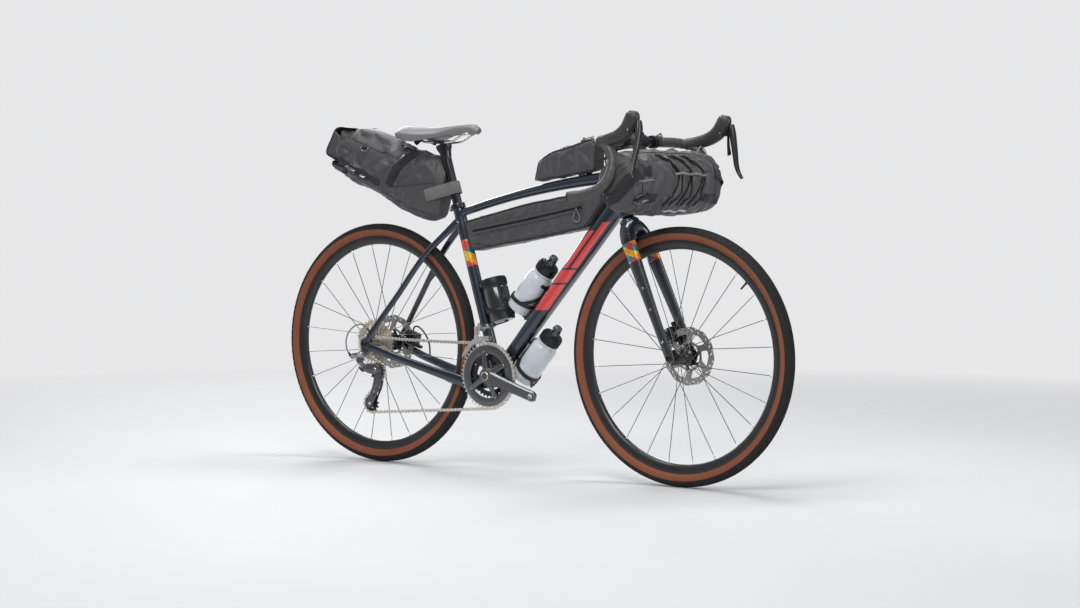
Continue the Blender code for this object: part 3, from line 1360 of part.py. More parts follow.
def make_cage(name, bottle, tube_normal):
    """A bottle cage: a strip bolted to the tube, a shelf under the foot and a band round the side."""
    foot, up = bottle_axis(bottle)
    toward = tube_normal
    strip_at = BOTTLE_RADIUS + 0.0024
    strip = block((0.0026, 0.016, 0.125), foot + up * 0.055 + toward * strip_at, right=toward, normal=Y)
    shelf = block((0.052, 0.014, 0.0030), foot - up * 0.0035 + toward * (strip_at - 0.026),
                  right=toward, normal=Y)
    outer, inner = BOTTLE_RADIUS + 0.0052, BOTTLE_RADIUS + 0.0017
    band_at = foot + up * 0.048
    band_profile = [(inner, -0.006), (outer, -0.006), (outer, 0.006), (inner, 0.006)]
    band = turned(band_profile, band_at, up, 12, start=0.19)
    boss_length = tube_offset(bottle)
    bosses = [
        rod(foot + up * h + toward * (strip_at - 0.001), foot + up * h + toward * (strip_at + boss_length),
            0.0055, 6)
        for h in (0.030, 0.094)
    ]
    piece(name, joined(strip, shelf, band, *bosses), "black_plastic", "frame")


def tube_offset(bottle):
    """How far the cage's two bosses reach to the tube behind it."""
    return {"upper_bottle": 0.0068, "lower_bottle": 0.0068, "tool_canister": 0.0040}[bottle]


# Hose and housing


def make_rear_hose():
    """Hydraulic hose from the left chainstay, in a short arc up to the calliper."""
    route = [Vector((-0.3950, 0.0640, 0.3230)), Vector((-0.3985, 0.0660, 0.3450)),
             Vector((-0.4085, 0.0650, 0.3700)), Vector((-0.4250, 0.0640, 0.3890)),
             Vector((-0.4420, 0.0640, 0.3985)), Vector((-0.4550, 0.0660, 0.3960)),
             Vector((-0.4600, 0.0660, 0.3870))]
    cord("rear_brake_hose", even_route(route, 0.0120), 0.0050, "black_rubber", "frame")


def make_shift_housing():
    """Gear cable housing from the right dropout, looping back into the rear derailleur."""
    route = [Vector((-0.5075, -0.0808, 0.3900)), Vector((-0.5180, -0.0818, 0.4020)),
             Vector((-0.5350, -0.0830, 0.4080)), Vector((-0.5560, -0.0845, 0.4035)),
             Vector((-0.5790, -0.0865, 0.3840)), Vector((-0.5890, -0.0875, 0.3580)),
             Vector((-0.5855, -0.0880, 0.3340)), HOUSING_END + HOUSING_AXIS * 0.0060,
             HOUSING_END + HOUSING_AXIS * GAP]
    cord("rear_shift_housing", even_route(route, 0.0115), 0.0042, "black_rubber", "frame")


def make_bodies(tension_centre):
    body("frame", Vector())
    body("steering", STEER_FOOT, "frame")
    body("front_wheel", FRONT_AXLE, "steering")
    body("rear_wheel", REAR_AXLE, "frame")
    body("cassette", REAR_AXLE, "frame")
    body("crankset", BB, "frame")
    body("derailleur_link", REAR_DERAILLEUR_UPPER, "frame")
    body("derailleur_lower_knuckle", REAR_DERAILLEUR_LOWER, "derailleur_link")
    body("derailleur_cage", CAGE_PIVOT, "derailleur_lower_knuckle")
    body("guide_pulley", GUIDE_PULLEY, "derailleur_cage")
    body("tension_pulley", tension_centre, "derailleur_cage")
    body("front_derailleur_cage", front_derailleur_hinge(), "frame")
    body("seatpost", seat_point(SEAT_TUBE_TOP), "frame")
    for side, label in ((-1, "right"), (1, "left")):
        body(label + "_brake_lever", lever_pivot(side), "steering")
        body(label + "_shift_paddle", paddle_pivot(side), label + "_brake_lever")
    for wheel, parent, centre in (("front", "steering", FRONT_AXLE), ("rear", "frame", REAR_AXLE)):
        for label in ("outer", "inner"):
            body(wheel + "_pad_" + label, centre, parent)
    for name in ("upper_bottle", "lower_bottle", "tool_canister"):
        body(name, bottle_axis(name)[0], "frame")


def main():
    clear_scene()
    cage_angle = solve_cage_angle()
    runs = chain_runs(cage_angle)
    tension_flat = runs[2][2]
    tension_centre = Vector((tension_flat.x, LAST_COG_Y, tension_flat.y))
    make_bodies(tension_centre)
    make_head_tube()
    make_seat_tube()
    make_top_tube()
    make_down_tube()
    make_stays("right_stays", -1)
    make_stays("left_stays", 1)
    make_front_wheel()
    make_rear_wheel()
    make_axle("front_axle", FRONT_AXLE, FRONT_HUB_WIDTH, 0.0128, "steering")
    make_axle("rear_axle", REAR_AXLE, REAR_HUB_WIDTH, 0.0072, "frame")
    make_chain(runs)
    make_cassette(roller_phase(runs, 3))
    make_chainrings(roller_phase(runs, 0))
    make_crank_arm("right_crank_arm", -1)
    make_crank_arm("left_crank_arm", 1)
    make_pulleys(runs, tension_centre)
    make_rear_derailleur(tension_centre)
    make_front_derailleur()
    make_calliper("front_calliper", FRONT_AXLE, math.radians(114.6), math.pi / 2, 0.0740, 0.0148,
                  0.0450, FRONT_ROTOR_Y, 0.0140, "steering")
    make_calliper("rear_calliper", REAR_AXLE, math.radians(-17), math.pi / 2, 0.0640, 0.0105,
                  0.0530, REAR_ROTOR_Y, 0.0110, "frame")
    make_fork()
    make_stem()
    make_handlebar()
    make_hood("right_hood", -1)
    make_hood("left_hood", 1)
    make_lever(-1, "right")
    make_lever(1, "left")
    make_seatpost()
    make_saddle()
    make_saddle_bag()
    make_frame_bag()
    make_top_tube_bag()
    make_handlebar_bag()
    make_bungee()
    make_bottle("upper_bottle", 0.196, "clear_bottle")
    make_bottle("lower_bottle", 0.196, "clear_bottle")
    make_bottle("tool_canister", 0.127, "smoke_bottle", squat=True)
    make_cage("upper_cage", "upper_bottle", -DOWN_NORMAL)
    make_cage("lower_cage", "lower_bottle", DOWN_NORMAL)
    make_cage("canister_cage", "tool_canister", Vector((-SEAT_UP.z, 0, SEAT_UP.x)))
    make_rear_hose()
    make_shift_housing()


main()
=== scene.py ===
import math

import bmesh
import bpy
from mathutils import Matrix, Vector, noise
from mathutils.bvhtree import BVHTree
from mathutils.geometry import tessellate_polygon


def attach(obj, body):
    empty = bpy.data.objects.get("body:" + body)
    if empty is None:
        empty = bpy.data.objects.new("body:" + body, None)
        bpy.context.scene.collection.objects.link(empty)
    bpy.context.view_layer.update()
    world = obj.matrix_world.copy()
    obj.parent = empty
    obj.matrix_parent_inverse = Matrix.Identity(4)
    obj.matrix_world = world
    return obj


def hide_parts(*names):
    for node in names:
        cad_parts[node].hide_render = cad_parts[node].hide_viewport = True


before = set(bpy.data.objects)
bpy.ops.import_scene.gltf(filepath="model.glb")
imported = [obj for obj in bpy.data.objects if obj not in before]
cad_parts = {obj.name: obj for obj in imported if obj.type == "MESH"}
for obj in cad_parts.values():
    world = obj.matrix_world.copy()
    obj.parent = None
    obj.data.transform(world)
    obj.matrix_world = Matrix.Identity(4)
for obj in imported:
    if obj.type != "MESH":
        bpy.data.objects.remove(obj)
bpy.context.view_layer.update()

X, Y, Z = Vector((1, 0, 0)), Vector((0, 1, 0)), Vector((0, 0, 1))

# The CAD's driving dimensions, in metres
WHEELBASE = 1.055
TYRE_RADIUS = 0.351
TYRE_CENTRE = 0.331
CASING_RADIUS = 0.02
TREAD_RADIUS = 0.345
RIM_INNER = 0.29
CRANK_LENGTH = 0.1725
CRANK_ANGLE = math.radians(-16.3)
CHAIN_PITCH = 0.0127
OUTER_TEETH, INNER_TEETH = 46, 30
OUTER_RING_Y, INNER_RING_Y = -0.0495, -0.042
COG_TEETH = (34, 30, 27, 25, 23, 21, 19, 17, 15, 13, 11)
COG_SPACING = 0.00374
FIRST_COG_Y = -0.0281
PULLEY_TEETH = 13
PULLEY_SPACING = 0.095
CHAIN_LINKS = 116
CHAIN_SAG = 0.004
SPOKES = 24
FRONT_HALF, REAR_HALF = 0.05, 0.071
SPIDER_ANGLES = (46, 116, 230, 313)
ROTOR_RADIUS = 0.08
FRONT_ROTOR_Y, REAR_ROTOR_Y = 0.0395, 0.0555
REAR_AXLE = Vector((-WHEELBASE / 2, 0, TYRE_RADIUS))
FRONT_AXLE = Vector((WHEELBASE / 2, 0, TYRE_RADIUS))
BB = Vector((REAR_AXLE.x + math.sqrt(0.4426**2 - 0.076**2), 0, TYRE_RADIUS - 0.076))
SEAT_ANGLE, HEAD_ANGLE = math.radians(73.1), math.radians(72.0)
SEAT_UP = Vector((-math.cos(SEAT_ANGLE), 0, math.sin(SEAT_ANGLE)))
SEAT_AHEAD = Vector((SEAT_UP.z, 0, -SEAT_UP.x))
STEER_UP = Vector((-math.cos(HEAD_ANGLE), 0, math.sin(HEAD_ANGLE)))
STEER_AHEAD = Vector((math.sin(HEAD_ANGLE), 0, math.cos(HEAD_ANGLE)))
STEER_FOOT = FRONT_AXLE - STEER_AHEAD * 0.049
CROWN_RACE = math.sqrt(0.405**2 - 0.049**2)
HEAD_BOTTOM = CROWN_RACE + 0.008
HEAD_TOP = (0.885 - STEER_FOOT.z) / STEER_UP.z
DOWN_TOP = STEER_FOOT + STEER_UP * 0.464
DOWN_UP = (DOWN_TOP - BB).normalized()
DOWN_NORMAL = Vector((-DOWN_UP.z, 0, DOWN_UP.x))
LAST_COG_Y = FIRST_COG_Y - COG_SPACING * 10
GUIDE = Vector((-0.487, LAST_COG_Y, 0.269))
LINK_LENGTH = 0.038
LINK_HALF_SWING = math.radians(31)
SLANT = Vector((0, 0.959, -0.282)).normalized()
LINK_MIDDLE = Vector((0.8, -0.169, -0.575)).normalized()
LINK_AXIS = LINK_MIDDLE.cross(SLANT).normalized()
LINK_UPPER = Vector((-0.548, -0.068, 0.2985))
LINK_LOWER = LINK_UPPER + LINK_LENGTH * (
    LINK_MIDDLE * math.cos(LINK_HALF_SWING) - SLANT * math.sin(LINK_HALF_SWING))
CAGE_OUTER = 0.009
CAGE_PIVOT = GUIDE + Vector((0.0105, -CAGE_OUTER - 0.0012, 0.01))
HOUSING_END = Vector((-0.5735, -0.088, 0.3185))
HOUSING_AXIS = Vector((-0.7, 0, 0.714)).normalized()
SEAT_RADIUS = 0.0168
POST_RADIUS = 0.0136
SEAT_TOP = 0.761
COLLAR_AT = SEAT_TOP - 0.009
STEERER_TOP = HEAD_TOP + 0.055
BAR_CENTRE = Vector((0.388, 0, 0.931))
LEG_TOP = Vector((0.372, 0, 0.69))
LEG_UP = (LEG_TOP - FRONT_AXLE).normalized()
LEG_AHEAD = Vector((LEG_UP.z, 0, -LEG_UP.x))
SIDES = ((-1, "right"), (1, "left"))
POST_TOP = 0.922
FRONT_DERAILLEUR_AT = 0.409
TOP_TUBE_REAR, TOP_TUBE_FRONT = 0.732, 0.527
COIL_PITCH = 0.0026
POST_BAND_AT = 0.8045
CAGE_SCREWS = (0.03, 0.094)
STEERER_BORE = 0.0146


def seat_point(height, ahead=0.0):
    return BB + SEAT_UP * ((height - BB.z) / SEAT_UP.z) + SEAT_AHEAD * ahead


def steer_point(along, ahead=0.0):
    return STEER_FOOT + STEER_UP * along + STEER_AHEAD * ahead


def down_point(along, off):
    return BB + DOWN_UP * along + DOWN_NORMAL * off


def plane_way(angle):
    """The direction at this angle in the bike's own plane, from ahead upwards."""
    return Vector((math.cos(angle), 0, math.sin(angle)))


def turn_of(degrees):
    """The cosine and sine of an angle in degrees."""
    angle = math.radians(degrees)
    return math.cos(angle), math.sin(angle)


def signed_power(value, power):
    """The value's size to this power, with the value's sign."""
    return math.copysign(abs(value) ** power, value)


def square_to(way, axis):
    """The way with its share along the axis taken out, at unit length."""
    return (way - axis * way.dot(axis)).normalized()


def points_at(side, *rows):
    """Points from (x, y, z) rows that are written for the left side."""
    return [Vector((x, side * y, z)) for x, y, z in rows]


# Camera and light

camera_data = bpy.data.cameras.new("camera")
camera = bpy.data.objects.new("camera", camera_data)
bpy.context.scene.collection.objects.link(camera)
SENSOR_WIDTH, FOCAL_PIXELS, PICTURE_PIXELS = 36, 2389, 1080
camera_data.sensor_width = SENSOR_WIDTH
camera_data.lens = FOCAL_PIXELS / PICTURE_PIXELS * SENSOR_WIDTH
camera.location = (4.036, -5.38, 0.794)
yaw, pitch = math.radians(126.5), math.radians(-2.68)
ahead = Vector((math.cos(yaw) * math.cos(pitch), math.sin(yaw) * math.cos(pitch), math.sin(pitch)))
camera.rotation_euler = ahead.to_track_quat("-Z", "Y").to_euler()
bpy.context.scene.camera = camera
bpy.context.scene.view_settings.view_transform = "Standard"


def area_light(name, place, target, size, power, colour=(1, 1, 1)):
    data = bpy.data.lights.new(name, "AREA")
    data.shape, data.size, data.size_y = "RECTANGLE", size[0], size[1]
    data.energy, data.color = power, colour
    lamp = bpy.data.objects.new(name, data)
    bpy.context.scene.collection.objects.link(lamp)
    lamp.location = place
    lamp.rotation_euler = (Vector(target) - Vector(place)).to_track_quat("-Z", "Y").to_euler()


area_light("key", (1.6, -3.2, 3.4), (0, 0, 0.5), (2.4, 1.6), 105)
area_light("top", (-0.3, 0.2, 3.6), (0, 0, 0.4), (3.4, 1.0), 110)
area_light("rim", (-3.2, 2.2, 2.2), (0, 0, 0.6), (1.6, 2.0), 60)
area_light("front", (4.2, 1.2, 1.8), (0.3, 0, 0.5), (1.2, 2.2), 42)

# Node trees, studio and materials


class Nodes:
    """Short calls for a node tree."""

    def __init__(self, tree):
        self.tree = tree

    def make(self, kind, **values):
        node = self.tree.nodes.new("ShaderNode" + kind)
        for key, value in values.items():
            setattr(node, key, value)
        return node

    def put(self, target, value):
        if isinstance(value, bpy.types.NodeSocket):
            self.tree.links.new(value, target)
        else:
            target.default_value = value

    def math(self, operation, *values):
        node = self.make("Math", operation=operation)
        for target, value in zip(node.inputs, values):
            self.put(target, value)
        return node.outputs[0]

    def dot(self, vector, axis):
        node = self.make("VectorMath", operation="DOT_PRODUCT")
        self.put(node.inputs[0], vector)
        node.inputs[1].default_value = axis
        return node.outputs["Value"]

    def away(self, point):
        node = self.make("VectorMath", operation="SUBTRACT")
        self.put(node.inputs[0], self.coords)
        node.inputs[1].default_value = point
        return node.outputs[0]

    def noise(self, scale, detail=3.0, roughness=0.55, stretch=None):
        node = self.make("TexNoise")
        node.inputs["Scale"].default_value = scale
        node.inputs["Detail"].default_value = detail
        node.inputs["Roughness"].default_value = roughness
        vector = self.coords
        if stretch:
            mapping = self.make("Mapping")
            self.put(mapping.inputs["Vector"], vector)
            mapping.inputs["Scale"].default_value = stretch
            vector = mapping.outputs[0]
        self.put(node.inputs["Vector"], vector)
        return node.outputs["Fac"]

    def ramp(self, value, low, high, to_low, to_high):
        node = self.make("MapRange")
        self.put(node.inputs[0], value)
        for target, number in zip(list(node.inputs)[1:5], (low, high, to_low, to_high)):
            self.put(target, number)
        return node.outputs[0]

    def mix(self, share, first, second):
        node = self.make("Mix", data_type="RGBA")
        self.put(node.inputs[0], share)
        for target, value in ((node.inputs[6], first), (node.inputs[7], second)):
            self.put(target, value if isinstance(value, bpy.types.NodeSocket) else (*value, 1))
        return node.outputs[2]

    def bump(self, height, strength, distance, base=None):
        node = self.make("Bump")
        self.put(node.inputs["Height"], height)
        node.inputs["Strength"].default_value = strength
        node.inputs["Distance"].default_value = distance
        if base:
            self.put(node.inputs["Normal"], base)
        return node.outputs[0]


class MaterialNodes(Nodes):
    """The same for a new material."""

    def __init__(self, name):
        self.material = bpy.data.materials.new(name)
        self.material.use_nodes = True
        super().__init__(self.material.node_tree)
        self.shader = self.tree.nodes["Principled BSDF"]
        self.output = self.tree.nodes["Material Output"]
        self.coords = self.make("TexCoord").outputs["Object"]


def make_studio():
    """A pale tone for the camera, graded darker for mirrors, and a plain level of light."""
    world = bpy.data.worlds.new("studio")
    bpy.context.scene.world = world
    world.use_nodes = True
    world.node_tree.nodes.clear()
    nodes = Nodes(world.node_tree)
    lit, shown = nodes.make("Background"), nodes.make("Background")
    lit.inputs["Color"].default_value = (0.8, 0.84, 0.9, 1)
    lit.inputs["Strength"].default_value = 0.3
    shown.inputs["Strength"].default_value = 1.0
    way = nodes.make("SeparateXYZ")
    nodes.put(way.inputs[0], nodes.make("TexCoord").outputs["Generated"])
    above = nodes.ramp(way.outputs["Z"], 0.12, 0.75, 0.0, 1.0)
    beside = nodes.ramp(nodes.math("ABSOLUTE", way.outputs["Y"]), 0.3, 0.85, 0.0, 1.0)
    pale = (0.8, 0.8, 0.81)
    graded = nodes.mix(nodes.math("MAXIMUM", above, beside), pale, (0.16, 0.165, 0.175))
    rays = nodes.make("LightPath").outputs
    nodes.put(shown.inputs["Color"], nodes.mix(rays["Is Camera Ray"], graded, pale))
    mirrors = nodes.math("ADD", rays["Is Glossy Ray"], rays["Is Transmission Ray"])
    seen = nodes.math("ADD", rays["Is Camera Ray"], mirrors)
    seen.node.use_clamp = True
    blend = nodes.make("MixShader")
    for target, source in zip(blend.inputs, (seen, lit.outputs[0], shown.outputs[0])):
        nodes.put(target, source)
    nodes.put(nodes.make("OutputWorld").inputs[0], blend.outputs[0])


make_studio()

MATERIALS = {}


def shade(name, colour, roughness, metallic=0.0, vary=0.12, scale=40, spread=0.06, coat=0.0,
          coat_roughness=0.08, specular=0.5, sheen=0.0, transmission=0.0, subsurface=0.0):
    """A material with mottled colour and roughness, returned so that its bump can be added."""
    nodes = MaterialNodes(name)
    shader = nodes.shader
    tone = nodes.noise(scale)
    dark = tuple(c * (1 - vary) for c in colour)
    light = tuple(min(1, c * (1 + vary)) for c in colour)
    nodes.put(shader.inputs["Base Color"], nodes.mix(tone, dark, light))
    patches = nodes.noise(scale * 0.37, 5.0)
    smoothest, roughest = max(0.02, roughness - spread), min(1, roughness + spread)
    nodes.put(shader.inputs["Roughness"], nodes.ramp(patches, 0.3, 0.7, smoothest, roughest))
    shader.inputs["Metallic"].default_value = metallic
    shader.inputs["Specular IOR Level"].default_value = specular
    shader.inputs["Coat Weight"].default_value = coat
    shader.inputs["Coat Roughness"].default_value = coat_roughness
    shader.inputs["Sheen Weight"].default_value = sheen
    shader.inputs["Sheen Roughness"].default_value = 0.4
    shader.inputs["Transmission Weight"].default_value = transmission
    shader.inputs["Subsurface Weight"].default_value = subsurface
    shader.inputs["Subsurface Scale"].default_value = 0.004
    MATERIALS[name] = nodes.material
    return nodes


def grainy(nodes, scale, strength, distance, detail=4.0, stretch=None):
    normal = nodes.bump(nodes.noise(scale, detail, stretch=stretch), strength, distance)
    nodes.put(nodes.shader.inputs["Normal"], normal)
    return normal


def woven(nodes, pitch, strength, first, second, base=None):
    """Threads over and under each other along two directions of the piece."""
    turns = 2 * math.pi / pitch
    waves = [nodes.math("SINE", nodes.math("MULTIPLY", nodes.dot(nodes.coords, axis), turns))
             for axis in (first, second)]
    height = nodes.math("MULTIPLY", *waves)
    normal = nodes.bump(height, strength, 0.0002, base)
    nodes.put(nodes.shader.inputs["Normal"], normal)
    return height


NAVY = (0.014, 0.023, 0.038)
RED = (0.74, 0.06, 0.055)
ORANGE, YELLOW, TEAL = (0.86, 0.33, 0.015), (0.9, 0.52, 0.04), (0.012, 0.22, 0.3)


def harlequin(nodes, along, angle, tall, count):
    """Lozenges in four colours, in rows along a tube and round it."""
    u = nodes.math("DIVIDE", along, tall)
    v = nodes.math("MULTIPLY", angle, count / (2 * math.pi))
    first = nodes.math("FLOOR", nodes.math("ADD", u, v))
    second = nodes.math("FLOOR", nodes.math("SUBTRACT", u, v))
    odd_first = nodes.math("FLOORED_MODULO", first, 2.0)
    odd_second = nodes.math("FLOORED_MODULO", second, 2.0)
    warm = nodes.mix(odd_second, ORANGE, YELLOW)
    cool = nodes.mix(odd_second, RED, TEAL)
    return nodes.mix(odd_first, warm, cool)


def between(nodes, value, low, high):
    return nodes.math("MULTIPLY", nodes.math("GREATER_THAN", value, low),
                      nodes.math("LESS_THAN", value, high))


def paint(name, bands, stripes):
    """Dark blue lacquer with its coloured bands, each (foot, axis, ahead, low, high, reach)."""
    nodes = shade(name, NAVY, 0.3, 0.25, vary=0.1, scale=18, spread=0.03, coat=1.0,
                  coat_roughness=0.05)
    shader = nodes.shader
    colour = shader.inputs["Base Color"].links[0].from_socket
    for foot, axis, front, low, high, reach in bands:
        local = nodes.away(foot)
        along, forward = nodes.dot(local, axis), nodes.dot(local, front)
        across = nodes.dot(local, Y)
        far = nodes.math("SQRT", nodes.math("ADD", nodes.math("MULTIPLY", forward, forward),
                                            nodes.math("MULTIPLY", across, across)))
        angle = nodes.math("ARCTAN2", across, forward)
        inside = nodes.math("MULTIPLY", between(nodes, along, low, high),
                            nodes.math("LESS_THAN", far, reach))
        pattern = harlequin(nodes, along, angle, (high - low) / 2.5, 2 if reach < 0.03 else 3)
        colour = nodes.mix(inside, colour, pattern)
    if stripes:
        local = nodes.away(BB)
        along, off = nodes.dot(local, DOWN_UP), nodes.dot(local, DOWN_NORMAL)
        side = nodes.math("ABSOLUTE", nodes.dot(local, Y))
        skew = nodes.math("ADD", along, nodes.math("MULTIPLY", off, 0.9))
        on_side = nodes.math("GREATER_THAN", side, 0.014)
        for start, end, low, high in stripes:
            mask = nodes.math("MULTIPLY", between(nodes, skew, start, end),
                              between(nodes, off, low, high))
            mask = nodes.math("MULTIPLY", mask, on_side)
            colour = nodes.mix(mask, colour, RED)
    else:
        below = nodes.math("LESS_THAN", nodes.dot(nodes.away(bands[0][0]), bands[0][1]), -0.0005)
        colour = nodes.mix(below, colour, (0.032, 0.033, 0.035))
    nodes.put(shader.inputs["Base Color"], colour)
    grainy(nodes, 900, 0.02, 0.0001)


SEAT_BAND = (seat_point(0.582), SEAT_UP, SEAT_AHEAD, 0.0, 0.0785, 0.026)
LEG_BAND_AT = FRONT_AXLE + LEG_UP * ((0.606 - FRONT_AXLE.z) / LEG_UP.z)
LEG_BANDS = [(LEG_BAND_AT + Y * side * 0.0475, LEG_UP, LEG_AHEAD, 0.0, 0.056, 0.036)
             for side in (-1, 1)]
paint("frame_paint", [SEAT_BAND], [(0.25, 0.345, -0.019, 0.017), (0.352, 0.4, -0.019, 0.017),
                                   (0.407, 0.575, -0.019, -0.003), (0.407, 0.545, 0.003, 0.017)])
paint("fork_paint", LEG_BANDS, [])

grainy(shade("black_plastic", (0.012, 0.012, 0.013), 0.42, specular=0.4), 1400,
       0.12, 0.0002)
grainy(shade("black_alloy", (0.016, 0.016, 0.017), 0.3, 0.3, coat=0.3), 1600, 0.05,
       0.0001)
grainy(shade("post_black", (0.01, 0.01, 0.011), 0.16, 0.3, coat=1.0), 700, 0.03,
       0.0001)
grainy(shade("rim_black", (0.02, 0.02, 0.021), 0.38, 0.2, coat=0.2), 500, 0.05,
       0.0001)
grainy(shade("grey_alloy", (0.075, 0.075, 0.08), 0.3, 0.75), 1500, 0.06, 0.0001)
grainy(shade("crank_grey", (0.12, 0.12, 0.126), 0.34, 0.7, coat=0.3), 1500, 0.05,
       0.0001)
grainy(shade("bright_grey", (0.34, 0.34, 0.35), 0.3, 0.9), 1500, 0.05, 0.0001)
grainy(shade("silver", (0.76, 0.75, 0.73), 0.22, 0.9), 1100, 0.06, 0.0001)
grainy(shade("spoke_steel", (0.16, 0.16, 0.165), 0.32, 0.9), 1100, 0.04, 0.0001)
grainy(shade("warm_steel", (0.76, 0.71, 0.63), 0.3, 0.85), 1300, 0.06, 0.0001)
grainy(shade("rotor_steel", (0.47, 0.46, 0.445), 0.32, 0.9, scale=120), 900, 0.1,
       0.0001, stretch=(1, 8, 1))
grainy(shade("gold", (0.7, 0.6, 0.4), 0.28, 1.0), 1100, 0.05, 0.0001)
grainy(shade("tread", (0.022, 0.0215, 0.0215), 0.8, scale=90, specular=0.25), 700,
       0.35, 0.0004)
woven(shade("sidewall", (0.25, 0.082, 0.04), 0.66, scale=160, specular=0.25), 0.0009,
      0.35, (0.7, 0.1, 0.7), (0.7, 0.1, -0.7))
grainy(shade("rubber", (0.04, 0.0385, 0.0385), 0.46, specular=0.45), 1800, 0.25,
       0.0002)
grainy(shade("matte_black", (0.01, 0.01, 0.01), 0.7, specular=0.25), 1200, 0.2,
       0.0002)
grainy(shade("housing_grey", (0.2, 0.2, 0.2), 0.45), 1200, 0.1, 0.0001)


def tape_material():
    """Synthetic tape with a fine scale of raised dots."""
    nodes = shade("bar_tape", (0.068, 0.066, 0.066), 0.46, scale=70, specular=0.5)
    cells = nodes.make("TexVoronoi", feature="SMOOTH_F1")
    cells.inputs["Scale"].default_value = 210
    cells.inputs["Randomness"].default_value = 0.25
    nodes.put(cells.inputs["Vector"], nodes.coords)
    normal = nodes.bump(cells.outputs["Distance"], 0.55, 0.0008)
    nodes.put(nodes.shader.inputs["Normal"], nodes.bump(nodes.noise(1500, 3), 0.2, 0.0002, normal))


def fabric_material(name, colour, roughness):
    """Coated bag cloth: a fine plain weave under a dull coating, with rubbed and dusty patches."""
    nodes = shade(name, colour, roughness, vary=0.16, scale=14, spread=0.07,
                  specular=0.42, sheen=0.12)
    creases = nodes.bump(nodes.noise(38, 5, 0.6), 0.28, 0.003)
    woven(nodes, 0.0011, 0.3, (0.8, 0.6, 0), (-0.3, 0.4, 0.85), creases)


def webbing_material():
    nodes = shade("webbing", (0.024, 0.024, 0.025), 0.72, scale=120, specular=0.3,
                  sheen=0.2)
    woven(nodes, 0.0016, 0.7, (0.6, 0.6, 0.5), (0.6, -0.6, 0.5))


def saddle_material():
    nodes = shade("saddle_cover", (0.185, 0.178, 0.18), 0.4, vary=0.08, scale=30,
                  specular=0.5, sheen=0.1)
    cells = nodes.make("TexVoronoi", feature="F1")
    cells.inputs["Scale"].default_value = 900
    nodes.put(cells.inputs["Vector"], nodes.coords)
    nodes.put(nodes.shader.inputs["Normal"], nodes.bump(cells.outputs["Distance"], 0.25, 0.0003))


tape_material()
fabric_material("bag_cloth", (0.066, 0.0645, 0.066), 0.42)
fabric_material("bag_dark", (0.028, 0.0275, 0.029), 0.48)
webbing_material()
saddle_material()
grainy(shade("bottle_clear", (0.6, 0.645, 0.68), 0.3, vary=0.05, coat=0.4,
             coat_roughness=0.12, subsurface=0.15), 60, 0.05, 0.001)
# Glossy grey plastic for the bottles' spouts. The bags' black plastic clips use it too, where the
# grey is painted light standing in for the highlights along their edges.
grainy(shade("spout_grey", (0.075, 0.077, 0.08), 0.22, coat=0.6,
             coat_roughness=0.05), 900, 0.05, 0.0001)
grainy(shade("bottle_smoke", (0.022, 0.023, 0.025), 0.16, coat=0.8,
             coat_roughness=0.06), 60, 0.05, 0.001)
woven(shade("webbing_grey", (0.2, 0.2, 0.2), 0.65, scale=120, specular=0.3,
            sheen=0.2), 0.0014, 0.6, (0.6, 0.6, 0.5), (0.6, -0.6, 0.5))
woven(shade("band_grey", (0.15, 0.146, 0.146), 0.7, scale=60, specular=0.3,
            sheen=0.3), 0.0012, 0.5, (0.9, 0.2, 0.3), (-0.3, 0.2, 0.9))
grainy(shade("reflective", (0.52, 0.52, 0.53), 0.35, 0.2, scale=300), 1500, 0.3,
       0.0002)

# Shapes: each function that makes one returns a new bmesh in the part's frame


def bridge(bm, first, second):
    count = len(first)
    return [bm.faces.new((first[i], first[(i + 1) % count], second[(i + 1) % count], second[i]))
            for i in range(count)]


def facing_out(bm):
    bmesh.ops.recalc_face_normals(bm, faces=bm.faces)
    if bm.calc_volume(signed=True) < 0:
        bmesh.ops.reverse_faces(bm, faces=bm.faces)
    return bm


def loft(loops, closed=False):
    bm = bmesh.new()
    rings = [[bm.verts.new(p) for p in loop] for loop in loops]
    for first, second in zip(rings, rings[1:]):
        bridge(bm, first, second)
    if closed:
        bridge(bm, rings[-1], rings[0])
    else:
        bm.faces.new(rings[0])
        bm.faces.new(rings[-1])
    return facing_out(bm)


def oval(half_a, half_b, sides, power=2.0, turn=0.5):
    points = []
    for i in range(sides):
        angle = 2 * math.pi * (i + turn) / sides
        c, s = math.cos(angle), math.sin(angle)
        points.append((signed_power(c, 2 / power) * half_a, signed_power(s, 2 / power) * half_b))
    return points


def tangents(points):
    last = len(points) - 1
    return [(points[min(i + 1, last)] - points[max(i - 1, 0)]).normalized()
            for i in range(last + 1)]


def sweep(points, halves, sides=24, across=Y, power=2.0):
    """An oval tube along points. Each pair of halves is its size along across and square to it."""
    loops = []
    for point, tangent, (half_a, half_b) in zip(points, tangents(points), halves):
        u = square_to(across, tangent)
        v = tangent.cross(u)
        loops.append([point + u * a + v * b for a, b in oval(half_a, half_b, sides, power)])
    return loft(loops)


def pipe(points, radii, sides=16):
    """A round tube along points, of one radius, or of a list with one for each point."""
    radii = radii if isinstance(radii, list) else [radii] * len(points)
    along = tangents(points)
    u = along[0].orthogonal().normalized()
    loops = []
    for point, tangent, radius in zip(points, along, radii):
        u = square_to(u, tangent)
        v = tangent.cross(u)
        loops.append([point + u * a + v * b for a, b in oval(radius, radius, sides)])
    return loft(loops)


def catmull(a, b, c, d, t):
    return 0.5 * (2 * b + (c - a) * t + (2 * a - 5 * b + 4 * c - d) * t**2
                  + (3 * b - a - 3 * c + d) * t**3)


def smooth_route(points, steps):
    """A smooth curve through points or numbers, with this many steps between each two."""
    ends = [points[0] * 2 - points[1]] + list(points) + [points[-1] * 2 - points[-2]]
    route = [catmull(*four, step / steps) for four in zip(ends, ends[1:], ends[2:], ends[3:])
             for step in range(steps)]
    return route + [points[-1] * 1]


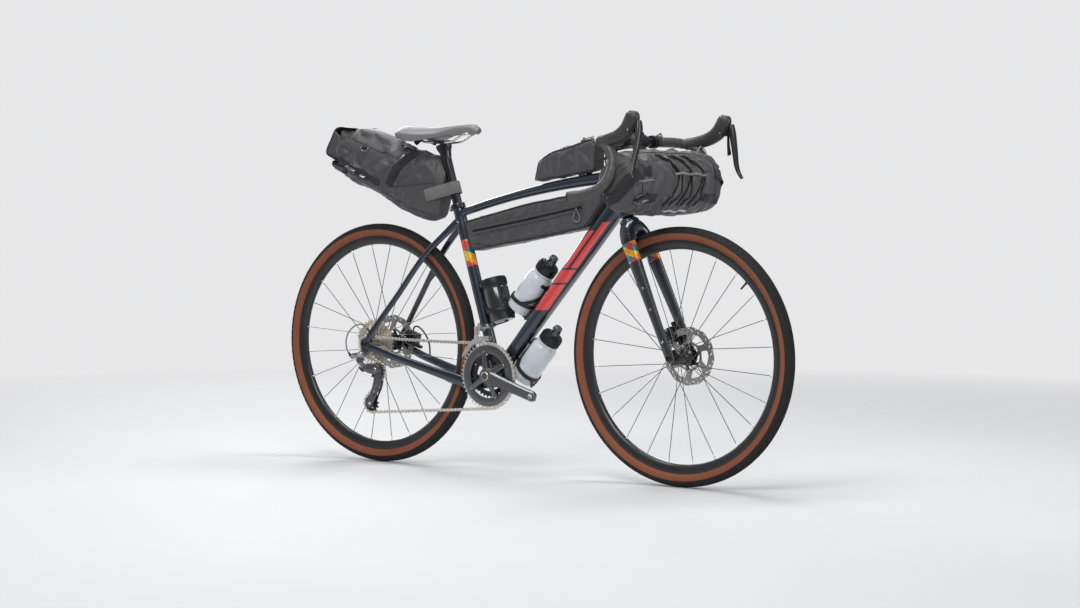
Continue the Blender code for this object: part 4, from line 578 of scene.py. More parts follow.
def smooth_sizes(sizes, steps):
    columns = [smooth_route([float(v) for v in column], steps) for column in zip(*sizes)]
    return [tuple(max(0.0003, v) for v in row) for row in zip(*columns)]


def smooth_sweep(points, sizes, steps=6, sides=24, across=Y, power=2.0):
    return sweep(smooth_route(points, steps), smooth_sizes(sizes, steps), sides, across, power)


def even_route(points, spacing):
    fine = smooth_route(points, 16)
    reach = [0.0]
    for a, b in zip(fine, fine[1:]):
        reach.append(reach[-1] + (b - a).length)
    count = max(2, round(reach[-1] / spacing))
    route, k = [], 0
    for i in range(count + 1):
        target = reach[-1] * i / count
        while k < len(fine) - 2 and reach[k + 1] < target:
            k += 1
        share = (target - reach[k]) / max(1e-9, reach[k + 1] - reach[k])
        route.append(fine[k].lerp(fine[k + 1], share))
    return route


def blend_sizes(sizes, count):
    spread = []
    for i in range(count):
        place = i / (count - 1) * (len(sizes) - 1)
        low = min(int(place), len(sizes) - 2)
        t = place - low
        spread.append(tuple(p + (q - p) * t for p, q in zip(sizes[low], sizes[low + 1])))
    return spread


def turned(profile, centre=Vector(), axis=Y, sides=40):
    """A closed (radius, along) profile turned round an axis. A radius of 0 ends it on the axis."""
    u = axis.orthogonal().normalized()
    v = axis.cross(u)
    bm = bmesh.new()
    rings = []
    for radius, along in profile:
        if radius == 0:
            rings.append([bm.verts.new(centre + axis * along)])
            continue
        turns = [2 * math.pi * i / sides for i in range(sides)]
        outward = [u * math.cos(a) + v * math.sin(a) for a in turns]
        rings.append([bm.verts.new(centre + axis * along + out * radius) for out in outward])
    solid = len(rings[0]) == 1
    for first, second in list(zip(rings, rings[1:])) + ([] if solid else [(rings[-1], rings[0])]):
        for i in range(sides):
            j = (i + 1) % sides
            corners = [first[i % len(first)], first[j % len(first)], second[j % len(second)],
                       second[i % len(second)]]
            unique = list(dict.fromkeys(corners))
            if len(unique) > 2:
                bm.faces.new(unique)
    return facing_out(bm)


def plate(outline, holes, thickness, centre=Vector(), normal=Y, right=X):
    up = Z if normal == Y else normal.cross(right)
    paths = [[Vector((a, b, 0)) for a, b in path] for path in [outline] + holes]
    flat = [point for path in paths for point in path]
    bm = bmesh.new()
    layers = [[bm.verts.new(centre + right * p.x + up * p.y + normal * offset) for p in flat]
              for offset in (-thickness / 2, thickness / 2)]
    for triangle in tessellate_polygon(paths):
        for layer in layers:
            bm.faces.new([layer[i] for i in triangle])
    start = 0
    for path in paths:
        stop = start + len(path)
        bridge(bm, layers[0][start:stop], layers[1][start:stop])
        start = stop
    bmesh.ops.recalc_face_normals(bm, faces=bm.faces)
    bmesh.ops.dissolve_limit(bm, angle_limit=0.005, verts=bm.verts, edges=bm.edges)
    return facing_out(bm)


def block(size, centre, right=X, normal=Y, bevel=0.0, segments=2):
    up = right.cross(normal)
    bm = bmesh.new()
    bmesh.ops.create_cube(bm, size=1)
    bmesh.ops.scale(bm, vec=size, verts=bm.verts)
    if bevel:
        bmesh.ops.bevel(bm, geom=bm.edges[:], offset=bevel, segments=segments, profile=0.5,
                        affect="EDGES")
    for vert in bm.verts:
        a, b, c = vert.co
        vert.co = centre + right * a + normal * b + up * c
    return facing_out(bm)


def rod(start, end, radius, sides=20, chamfer=0.0):
    axis = (end - start).normalized()
    length = (end - start).length
    profile = [(0, 0), (radius - chamfer, 0), (radius, chamfer), (radius, length - chamfer),
               (radius - chamfer, length), (0, length)]
    if not chamfer:
        profile = [(0, 0), (radius, 0), (radius, length), (0, length)]
    return turned(profile, start, axis, sides)


def circle_points(radius, count, start=0.0, centre=(0, 0)):
    return [(centre[0] + radius * math.cos(start + 2 * math.pi * i / count),
             centre[1] + radius * math.sin(start + 2 * math.pi * i / count)) for i in range(count)]


def rounded(corners, radius, steps=6):
    """The closed outline with its corners rounded, as (a, b) pairs."""
    outline = []
    for k, corner in enumerate(corners):
        here = Vector(corner)
        before, after = Vector(corners[k - 1]), Vector(corners[(k + 1) % len(corners)])
        start = here + (before - here).normalized() * radius
        end = here + (after - here).normalized() * radius
        for i in range(steps + 1):
            t = i / steps
            outline.append(start * (1 - t) ** 2 + here * 2 * t * (1 - t) + end * t * t)
    return outline


def merged(*shapes):
    whole = bmesh.new()
    for shape in shapes:
        mesh = bpy.data.meshes.new("part")
        shape.to_mesh(mesh)
        shape.free()
        whole.from_mesh(mesh)
        bpy.data.meshes.remove(mesh)
    return whole


def evaluated(bm, *modifiers):
    """The shape after these modifiers, each a (kind, settings) pair."""
    mesh = bpy.data.meshes.new("tool")
    bm.to_mesh(mesh)
    bm.free()
    tool = bpy.data.objects.new("tool", mesh)
    bpy.context.scene.collection.objects.link(tool)
    for kind, settings in modifiers:
        modifier = tool.modifiers.new(kind, kind)
        for key, value in settings.items():
            setattr(modifier, key, value)
    graph = bpy.context.evaluated_depsgraph_get()
    result = bpy.data.meshes.new_from_object(tool.evaluated_get(graph))
    bpy.data.objects.remove(tool, do_unlink=True)
    out = bmesh.new()
    out.from_mesh(result)
    bpy.data.meshes.remove(result)
    return out


def cutter(bm):
    mesh = bpy.data.meshes.new("cutter")
    bmesh.ops.triangulate(bm, faces=bm.faces)
    bm.to_mesh(mesh)
    bm.free()
    tool = bpy.data.objects.new("cutter", mesh)
    bpy.context.scene.collection.objects.link(tool)
    return tool


def cut(base, *others, operation="DIFFERENCE"):
    tools = [cutter(other) for other in others]
    made = evaluated(base, *[("BOOLEAN", {"operation": operation, "solver": "EXACT",
                                          "object": tool}) for tool in tools])
    for tool in tools:
        bpy.data.objects.remove(tool, do_unlink=True)
    bmesh.ops.remove_doubles(made, verts=made.verts, dist=1e-6)
    return made


FINE_VOXEL = 0.0009


def fused(voxel, passes, *shapes):
    """The shapes run into one skin, with the corners between them filled."""
    made = evaluated(merged(*shapes), ("REMESH", {"mode": "VOXEL", "voxel_size": voxel}))
    for _ in range(passes):
        bmesh.ops.smooth_vert(made, verts=made.verts, factor=0.5, use_axis_x=True, use_axis_y=True,
                              use_axis_z=True)
    return made


def add(name, shape, materials, body, replaces=(), smooth=38, bevel=0.0, subdivide=0):
    """A piece on its body, from a shape or a list of them, in its faces' material or materials."""
    bm = merged(*shape) if isinstance(shape, list) else shape
    names = [materials] if isinstance(materials, str) else materials
    mesh = bpy.data.meshes.new(name)
    bm.to_mesh(mesh)
    bm.free()
    for material in names:
        mesh.materials.append(MATERIALS[material])
    mesh.shade_smooth()
    if smooth < 180:
        mesh.set_sharp_from_angle(angle=math.radians(smooth))
    obj = bpy.data.objects.new(name, mesh)
    bpy.context.scene.collection.objects.link(obj)
    if bevel:
        modifier = obj.modifiers.new("edges", "BEVEL")
        modifier.width, modifier.segments = bevel, 2
        modifier.limit_method, modifier.angle_limit = "ANGLE", math.radians(32)
        modifier.harden_normals = True
    if subdivide:
        modifier = obj.modifiers.new("subdivide", "SUBSURF")
        modifier.levels = modifier.render_levels = subdivide
    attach(obj, body)
    if replaces:
        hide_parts(*replaces)
    return obj


def bolt(at, axis, radius, height=0.0025, socket=True):
    """A cap screw with a hexagon socket, its head standing on at."""
    profile = [(0, -0.0015), (radius, -0.0015), (radius, height - 0.0005),
               (radius - 0.0005, height)]
    if socket:
        profile += [(radius * 0.55, height), (radius * 0.5, height * 0.35), (0, height * 0.35)]
    else:
        profile += [(0, height)]
    return turned(profile, at, axis, 18)


# Frame and fork


def head_shape():
    profile = [(0, HEAD_BOTTOM), (0.0275, HEAD_BOTTOM), (0.0275, HEAD_BOTTOM + 0.012),
               (0.0255, HEAD_BOTTOM + 0.035), (0.024, HEAD_BOTTOM + 0.06), (0.023, HEAD_TOP - 0.03),
               (0.024, HEAD_TOP), (0, HEAD_TOP)]
    return turned(profile, STEER_FOOT, STEER_UP, 48)


def top_tube_shape():
    rear, front = seat_point(TOP_TUBE_REAR), steer_point(TOP_TUBE_FRONT)
    count = 30
    points = [rear.lerp(front, i / (count - 1))
              + Z * 0.058 * i / (count - 1) * (1 - i / (count - 1)) for i in range(count)]
    halves = blend_sizes([(0.0125, 0.0115), (0.015, 0.012), (0.0175, 0.015), (0.0185, 0.0175)],
                         count)
    return sweep(points, halves, 32, power=2.4)


def down_tube_shape():
    count = 30
    halves = blend_sizes([(0.025, 0.0205), (0.0245, 0.0215), (0.025, 0.024), (0.0255, 0.027),
                          (0.022, 0.0285)], count)
    points = [BB.lerp(DOWN_TOP, i / (count - 1)) for i in range(count)]
    return sweep(points, halves, 32, power=2.6)


def seat_tube_shape():
    top = (SEAT_TOP - BB.z) / SEAT_UP.z
    tube = [(0, 0.005), (SEAT_RADIUS, 0.005), (SEAT_RADIUS, top), (0, top)]
    shell = [(0, -0.034), (0.0215, -0.034), (0.0215, 0.034), (0, 0.034)]
    return turned(tube, BB, SEAT_UP, 40), turned(shell, BB, Y, 48)


def stay_shapes(side):
    y_out = side * (REAR_HALF + 0.0035)
    chain_route = [Vector((BB.x + 0.004, side * 0.024, 0.258)),
                   Vector((-0.16, side * 0.03, 0.2475)), Vector((-0.225, side * 0.0375, 0.262)),
                   Vector((-0.32, side * 0.0475, 0.287)), Vector((-0.42, side * 0.059, 0.314)),
                   Vector((-0.495, y_out, 0.338)), Vector((-0.524, y_out, 0.347))]
    chain_sizes = [(0.01, 0.0155), (0.008, 0.0175), (0.0077, 0.0155), (0.0082, 0.013),
                   (0.0077, 0.012), (0.0038, 0.0128), (0.0038, 0.012)]
    seat_route = [seat_point(0.712, -0.004) + Y * side * 0.013,
                  Vector((-0.33, side * 0.038, 0.612)), Vector((-0.42, side * 0.056, 0.492)),
                  Vector((-0.496, y_out, 0.392)), Vector((-0.524, y_out, 0.353))]
    seat_sizes = [(0.0088, 0.0118), (0.008, 0.0094), (0.0075, 0.009), (0.004, 0.0102),
                  (0.0038, 0.012)]
    shapes = [smooth_sweep(chain_route, chain_sizes, 8, 24, power=2.5),
              smooth_sweep(seat_route, seat_sizes, 10, 24, power=2.2),
              rod(REAR_AXLE + Y * (y_out - 0.0034), REAR_AXLE + Y * (y_out + 0.0034), 0.0165, 40)]
    if side < 0:
        hanger = [(-0.012, -0.01), (0.008, -0.012), (0.006, -0.034), (0.0, -0.0405),
                  (-0.008, -0.0405), (-0.0135, -0.033)]
        shapes.append(plate(hanger, [], 0.0068, REAR_AXLE + Y * y_out))
    return shapes


frame_skin = fused(0.0019, 7, head_shape(), top_tube_shape(), down_tube_shape(), *seat_tube_shape(),
                   *stay_shapes(-1), *stay_shapes(1))
add("frame_skin", frame_skin, "frame_paint", "frame", smooth=180,
    replaces=("head_tube", "top_tube", "down_tube", "seat_tube", "right_stays", "left_stays"))


def fork_shapes():
    y_out = FRONT_HALF + 0.0065
    stations = [(-0.015, y_out), (0.006, y_out), (0.1, 0.055), (0.315, 0.046), (0.352, 0.04),
                (0.378, 0.024)]
    sizes = [(0.01, 0.0058), (0.014, 0.0065), (0.0142, 0.0083), (0.021, 0.0127), (0.0225, 0.0162),
             (0.0225, 0.0187)]
    right = [FRONT_AXLE + LEG_UP * d - Y * y for d, y in stations]
    left = [FRONT_AXLE + LEG_UP * d + Y * y for d, y in reversed(stations)]
    crown = [FRONT_AXLE + LEG_UP * 0.3865]
    arch = smooth_sweep(right + crown + left, sizes + [(0.023, 0.019)] + sizes[::-1], 7, 28,
                        across=LEG_AHEAD, power=2.3)
    race = turned([(0, 0), (0.0265, 0), (0.0265, 0.0135), (0.015, 0.021), (0.0143, 0.04),
                   (0, 0.04)], steer_point(CROWN_RACE - 0.014), STEER_UP, 40)
    return arch, race


add("fork_skin", fused(0.0016, 6, *fork_shapes()), "fork_paint", "steering", smooth=180,
    replaces=("fork",))
fork_mounts = []
for side in (-1, 1):
    for along in (0.046, 0.142, 0.203):
        share = (along - 0.1) / 0.215
        out_y = 0.055 - 0.009 * share + 0.0083 + 0.0044 * share - 0.0006
        fork_mounts.append(bolt(FRONT_AXLE + LEG_UP * along + Y * side * out_y, Y * side, 0.0034,
                                0.0014))
seat_mounts = [bolt(seat_point(height) - SEAT_AHEAD * SEAT_RADIUS, -SEAT_AHEAD, 0.0036, 0.0015)
               for height in (0.5, 0.64)]
add("fork_mount_bolts", fork_mounts, "silver", "steering")
add("seat_tube_bolts", seat_mounts, "silver", "frame")

top_reach = (SEAT_TOP - BB.z) / SEAT_UP.z
collar = turned([(0.015, top_reach - 0.016), (0.0202, top_reach - 0.016),
                 (0.0206, top_reach - 0.013), (0.0206, top_reach - 0.004),
                 (0.02, top_reach - 0.001), (0.0142, top_reach - 0.0005)], BB, SEAT_UP, 48)
lug = block((0.015, 0.015, 0.0125), seat_point(COLLAR_AT, -0.0222), right=SEAT_AHEAD,
            normal=Y, bevel=0.003, segments=3)
slit = block((0.02, 0.0016, 0.02), seat_point(COLLAR_AT, -0.024), right=SEAT_AHEAD, normal=Y)
add("seat_collar", cut(fused(0.0007, 3, collar, lug), slit), "black_alloy", "frame", smooth=50)
collar_bolt = bolt(seat_point(COLLAR_AT, -0.024) - Y * 0.0072, -Y, 0.0036, 0.003)
add("seat_collar_bolt", [collar_bolt], "silver", "frame")
for side, label in SIDES:
    cup = turned([(0.0124, side * 0.033), (0.0213, side * 0.033), (0.0213, side * 0.0345),
                  (0.0205, side * 0.0352), (0.0205, side * 0.0415), (0.0198, side * 0.0425),
                  (0.0124, side * 0.0425)], BB, Y, 48)
    add(label + "_cup", cup, "black_alloy", "frame")
port = sweep([steer_point(0.47) - STEER_AHEAD * 0.01 - Y * 0.02,
              steer_point(0.47) - STEER_AHEAD * 0.026 - Y * 0.0235],
             [(0.011, 0.0045), (0.008, 0.003)], 20, across=STEER_UP)
add("cable_port", port, "rubber", "frame")

# Wheels


def ring(profile, centre, segments, slots=None):
    """A closed (radius, y) profile round the wheel's axis; slots gives each side's material."""
    bm = bmesh.new()
    rings = []
    for i in range(segments):
        angle = 2 * math.pi * (i / segments - 0.25)
        out = plane_way(angle)
        rings.append([bm.verts.new(centre + out * r + Y * y) for r, y in profile])
    for first, second in zip(rings, rings[1:] + rings[:1]):
        for j, face in enumerate(bridge(bm, first, second)):
            face.material_index = slots[j] if slots else 0
    return facing_out(bm)


def casing_radius(angle):
    """The tyre's section about the middle of its air space: a little flatter under the tread."""
    tread = max(0.0, math.sin(angle) - 0.15) / 0.85
    return CASING_RADIUS - 0.0012 * min(1.0, tread * 2.5)


def make_tyre(label, centre):
    body = label + "_wheel"
    profile, slots = [], []
    steps = 40
    for i in range(steps + 1):
        angle = math.radians(-76 + (180 + 152) * i / steps)
        r = casing_radius(angle)
        profile.append((TYRE_CENTRE + r * math.sin(angle), r * math.cos(angle)))
        slots.append(0 if math.sin(angle) > 0.19 and i < steps else 1)
    profile += [(0.3112, -0.006), (0.3112, 0.006)]
    slots += [1, 1]
    add(label + "_tyre_casing", ring(profile, centre, 192, slots), ["tread", "sidewall"], body,
        replaces=(label + "_tyre",), smooth=60)
    bm = bmesh.new()
    pitches = 224
    rows = [(90, 0.0042, 0.006, 0), (79, 0.0034, 0.005, 1), (68, 0.0034, 0.005, 0),
            (56, 0.0036, 0.0048, 1), (43, 0.0036, 0.006, 0), (29, 0.0036, 0.0062, 1)]
    rows += [(180 - a, w, l, s) for a, w, l, s in rows[1:]]
    for tilt, width, length, stagger in rows:
        mid = math.radians(tilt)
        count = pitches // 2 if abs(tilt - 90) > 45 else pitches
        for k in range(count):
            turn = 2 * math.pi * (k + 0.5 * stagger) / count
            corners = []
            for high, shrink in ((0.0, 1.0), (1.0, 0.78)):
                reach = casing_radius(mid) - 0.0004 if not high else CASING_RADIUS
                for a, b in ((-1, -1), (1, -1), (1, 1), (-1, 1)):
                    half_w, half_l = width / 2 * shrink, length / 2 * shrink
                    lat = mid + a * half_w / CASING_RADIUS
                    lon = turn + (b * half_l + a * 0.0007) / TREAD_RADIUS
                    out = plane_way(lon)
                    r = TYRE_CENTRE + reach * math.sin(lat)
                    corners.append(bm.verts.new(centre + out * r + Y * reach * math.cos(lat)))
            low, top = corners[:4], corners[4:]
            bridge(bm, low, top)
            bm.faces.new(top)
            bm.faces.new(low)
    bmesh.ops.recalc_face_normals(bm, faces=bm.faces)
    add(label + "_tread_blocks", bm, "tread", body, smooth=30)


def make_rim(label, centre):
    body = label + "_wheel"
    half = [(0.3152, 0.0119), (0.3146, 0.0124), (0.311, 0.0126), (0.306, 0.0123), (0.3005, 0.011),
            (0.2955, 0.0088), (0.2918, 0.0058), (0.2902, 0.0028)]
    profile = half + [(0.2898, 0)] + [(r, -y) for r, y in reversed(half)]
    profile += [(0.3146, -0.0106), (0.3105, -0.0104), (0.3105, 0.0104), (0.3146, 0.0106)]
    add(label + "_rim_shell", ring(profile, centre, 192), "rim_black", body,
        replaces=(label + "_rim",), smooth=45)
    angle = 2 * math.pi * 3 / SPOKES
    out = plane_way(angle)
    stem = turned([(0, -0.026), (0.002, -0.0258), (0.003, -0.023), (0.003, -0.004),
                   (0.0042, -0.0035), (0.0042, 0.001), (0, 0.001)], centre + out * 0.2905, out, 16)
    add(label + "_valve", stem, "black_alloy", body)


def make_spokes(label, centre, left_y, left_r, right_y, right_r):
    rods, nipples = [], []
    for i in range(SPOKES):
        left = i % 2 == 0
        flange_y, flange_r = (left_y, left_r) if left else (right_y, right_r)
        leading = (i // 2) % 2 == 0
        rim_angle = 2 * math.pi * (i + 0.5) / SPOKES
        hub_angle = rim_angle + math.radians(62) * (1 if leading else -1)
        start = centre + Y * (flange_y + 0.0022 * (1 if leading else -1))
        start += plane_way(hub_angle) * (flange_r - 0.0035)
        out = plane_way(rim_angle)
        end = centre + Y * (0.0022 if left else -0.0022) + out * (RIM_INNER + 0.001)
        rods.append(rod(start, end, 0.00105, 8))
        back = (start - end).normalized()
        nipples.append(turned([(0, 0), (0.0022, 0), (0.0022, 0.0035), (0.0017, 0.004),
                               (0.0017, 0.0105), (0.0012, 0.0115), (0, 0.0115)], end, back, 10))
        head = Y * (1 if leading else -1)
        nipples.append(rod(start - head * 0.0005, start + head * 0.0012, 0.0019, 8))
    add(label + "_spokes", rods, "spoke_steel", label + "_wheel")
    add(label + "_nipples", nipples, "silver", label + "_wheel")


def make_rotor(label, centre):
    """A slotted disc, made as six equal sectors with one window each, on a spider."""
    body = label + "_wheel"
    turn = 2 * math.pi / 6
    base = turn * 43 / 12
    border = [(0.0335, 0.66), (0.0415, 0.66), (0.05, 0.6), (0.0605, 0.5), (0.0635, 0.5),
              (0.066, 0.58), (0.07, 0.62)]
    window = ((0.0415, -0.26), (0.0605, -0.42), (0.0625, 0.02), (0.061, 0.3), (0.0415, 0.36))
    corners = [(radius * math.cos(base + angle), radius * math.sin(base + angle))
               for radius, angle in window]
    holes = [[(p.x, p.y) for p in rounded(corners, 0.0045, 5)]]
    slits = ((0.07, -0.327, 0.0048, 0.0016), (0.076, -0.147, 0.004, 0.0014),
             (0.0705, 0.12, 0.0052, 0.0016), (0.076, 0.26, 0.004, 0.0014),
             (0.07, 0.42, 0.0052, 0.0016), (0.0755, 0.55, 0.004, 0.0014))
    for radius, angle, long, wide in slits:
        tilt = base + angle + 0.9
        middle = radius * math.cos(base + angle), radius * math.sin(base + angle)
        hole = []
        for t in range(10):
            a, b = long * math.cos(math.pi * t / 5), wide * math.sin(math.pi * t / 5)
            hole.append((middle[0] + a * math.cos(tilt) - b * math.sin(tilt),
                         middle[1] + a * math.sin(tilt) + b * math.cos(tilt)))
        holes.append(hole)
    path = [(r, angle - turn) for r, angle in border]
    for t in range(37):
        angle = 0.64 - turn + turn * t / 36
        path.append((ROTOR_RADIUS - 0.0012 + 0.0012 * math.cos((base + angle) * 12), angle))
    path += border[::-1] + [(0.0335, 0.66 - turn * t / 12) for t in range(1, 12)]
    outline = [(r * math.cos(base + angle), r * math.sin(base + angle)) for r, angle in path]
    sectors = []
    for k in range(6):
        sector = plate(outline, holes, 0.0018, centre)
        bmesh.ops.rotate(sector, verts=sector.verts, cent=centre,
                         matrix=Matrix.Rotation(base - turn * k, 3, "Y"))
        sectors.append(sector)
    add(label + "_rotor_band", sectors, "rotor_steel", body, replaces=(label + "_rotor",),
        smooth=30)
    arms = [turned([(0.0168, -0.0016), (0.0262, -0.0016), (0.0262, 0.0016), (0.0168, 0.0016)],
                   centre, Y, 48)]
    rivets = []
    for k in range(6):
        angle = 2 * math.pi * k / 6 + 0.495
        points = []
        for t in range(7):
            share = t / 6
            r = 0.0235 + (0.0385 - 0.0235) * share
            b = angle - 0.34 * (1 - share) ** 1.4
            points.append(centre + Vector((r * math.cos(b), 0, r * math.sin(b))))
        sizes = blend_sizes([(0.0056, 0.0018), (0.0044, 0.0017), (0.0046, 0.0016)], 7)
        arms.append(sweep(points, [(h, w) for w, h in sizes], 12, across=Y, power=4))
        rivets.append(turned([(0, -0.0026), (0.0024, -0.0026), (0.0032, -0.0018), (0.0032, 0.0018),
                              (0.0024, 0.0026), (0, 0.0026)], points[-1], Y, 14))
    add(label + "_rotor_spider", arms, "black_alloy", body, smooth=50)
    add(label + "_rotor_rivets", rivets, "silver", body)
    notches = [block((0.0022, 0.004, 0.0018), centre + Y * 0.0028
                     + plane_way(2 * math.pi * k / 12) * 0.016) for k in range(12)]
    lock = turned([(0.011, 0.001), (0.02, 0.001), (0.02, 0.0022), (0.017, 0.0034),
                   (0.011, 0.0034)], centre, Y, 40)
    add(label + "_lockring", cut(lock, *notches), "black_alloy", body)


FRONT_HUB = [(0.0066, -0.0497), (0.0095, -0.0497), (0.01, -0.048), (0.01, -0.04), (0.015, -0.0385),
             (0.0208, -0.0366), (0.0215, -0.0358), (0.0215, -0.0322), (0.0208, -0.0312),
             (0.015, -0.027), (0.0122, -0.022), (0.0116, -0.005), (0.013, 0.01), (0.0175, 0.0165),
             (0.0228, 0.019), (0.0235, 0.0198), (0.0235, 0.024), (0.0228, 0.025), (0.016, 0.0285),
             (0.016, 0.0435), (0.0145, 0.045), (0.01, 0.0455), (0.0095, 0.0497), (0.0066, 0.0497)]
REAR_HUB = [(0.0066, -0.0228), (0.024, -0.0228), (0.028, -0.0214), (0.028, -0.017), (0.026, -0.015),
            (0.017, -0.008), (0.0148, -0.002), (0.0142, 0.01), (0.016, 0.02), (0.024, 0.03),
            (0.025, 0.0312), (0.025, 0.0356), (0.024, 0.0366), (0.016, 0.0405), (0.016, 0.0595),
            (0.01, 0.061), (0.0095, 0.0707), (0.0066, 0.0707)]


def make_wheel(label, centre, hub_profile, flanges, rotor_y):
    """A wheel. The flanges are the left one's y and radius, then the right one's."""
    make_tyre(label, centre)
    make_rim(label, centre)
    make_spokes(label, centre, *flanges)
    add(label + "_hub_shell", turned(hub_profile, centre, Y, 48), "black_alloy", label + "_wheel",
        replaces=(label + "_hub",), bevel=0.0006)
    make_rotor(label, centre + Y * rotor_y)


make_wheel("front", FRONT_AXLE, FRONT_HUB, (0.022, 0.0235, -0.034, 0.021), FRONT_ROTOR_Y)
make_wheel("rear", REAR_AXLE, REAR_HUB, (0.0335, 0.025, -0.019, 0.027), REAR_ROTOR_Y)
for label, centre, half, overhang, body in (
        ("front", FRONT_AXLE, FRONT_HALF, 0.0128, "steering"),
        ("rear", REAR_AXLE, REAR_HALF, 0.0072, "frame")):
    end = half + overhang
    profile = [(0, -end - 0.002), (0.0042, -end - 0.002), (0.0046, -end - 0.004),
               (0.0078, -end - 0.004), (0.0085, -end - 0.0032), (0.0085, -end), (0.0057, -end),
               (0.0057, end - 0.001), (0.005, end), (0, end)]
    add(label + "_through_axle", turned(profile, centre, Y, 32), "black_alloy", body,
        replaces=(label + "_axle",))

# Drivetrain


def pitch_radius(teeth):
    return CHAIN_PITCH * teeth / (2 * math.pi)


def tooth_outline(teeth, phase, tip):
    radius, step = pitch_radius(teeth), 2 * math.pi / teeth
    outline = []
    for i in range(teeth):
        valley = phase + step * i
        for share, lift in ((-0.27, -0.0022), (-0.12, -0.004), (0.12, -0.004), (0.27, -0.0022),
                            (0.43, tip), (0.57, tip)):
            angle = valley + step * share
            outline.append(((radius + lift) * math.cos(angle), (radius + lift) * math.sin(angle)))
    return outline


def turn_left(direction):
    return Vector((-direction.y, direction.x))


def chain_circles(cage_angle):
    guide = Vector((GUIDE.x, GUIDE.z))
    tension = guide + Vector((math.cos(cage_angle), math.sin(cage_angle))) * PULLEY_SPACING
    pulley = pitch_radius(PULLEY_TEETH)
    return [(Vector((BB.x, BB.z)), pitch_radius(OUTER_TEETH), -1, OUTER_RING_Y),
            (tension, pulley, -1, LAST_COG_Y), (guide, pulley, 1, LAST_COG_Y),
            (Vector((REAR_AXLE.x, REAR_AXLE.z)), pitch_radius(COG_TEETH[-1]), -1, LAST_COG_Y)]


def chain_runs(cage_angle):
    """The chain's arcs and straight runs in order, each as its kind, length and geometry."""
    circles = chain_circles(cage_angle)
    lines = []
    for a, b in zip(circles, circles[1:] + circles[:1]):
        span = b[0] - a[0]
        swing = math.asin((b[2] * b[1] - a[2] * a[1]) / span.length)
        angle = math.atan2(span.y, span.x) - swing
        direction = Vector((math.cos(angle), math.sin(angle)))
        lines.append((a[0] - turn_left(direction) * a[2] * a[1],
                      b[0] - turn_left(direction) * b[2] * b[1], a[3], b[3]))
    runs = []
    for i, (centre, radius, sense, y) in enumerate(circles):
        arrive, leave = lines[i - 1][1] - centre, lines[i][0] - centre
        first, last = math.atan2(arrive.y, arrive.x), math.atan2(leave.y, leave.x)
        runs.append(("arc", (last - first) * sense % (2 * math.pi) * radius, centre, radius, sense,
                     first, y))
        start, end, y0, y1 = lines[i]
        runs.append(("line", (end - start).length, start, end, y0, y1))
    return runs


def solve_cage_angle():
    """The cage angle at which the chain's path is a whole number of links long."""
    def length(angle):
        return sum(run[1] for run in chain_runs(angle))

    target = CHAIN_LINKS * CHAIN_PITCH
    low, high = math.radians(-150), math.radians(-60)
    rising = length(high) > length(low)
    for _ in range(60):
        middle = (low + high) / 2
        if (length(middle) < target) == rising:
            low = middle
        else:
            high = middle
    return (low + high) / 2


def chain_point(runs, distance):
    distance %= sum(run[1] for run in runs)
    for run in runs:
        if distance <= run[1]:
            break
        distance -= run[1]
    if run[0] == "arc":
        _, _, centre, radius, sense, first, y = run
        angle = first + sense * distance / radius
        flat = centre + Vector((math.cos(angle), math.sin(angle))) * radius
        return Vector((flat.x, y, flat.y))
    _, length, start, end, y0, y1 = run
    t = distance / length
    flat = start.lerp(end, t)
    sag = 4 * CHAIN_SAG * t * (1 - t) if run is runs[-1] else 0
    return Vector((flat.x, y0 + (y1 - y0) * t * t * (3 - 2 * t), flat.y - sag))


def roller_phase(runs, index):
    before = sum(run[1] for run in runs[: 2 * index])
    point = chain_point(runs, math.ceil(before / CHAIN_PITCH) * CHAIN_PITCH)
    centre = runs[2 * index][2]
    return math.atan2(point.z - centre.y, point.x - centre.x)


RUNS = chain_runs(solve_cage_angle())
TENSION = Vector((RUNS[2][2].x, LAST_COG_Y, RUNS[2][2].y))
DOWN = (TENSION - GUIDE).normalized()


def link_plate(bm, start, end, y, thick, half, waist):
    """A side plate with round ends and a drawn-in waist, from pin to pin."""
    along = (end - start).normalized()
    up = along.cross(Y)
    outline = []
    for centre, base in ((end, -90), (start, 90)):
        for turn in (0, 36, 72, 108, 144, 180):
            angle = math.radians(base + turn)
            outline.append(centre + (along * math.cos(angle) + up * math.sin(angle)) * half)
        middle = (start + end) / 2
        outline.append(middle + up * waist * (1 if base < 0 else -1))
    layers = [[bm.verts.new(p + Y * (y + s * thick / 2)) for p in outline] for s in (-1, 1)]
    bridge(bm, *layers)
    for layer in layers:
        bm.faces.new(layer)


def make_chain():
    outer, inner, pins = bmesh.new(), bmesh.new(), []
    points = [chain_point(RUNS, i * CHAIN_PITCH) for i in range(CHAIN_LINKS)]
    for i, start in enumerate(points):
        end = points[(i + 1) % CHAIN_LINKS]
        wide = i % 2 == 0
        for side in (-1, 1):
            off = side * (0.00245 if wide else 0.00155)
            link_plate(outer if wide else inner, start, end, off, 0.001, 0.0047 if wide else 0.0046,
                       0.0017)
        pins.append(turned([(0, -0.0032), (0.0016, -0.0031), (0.0016, 0.0031), (0, 0.0032)], start,
                           Y, 8))
        pins.append(turned([(0, -0.0011), (0.0036, -0.0011), (0.0036, 0.0011), (0, 0.0011)], start,
                           Y, 10))
    for plates in (outer, inner):
        bmesh.ops.recalc_face_normals(plates, faces=plates.faces)
    add("chain_outer_plates", outer, "warm_steel", "frame", replaces=("chain",), smooth=30)
    add("chain_inner_plates", inner, "silver", "frame", smooth=30)
    add("chain_pins", pins, "silver", "frame")


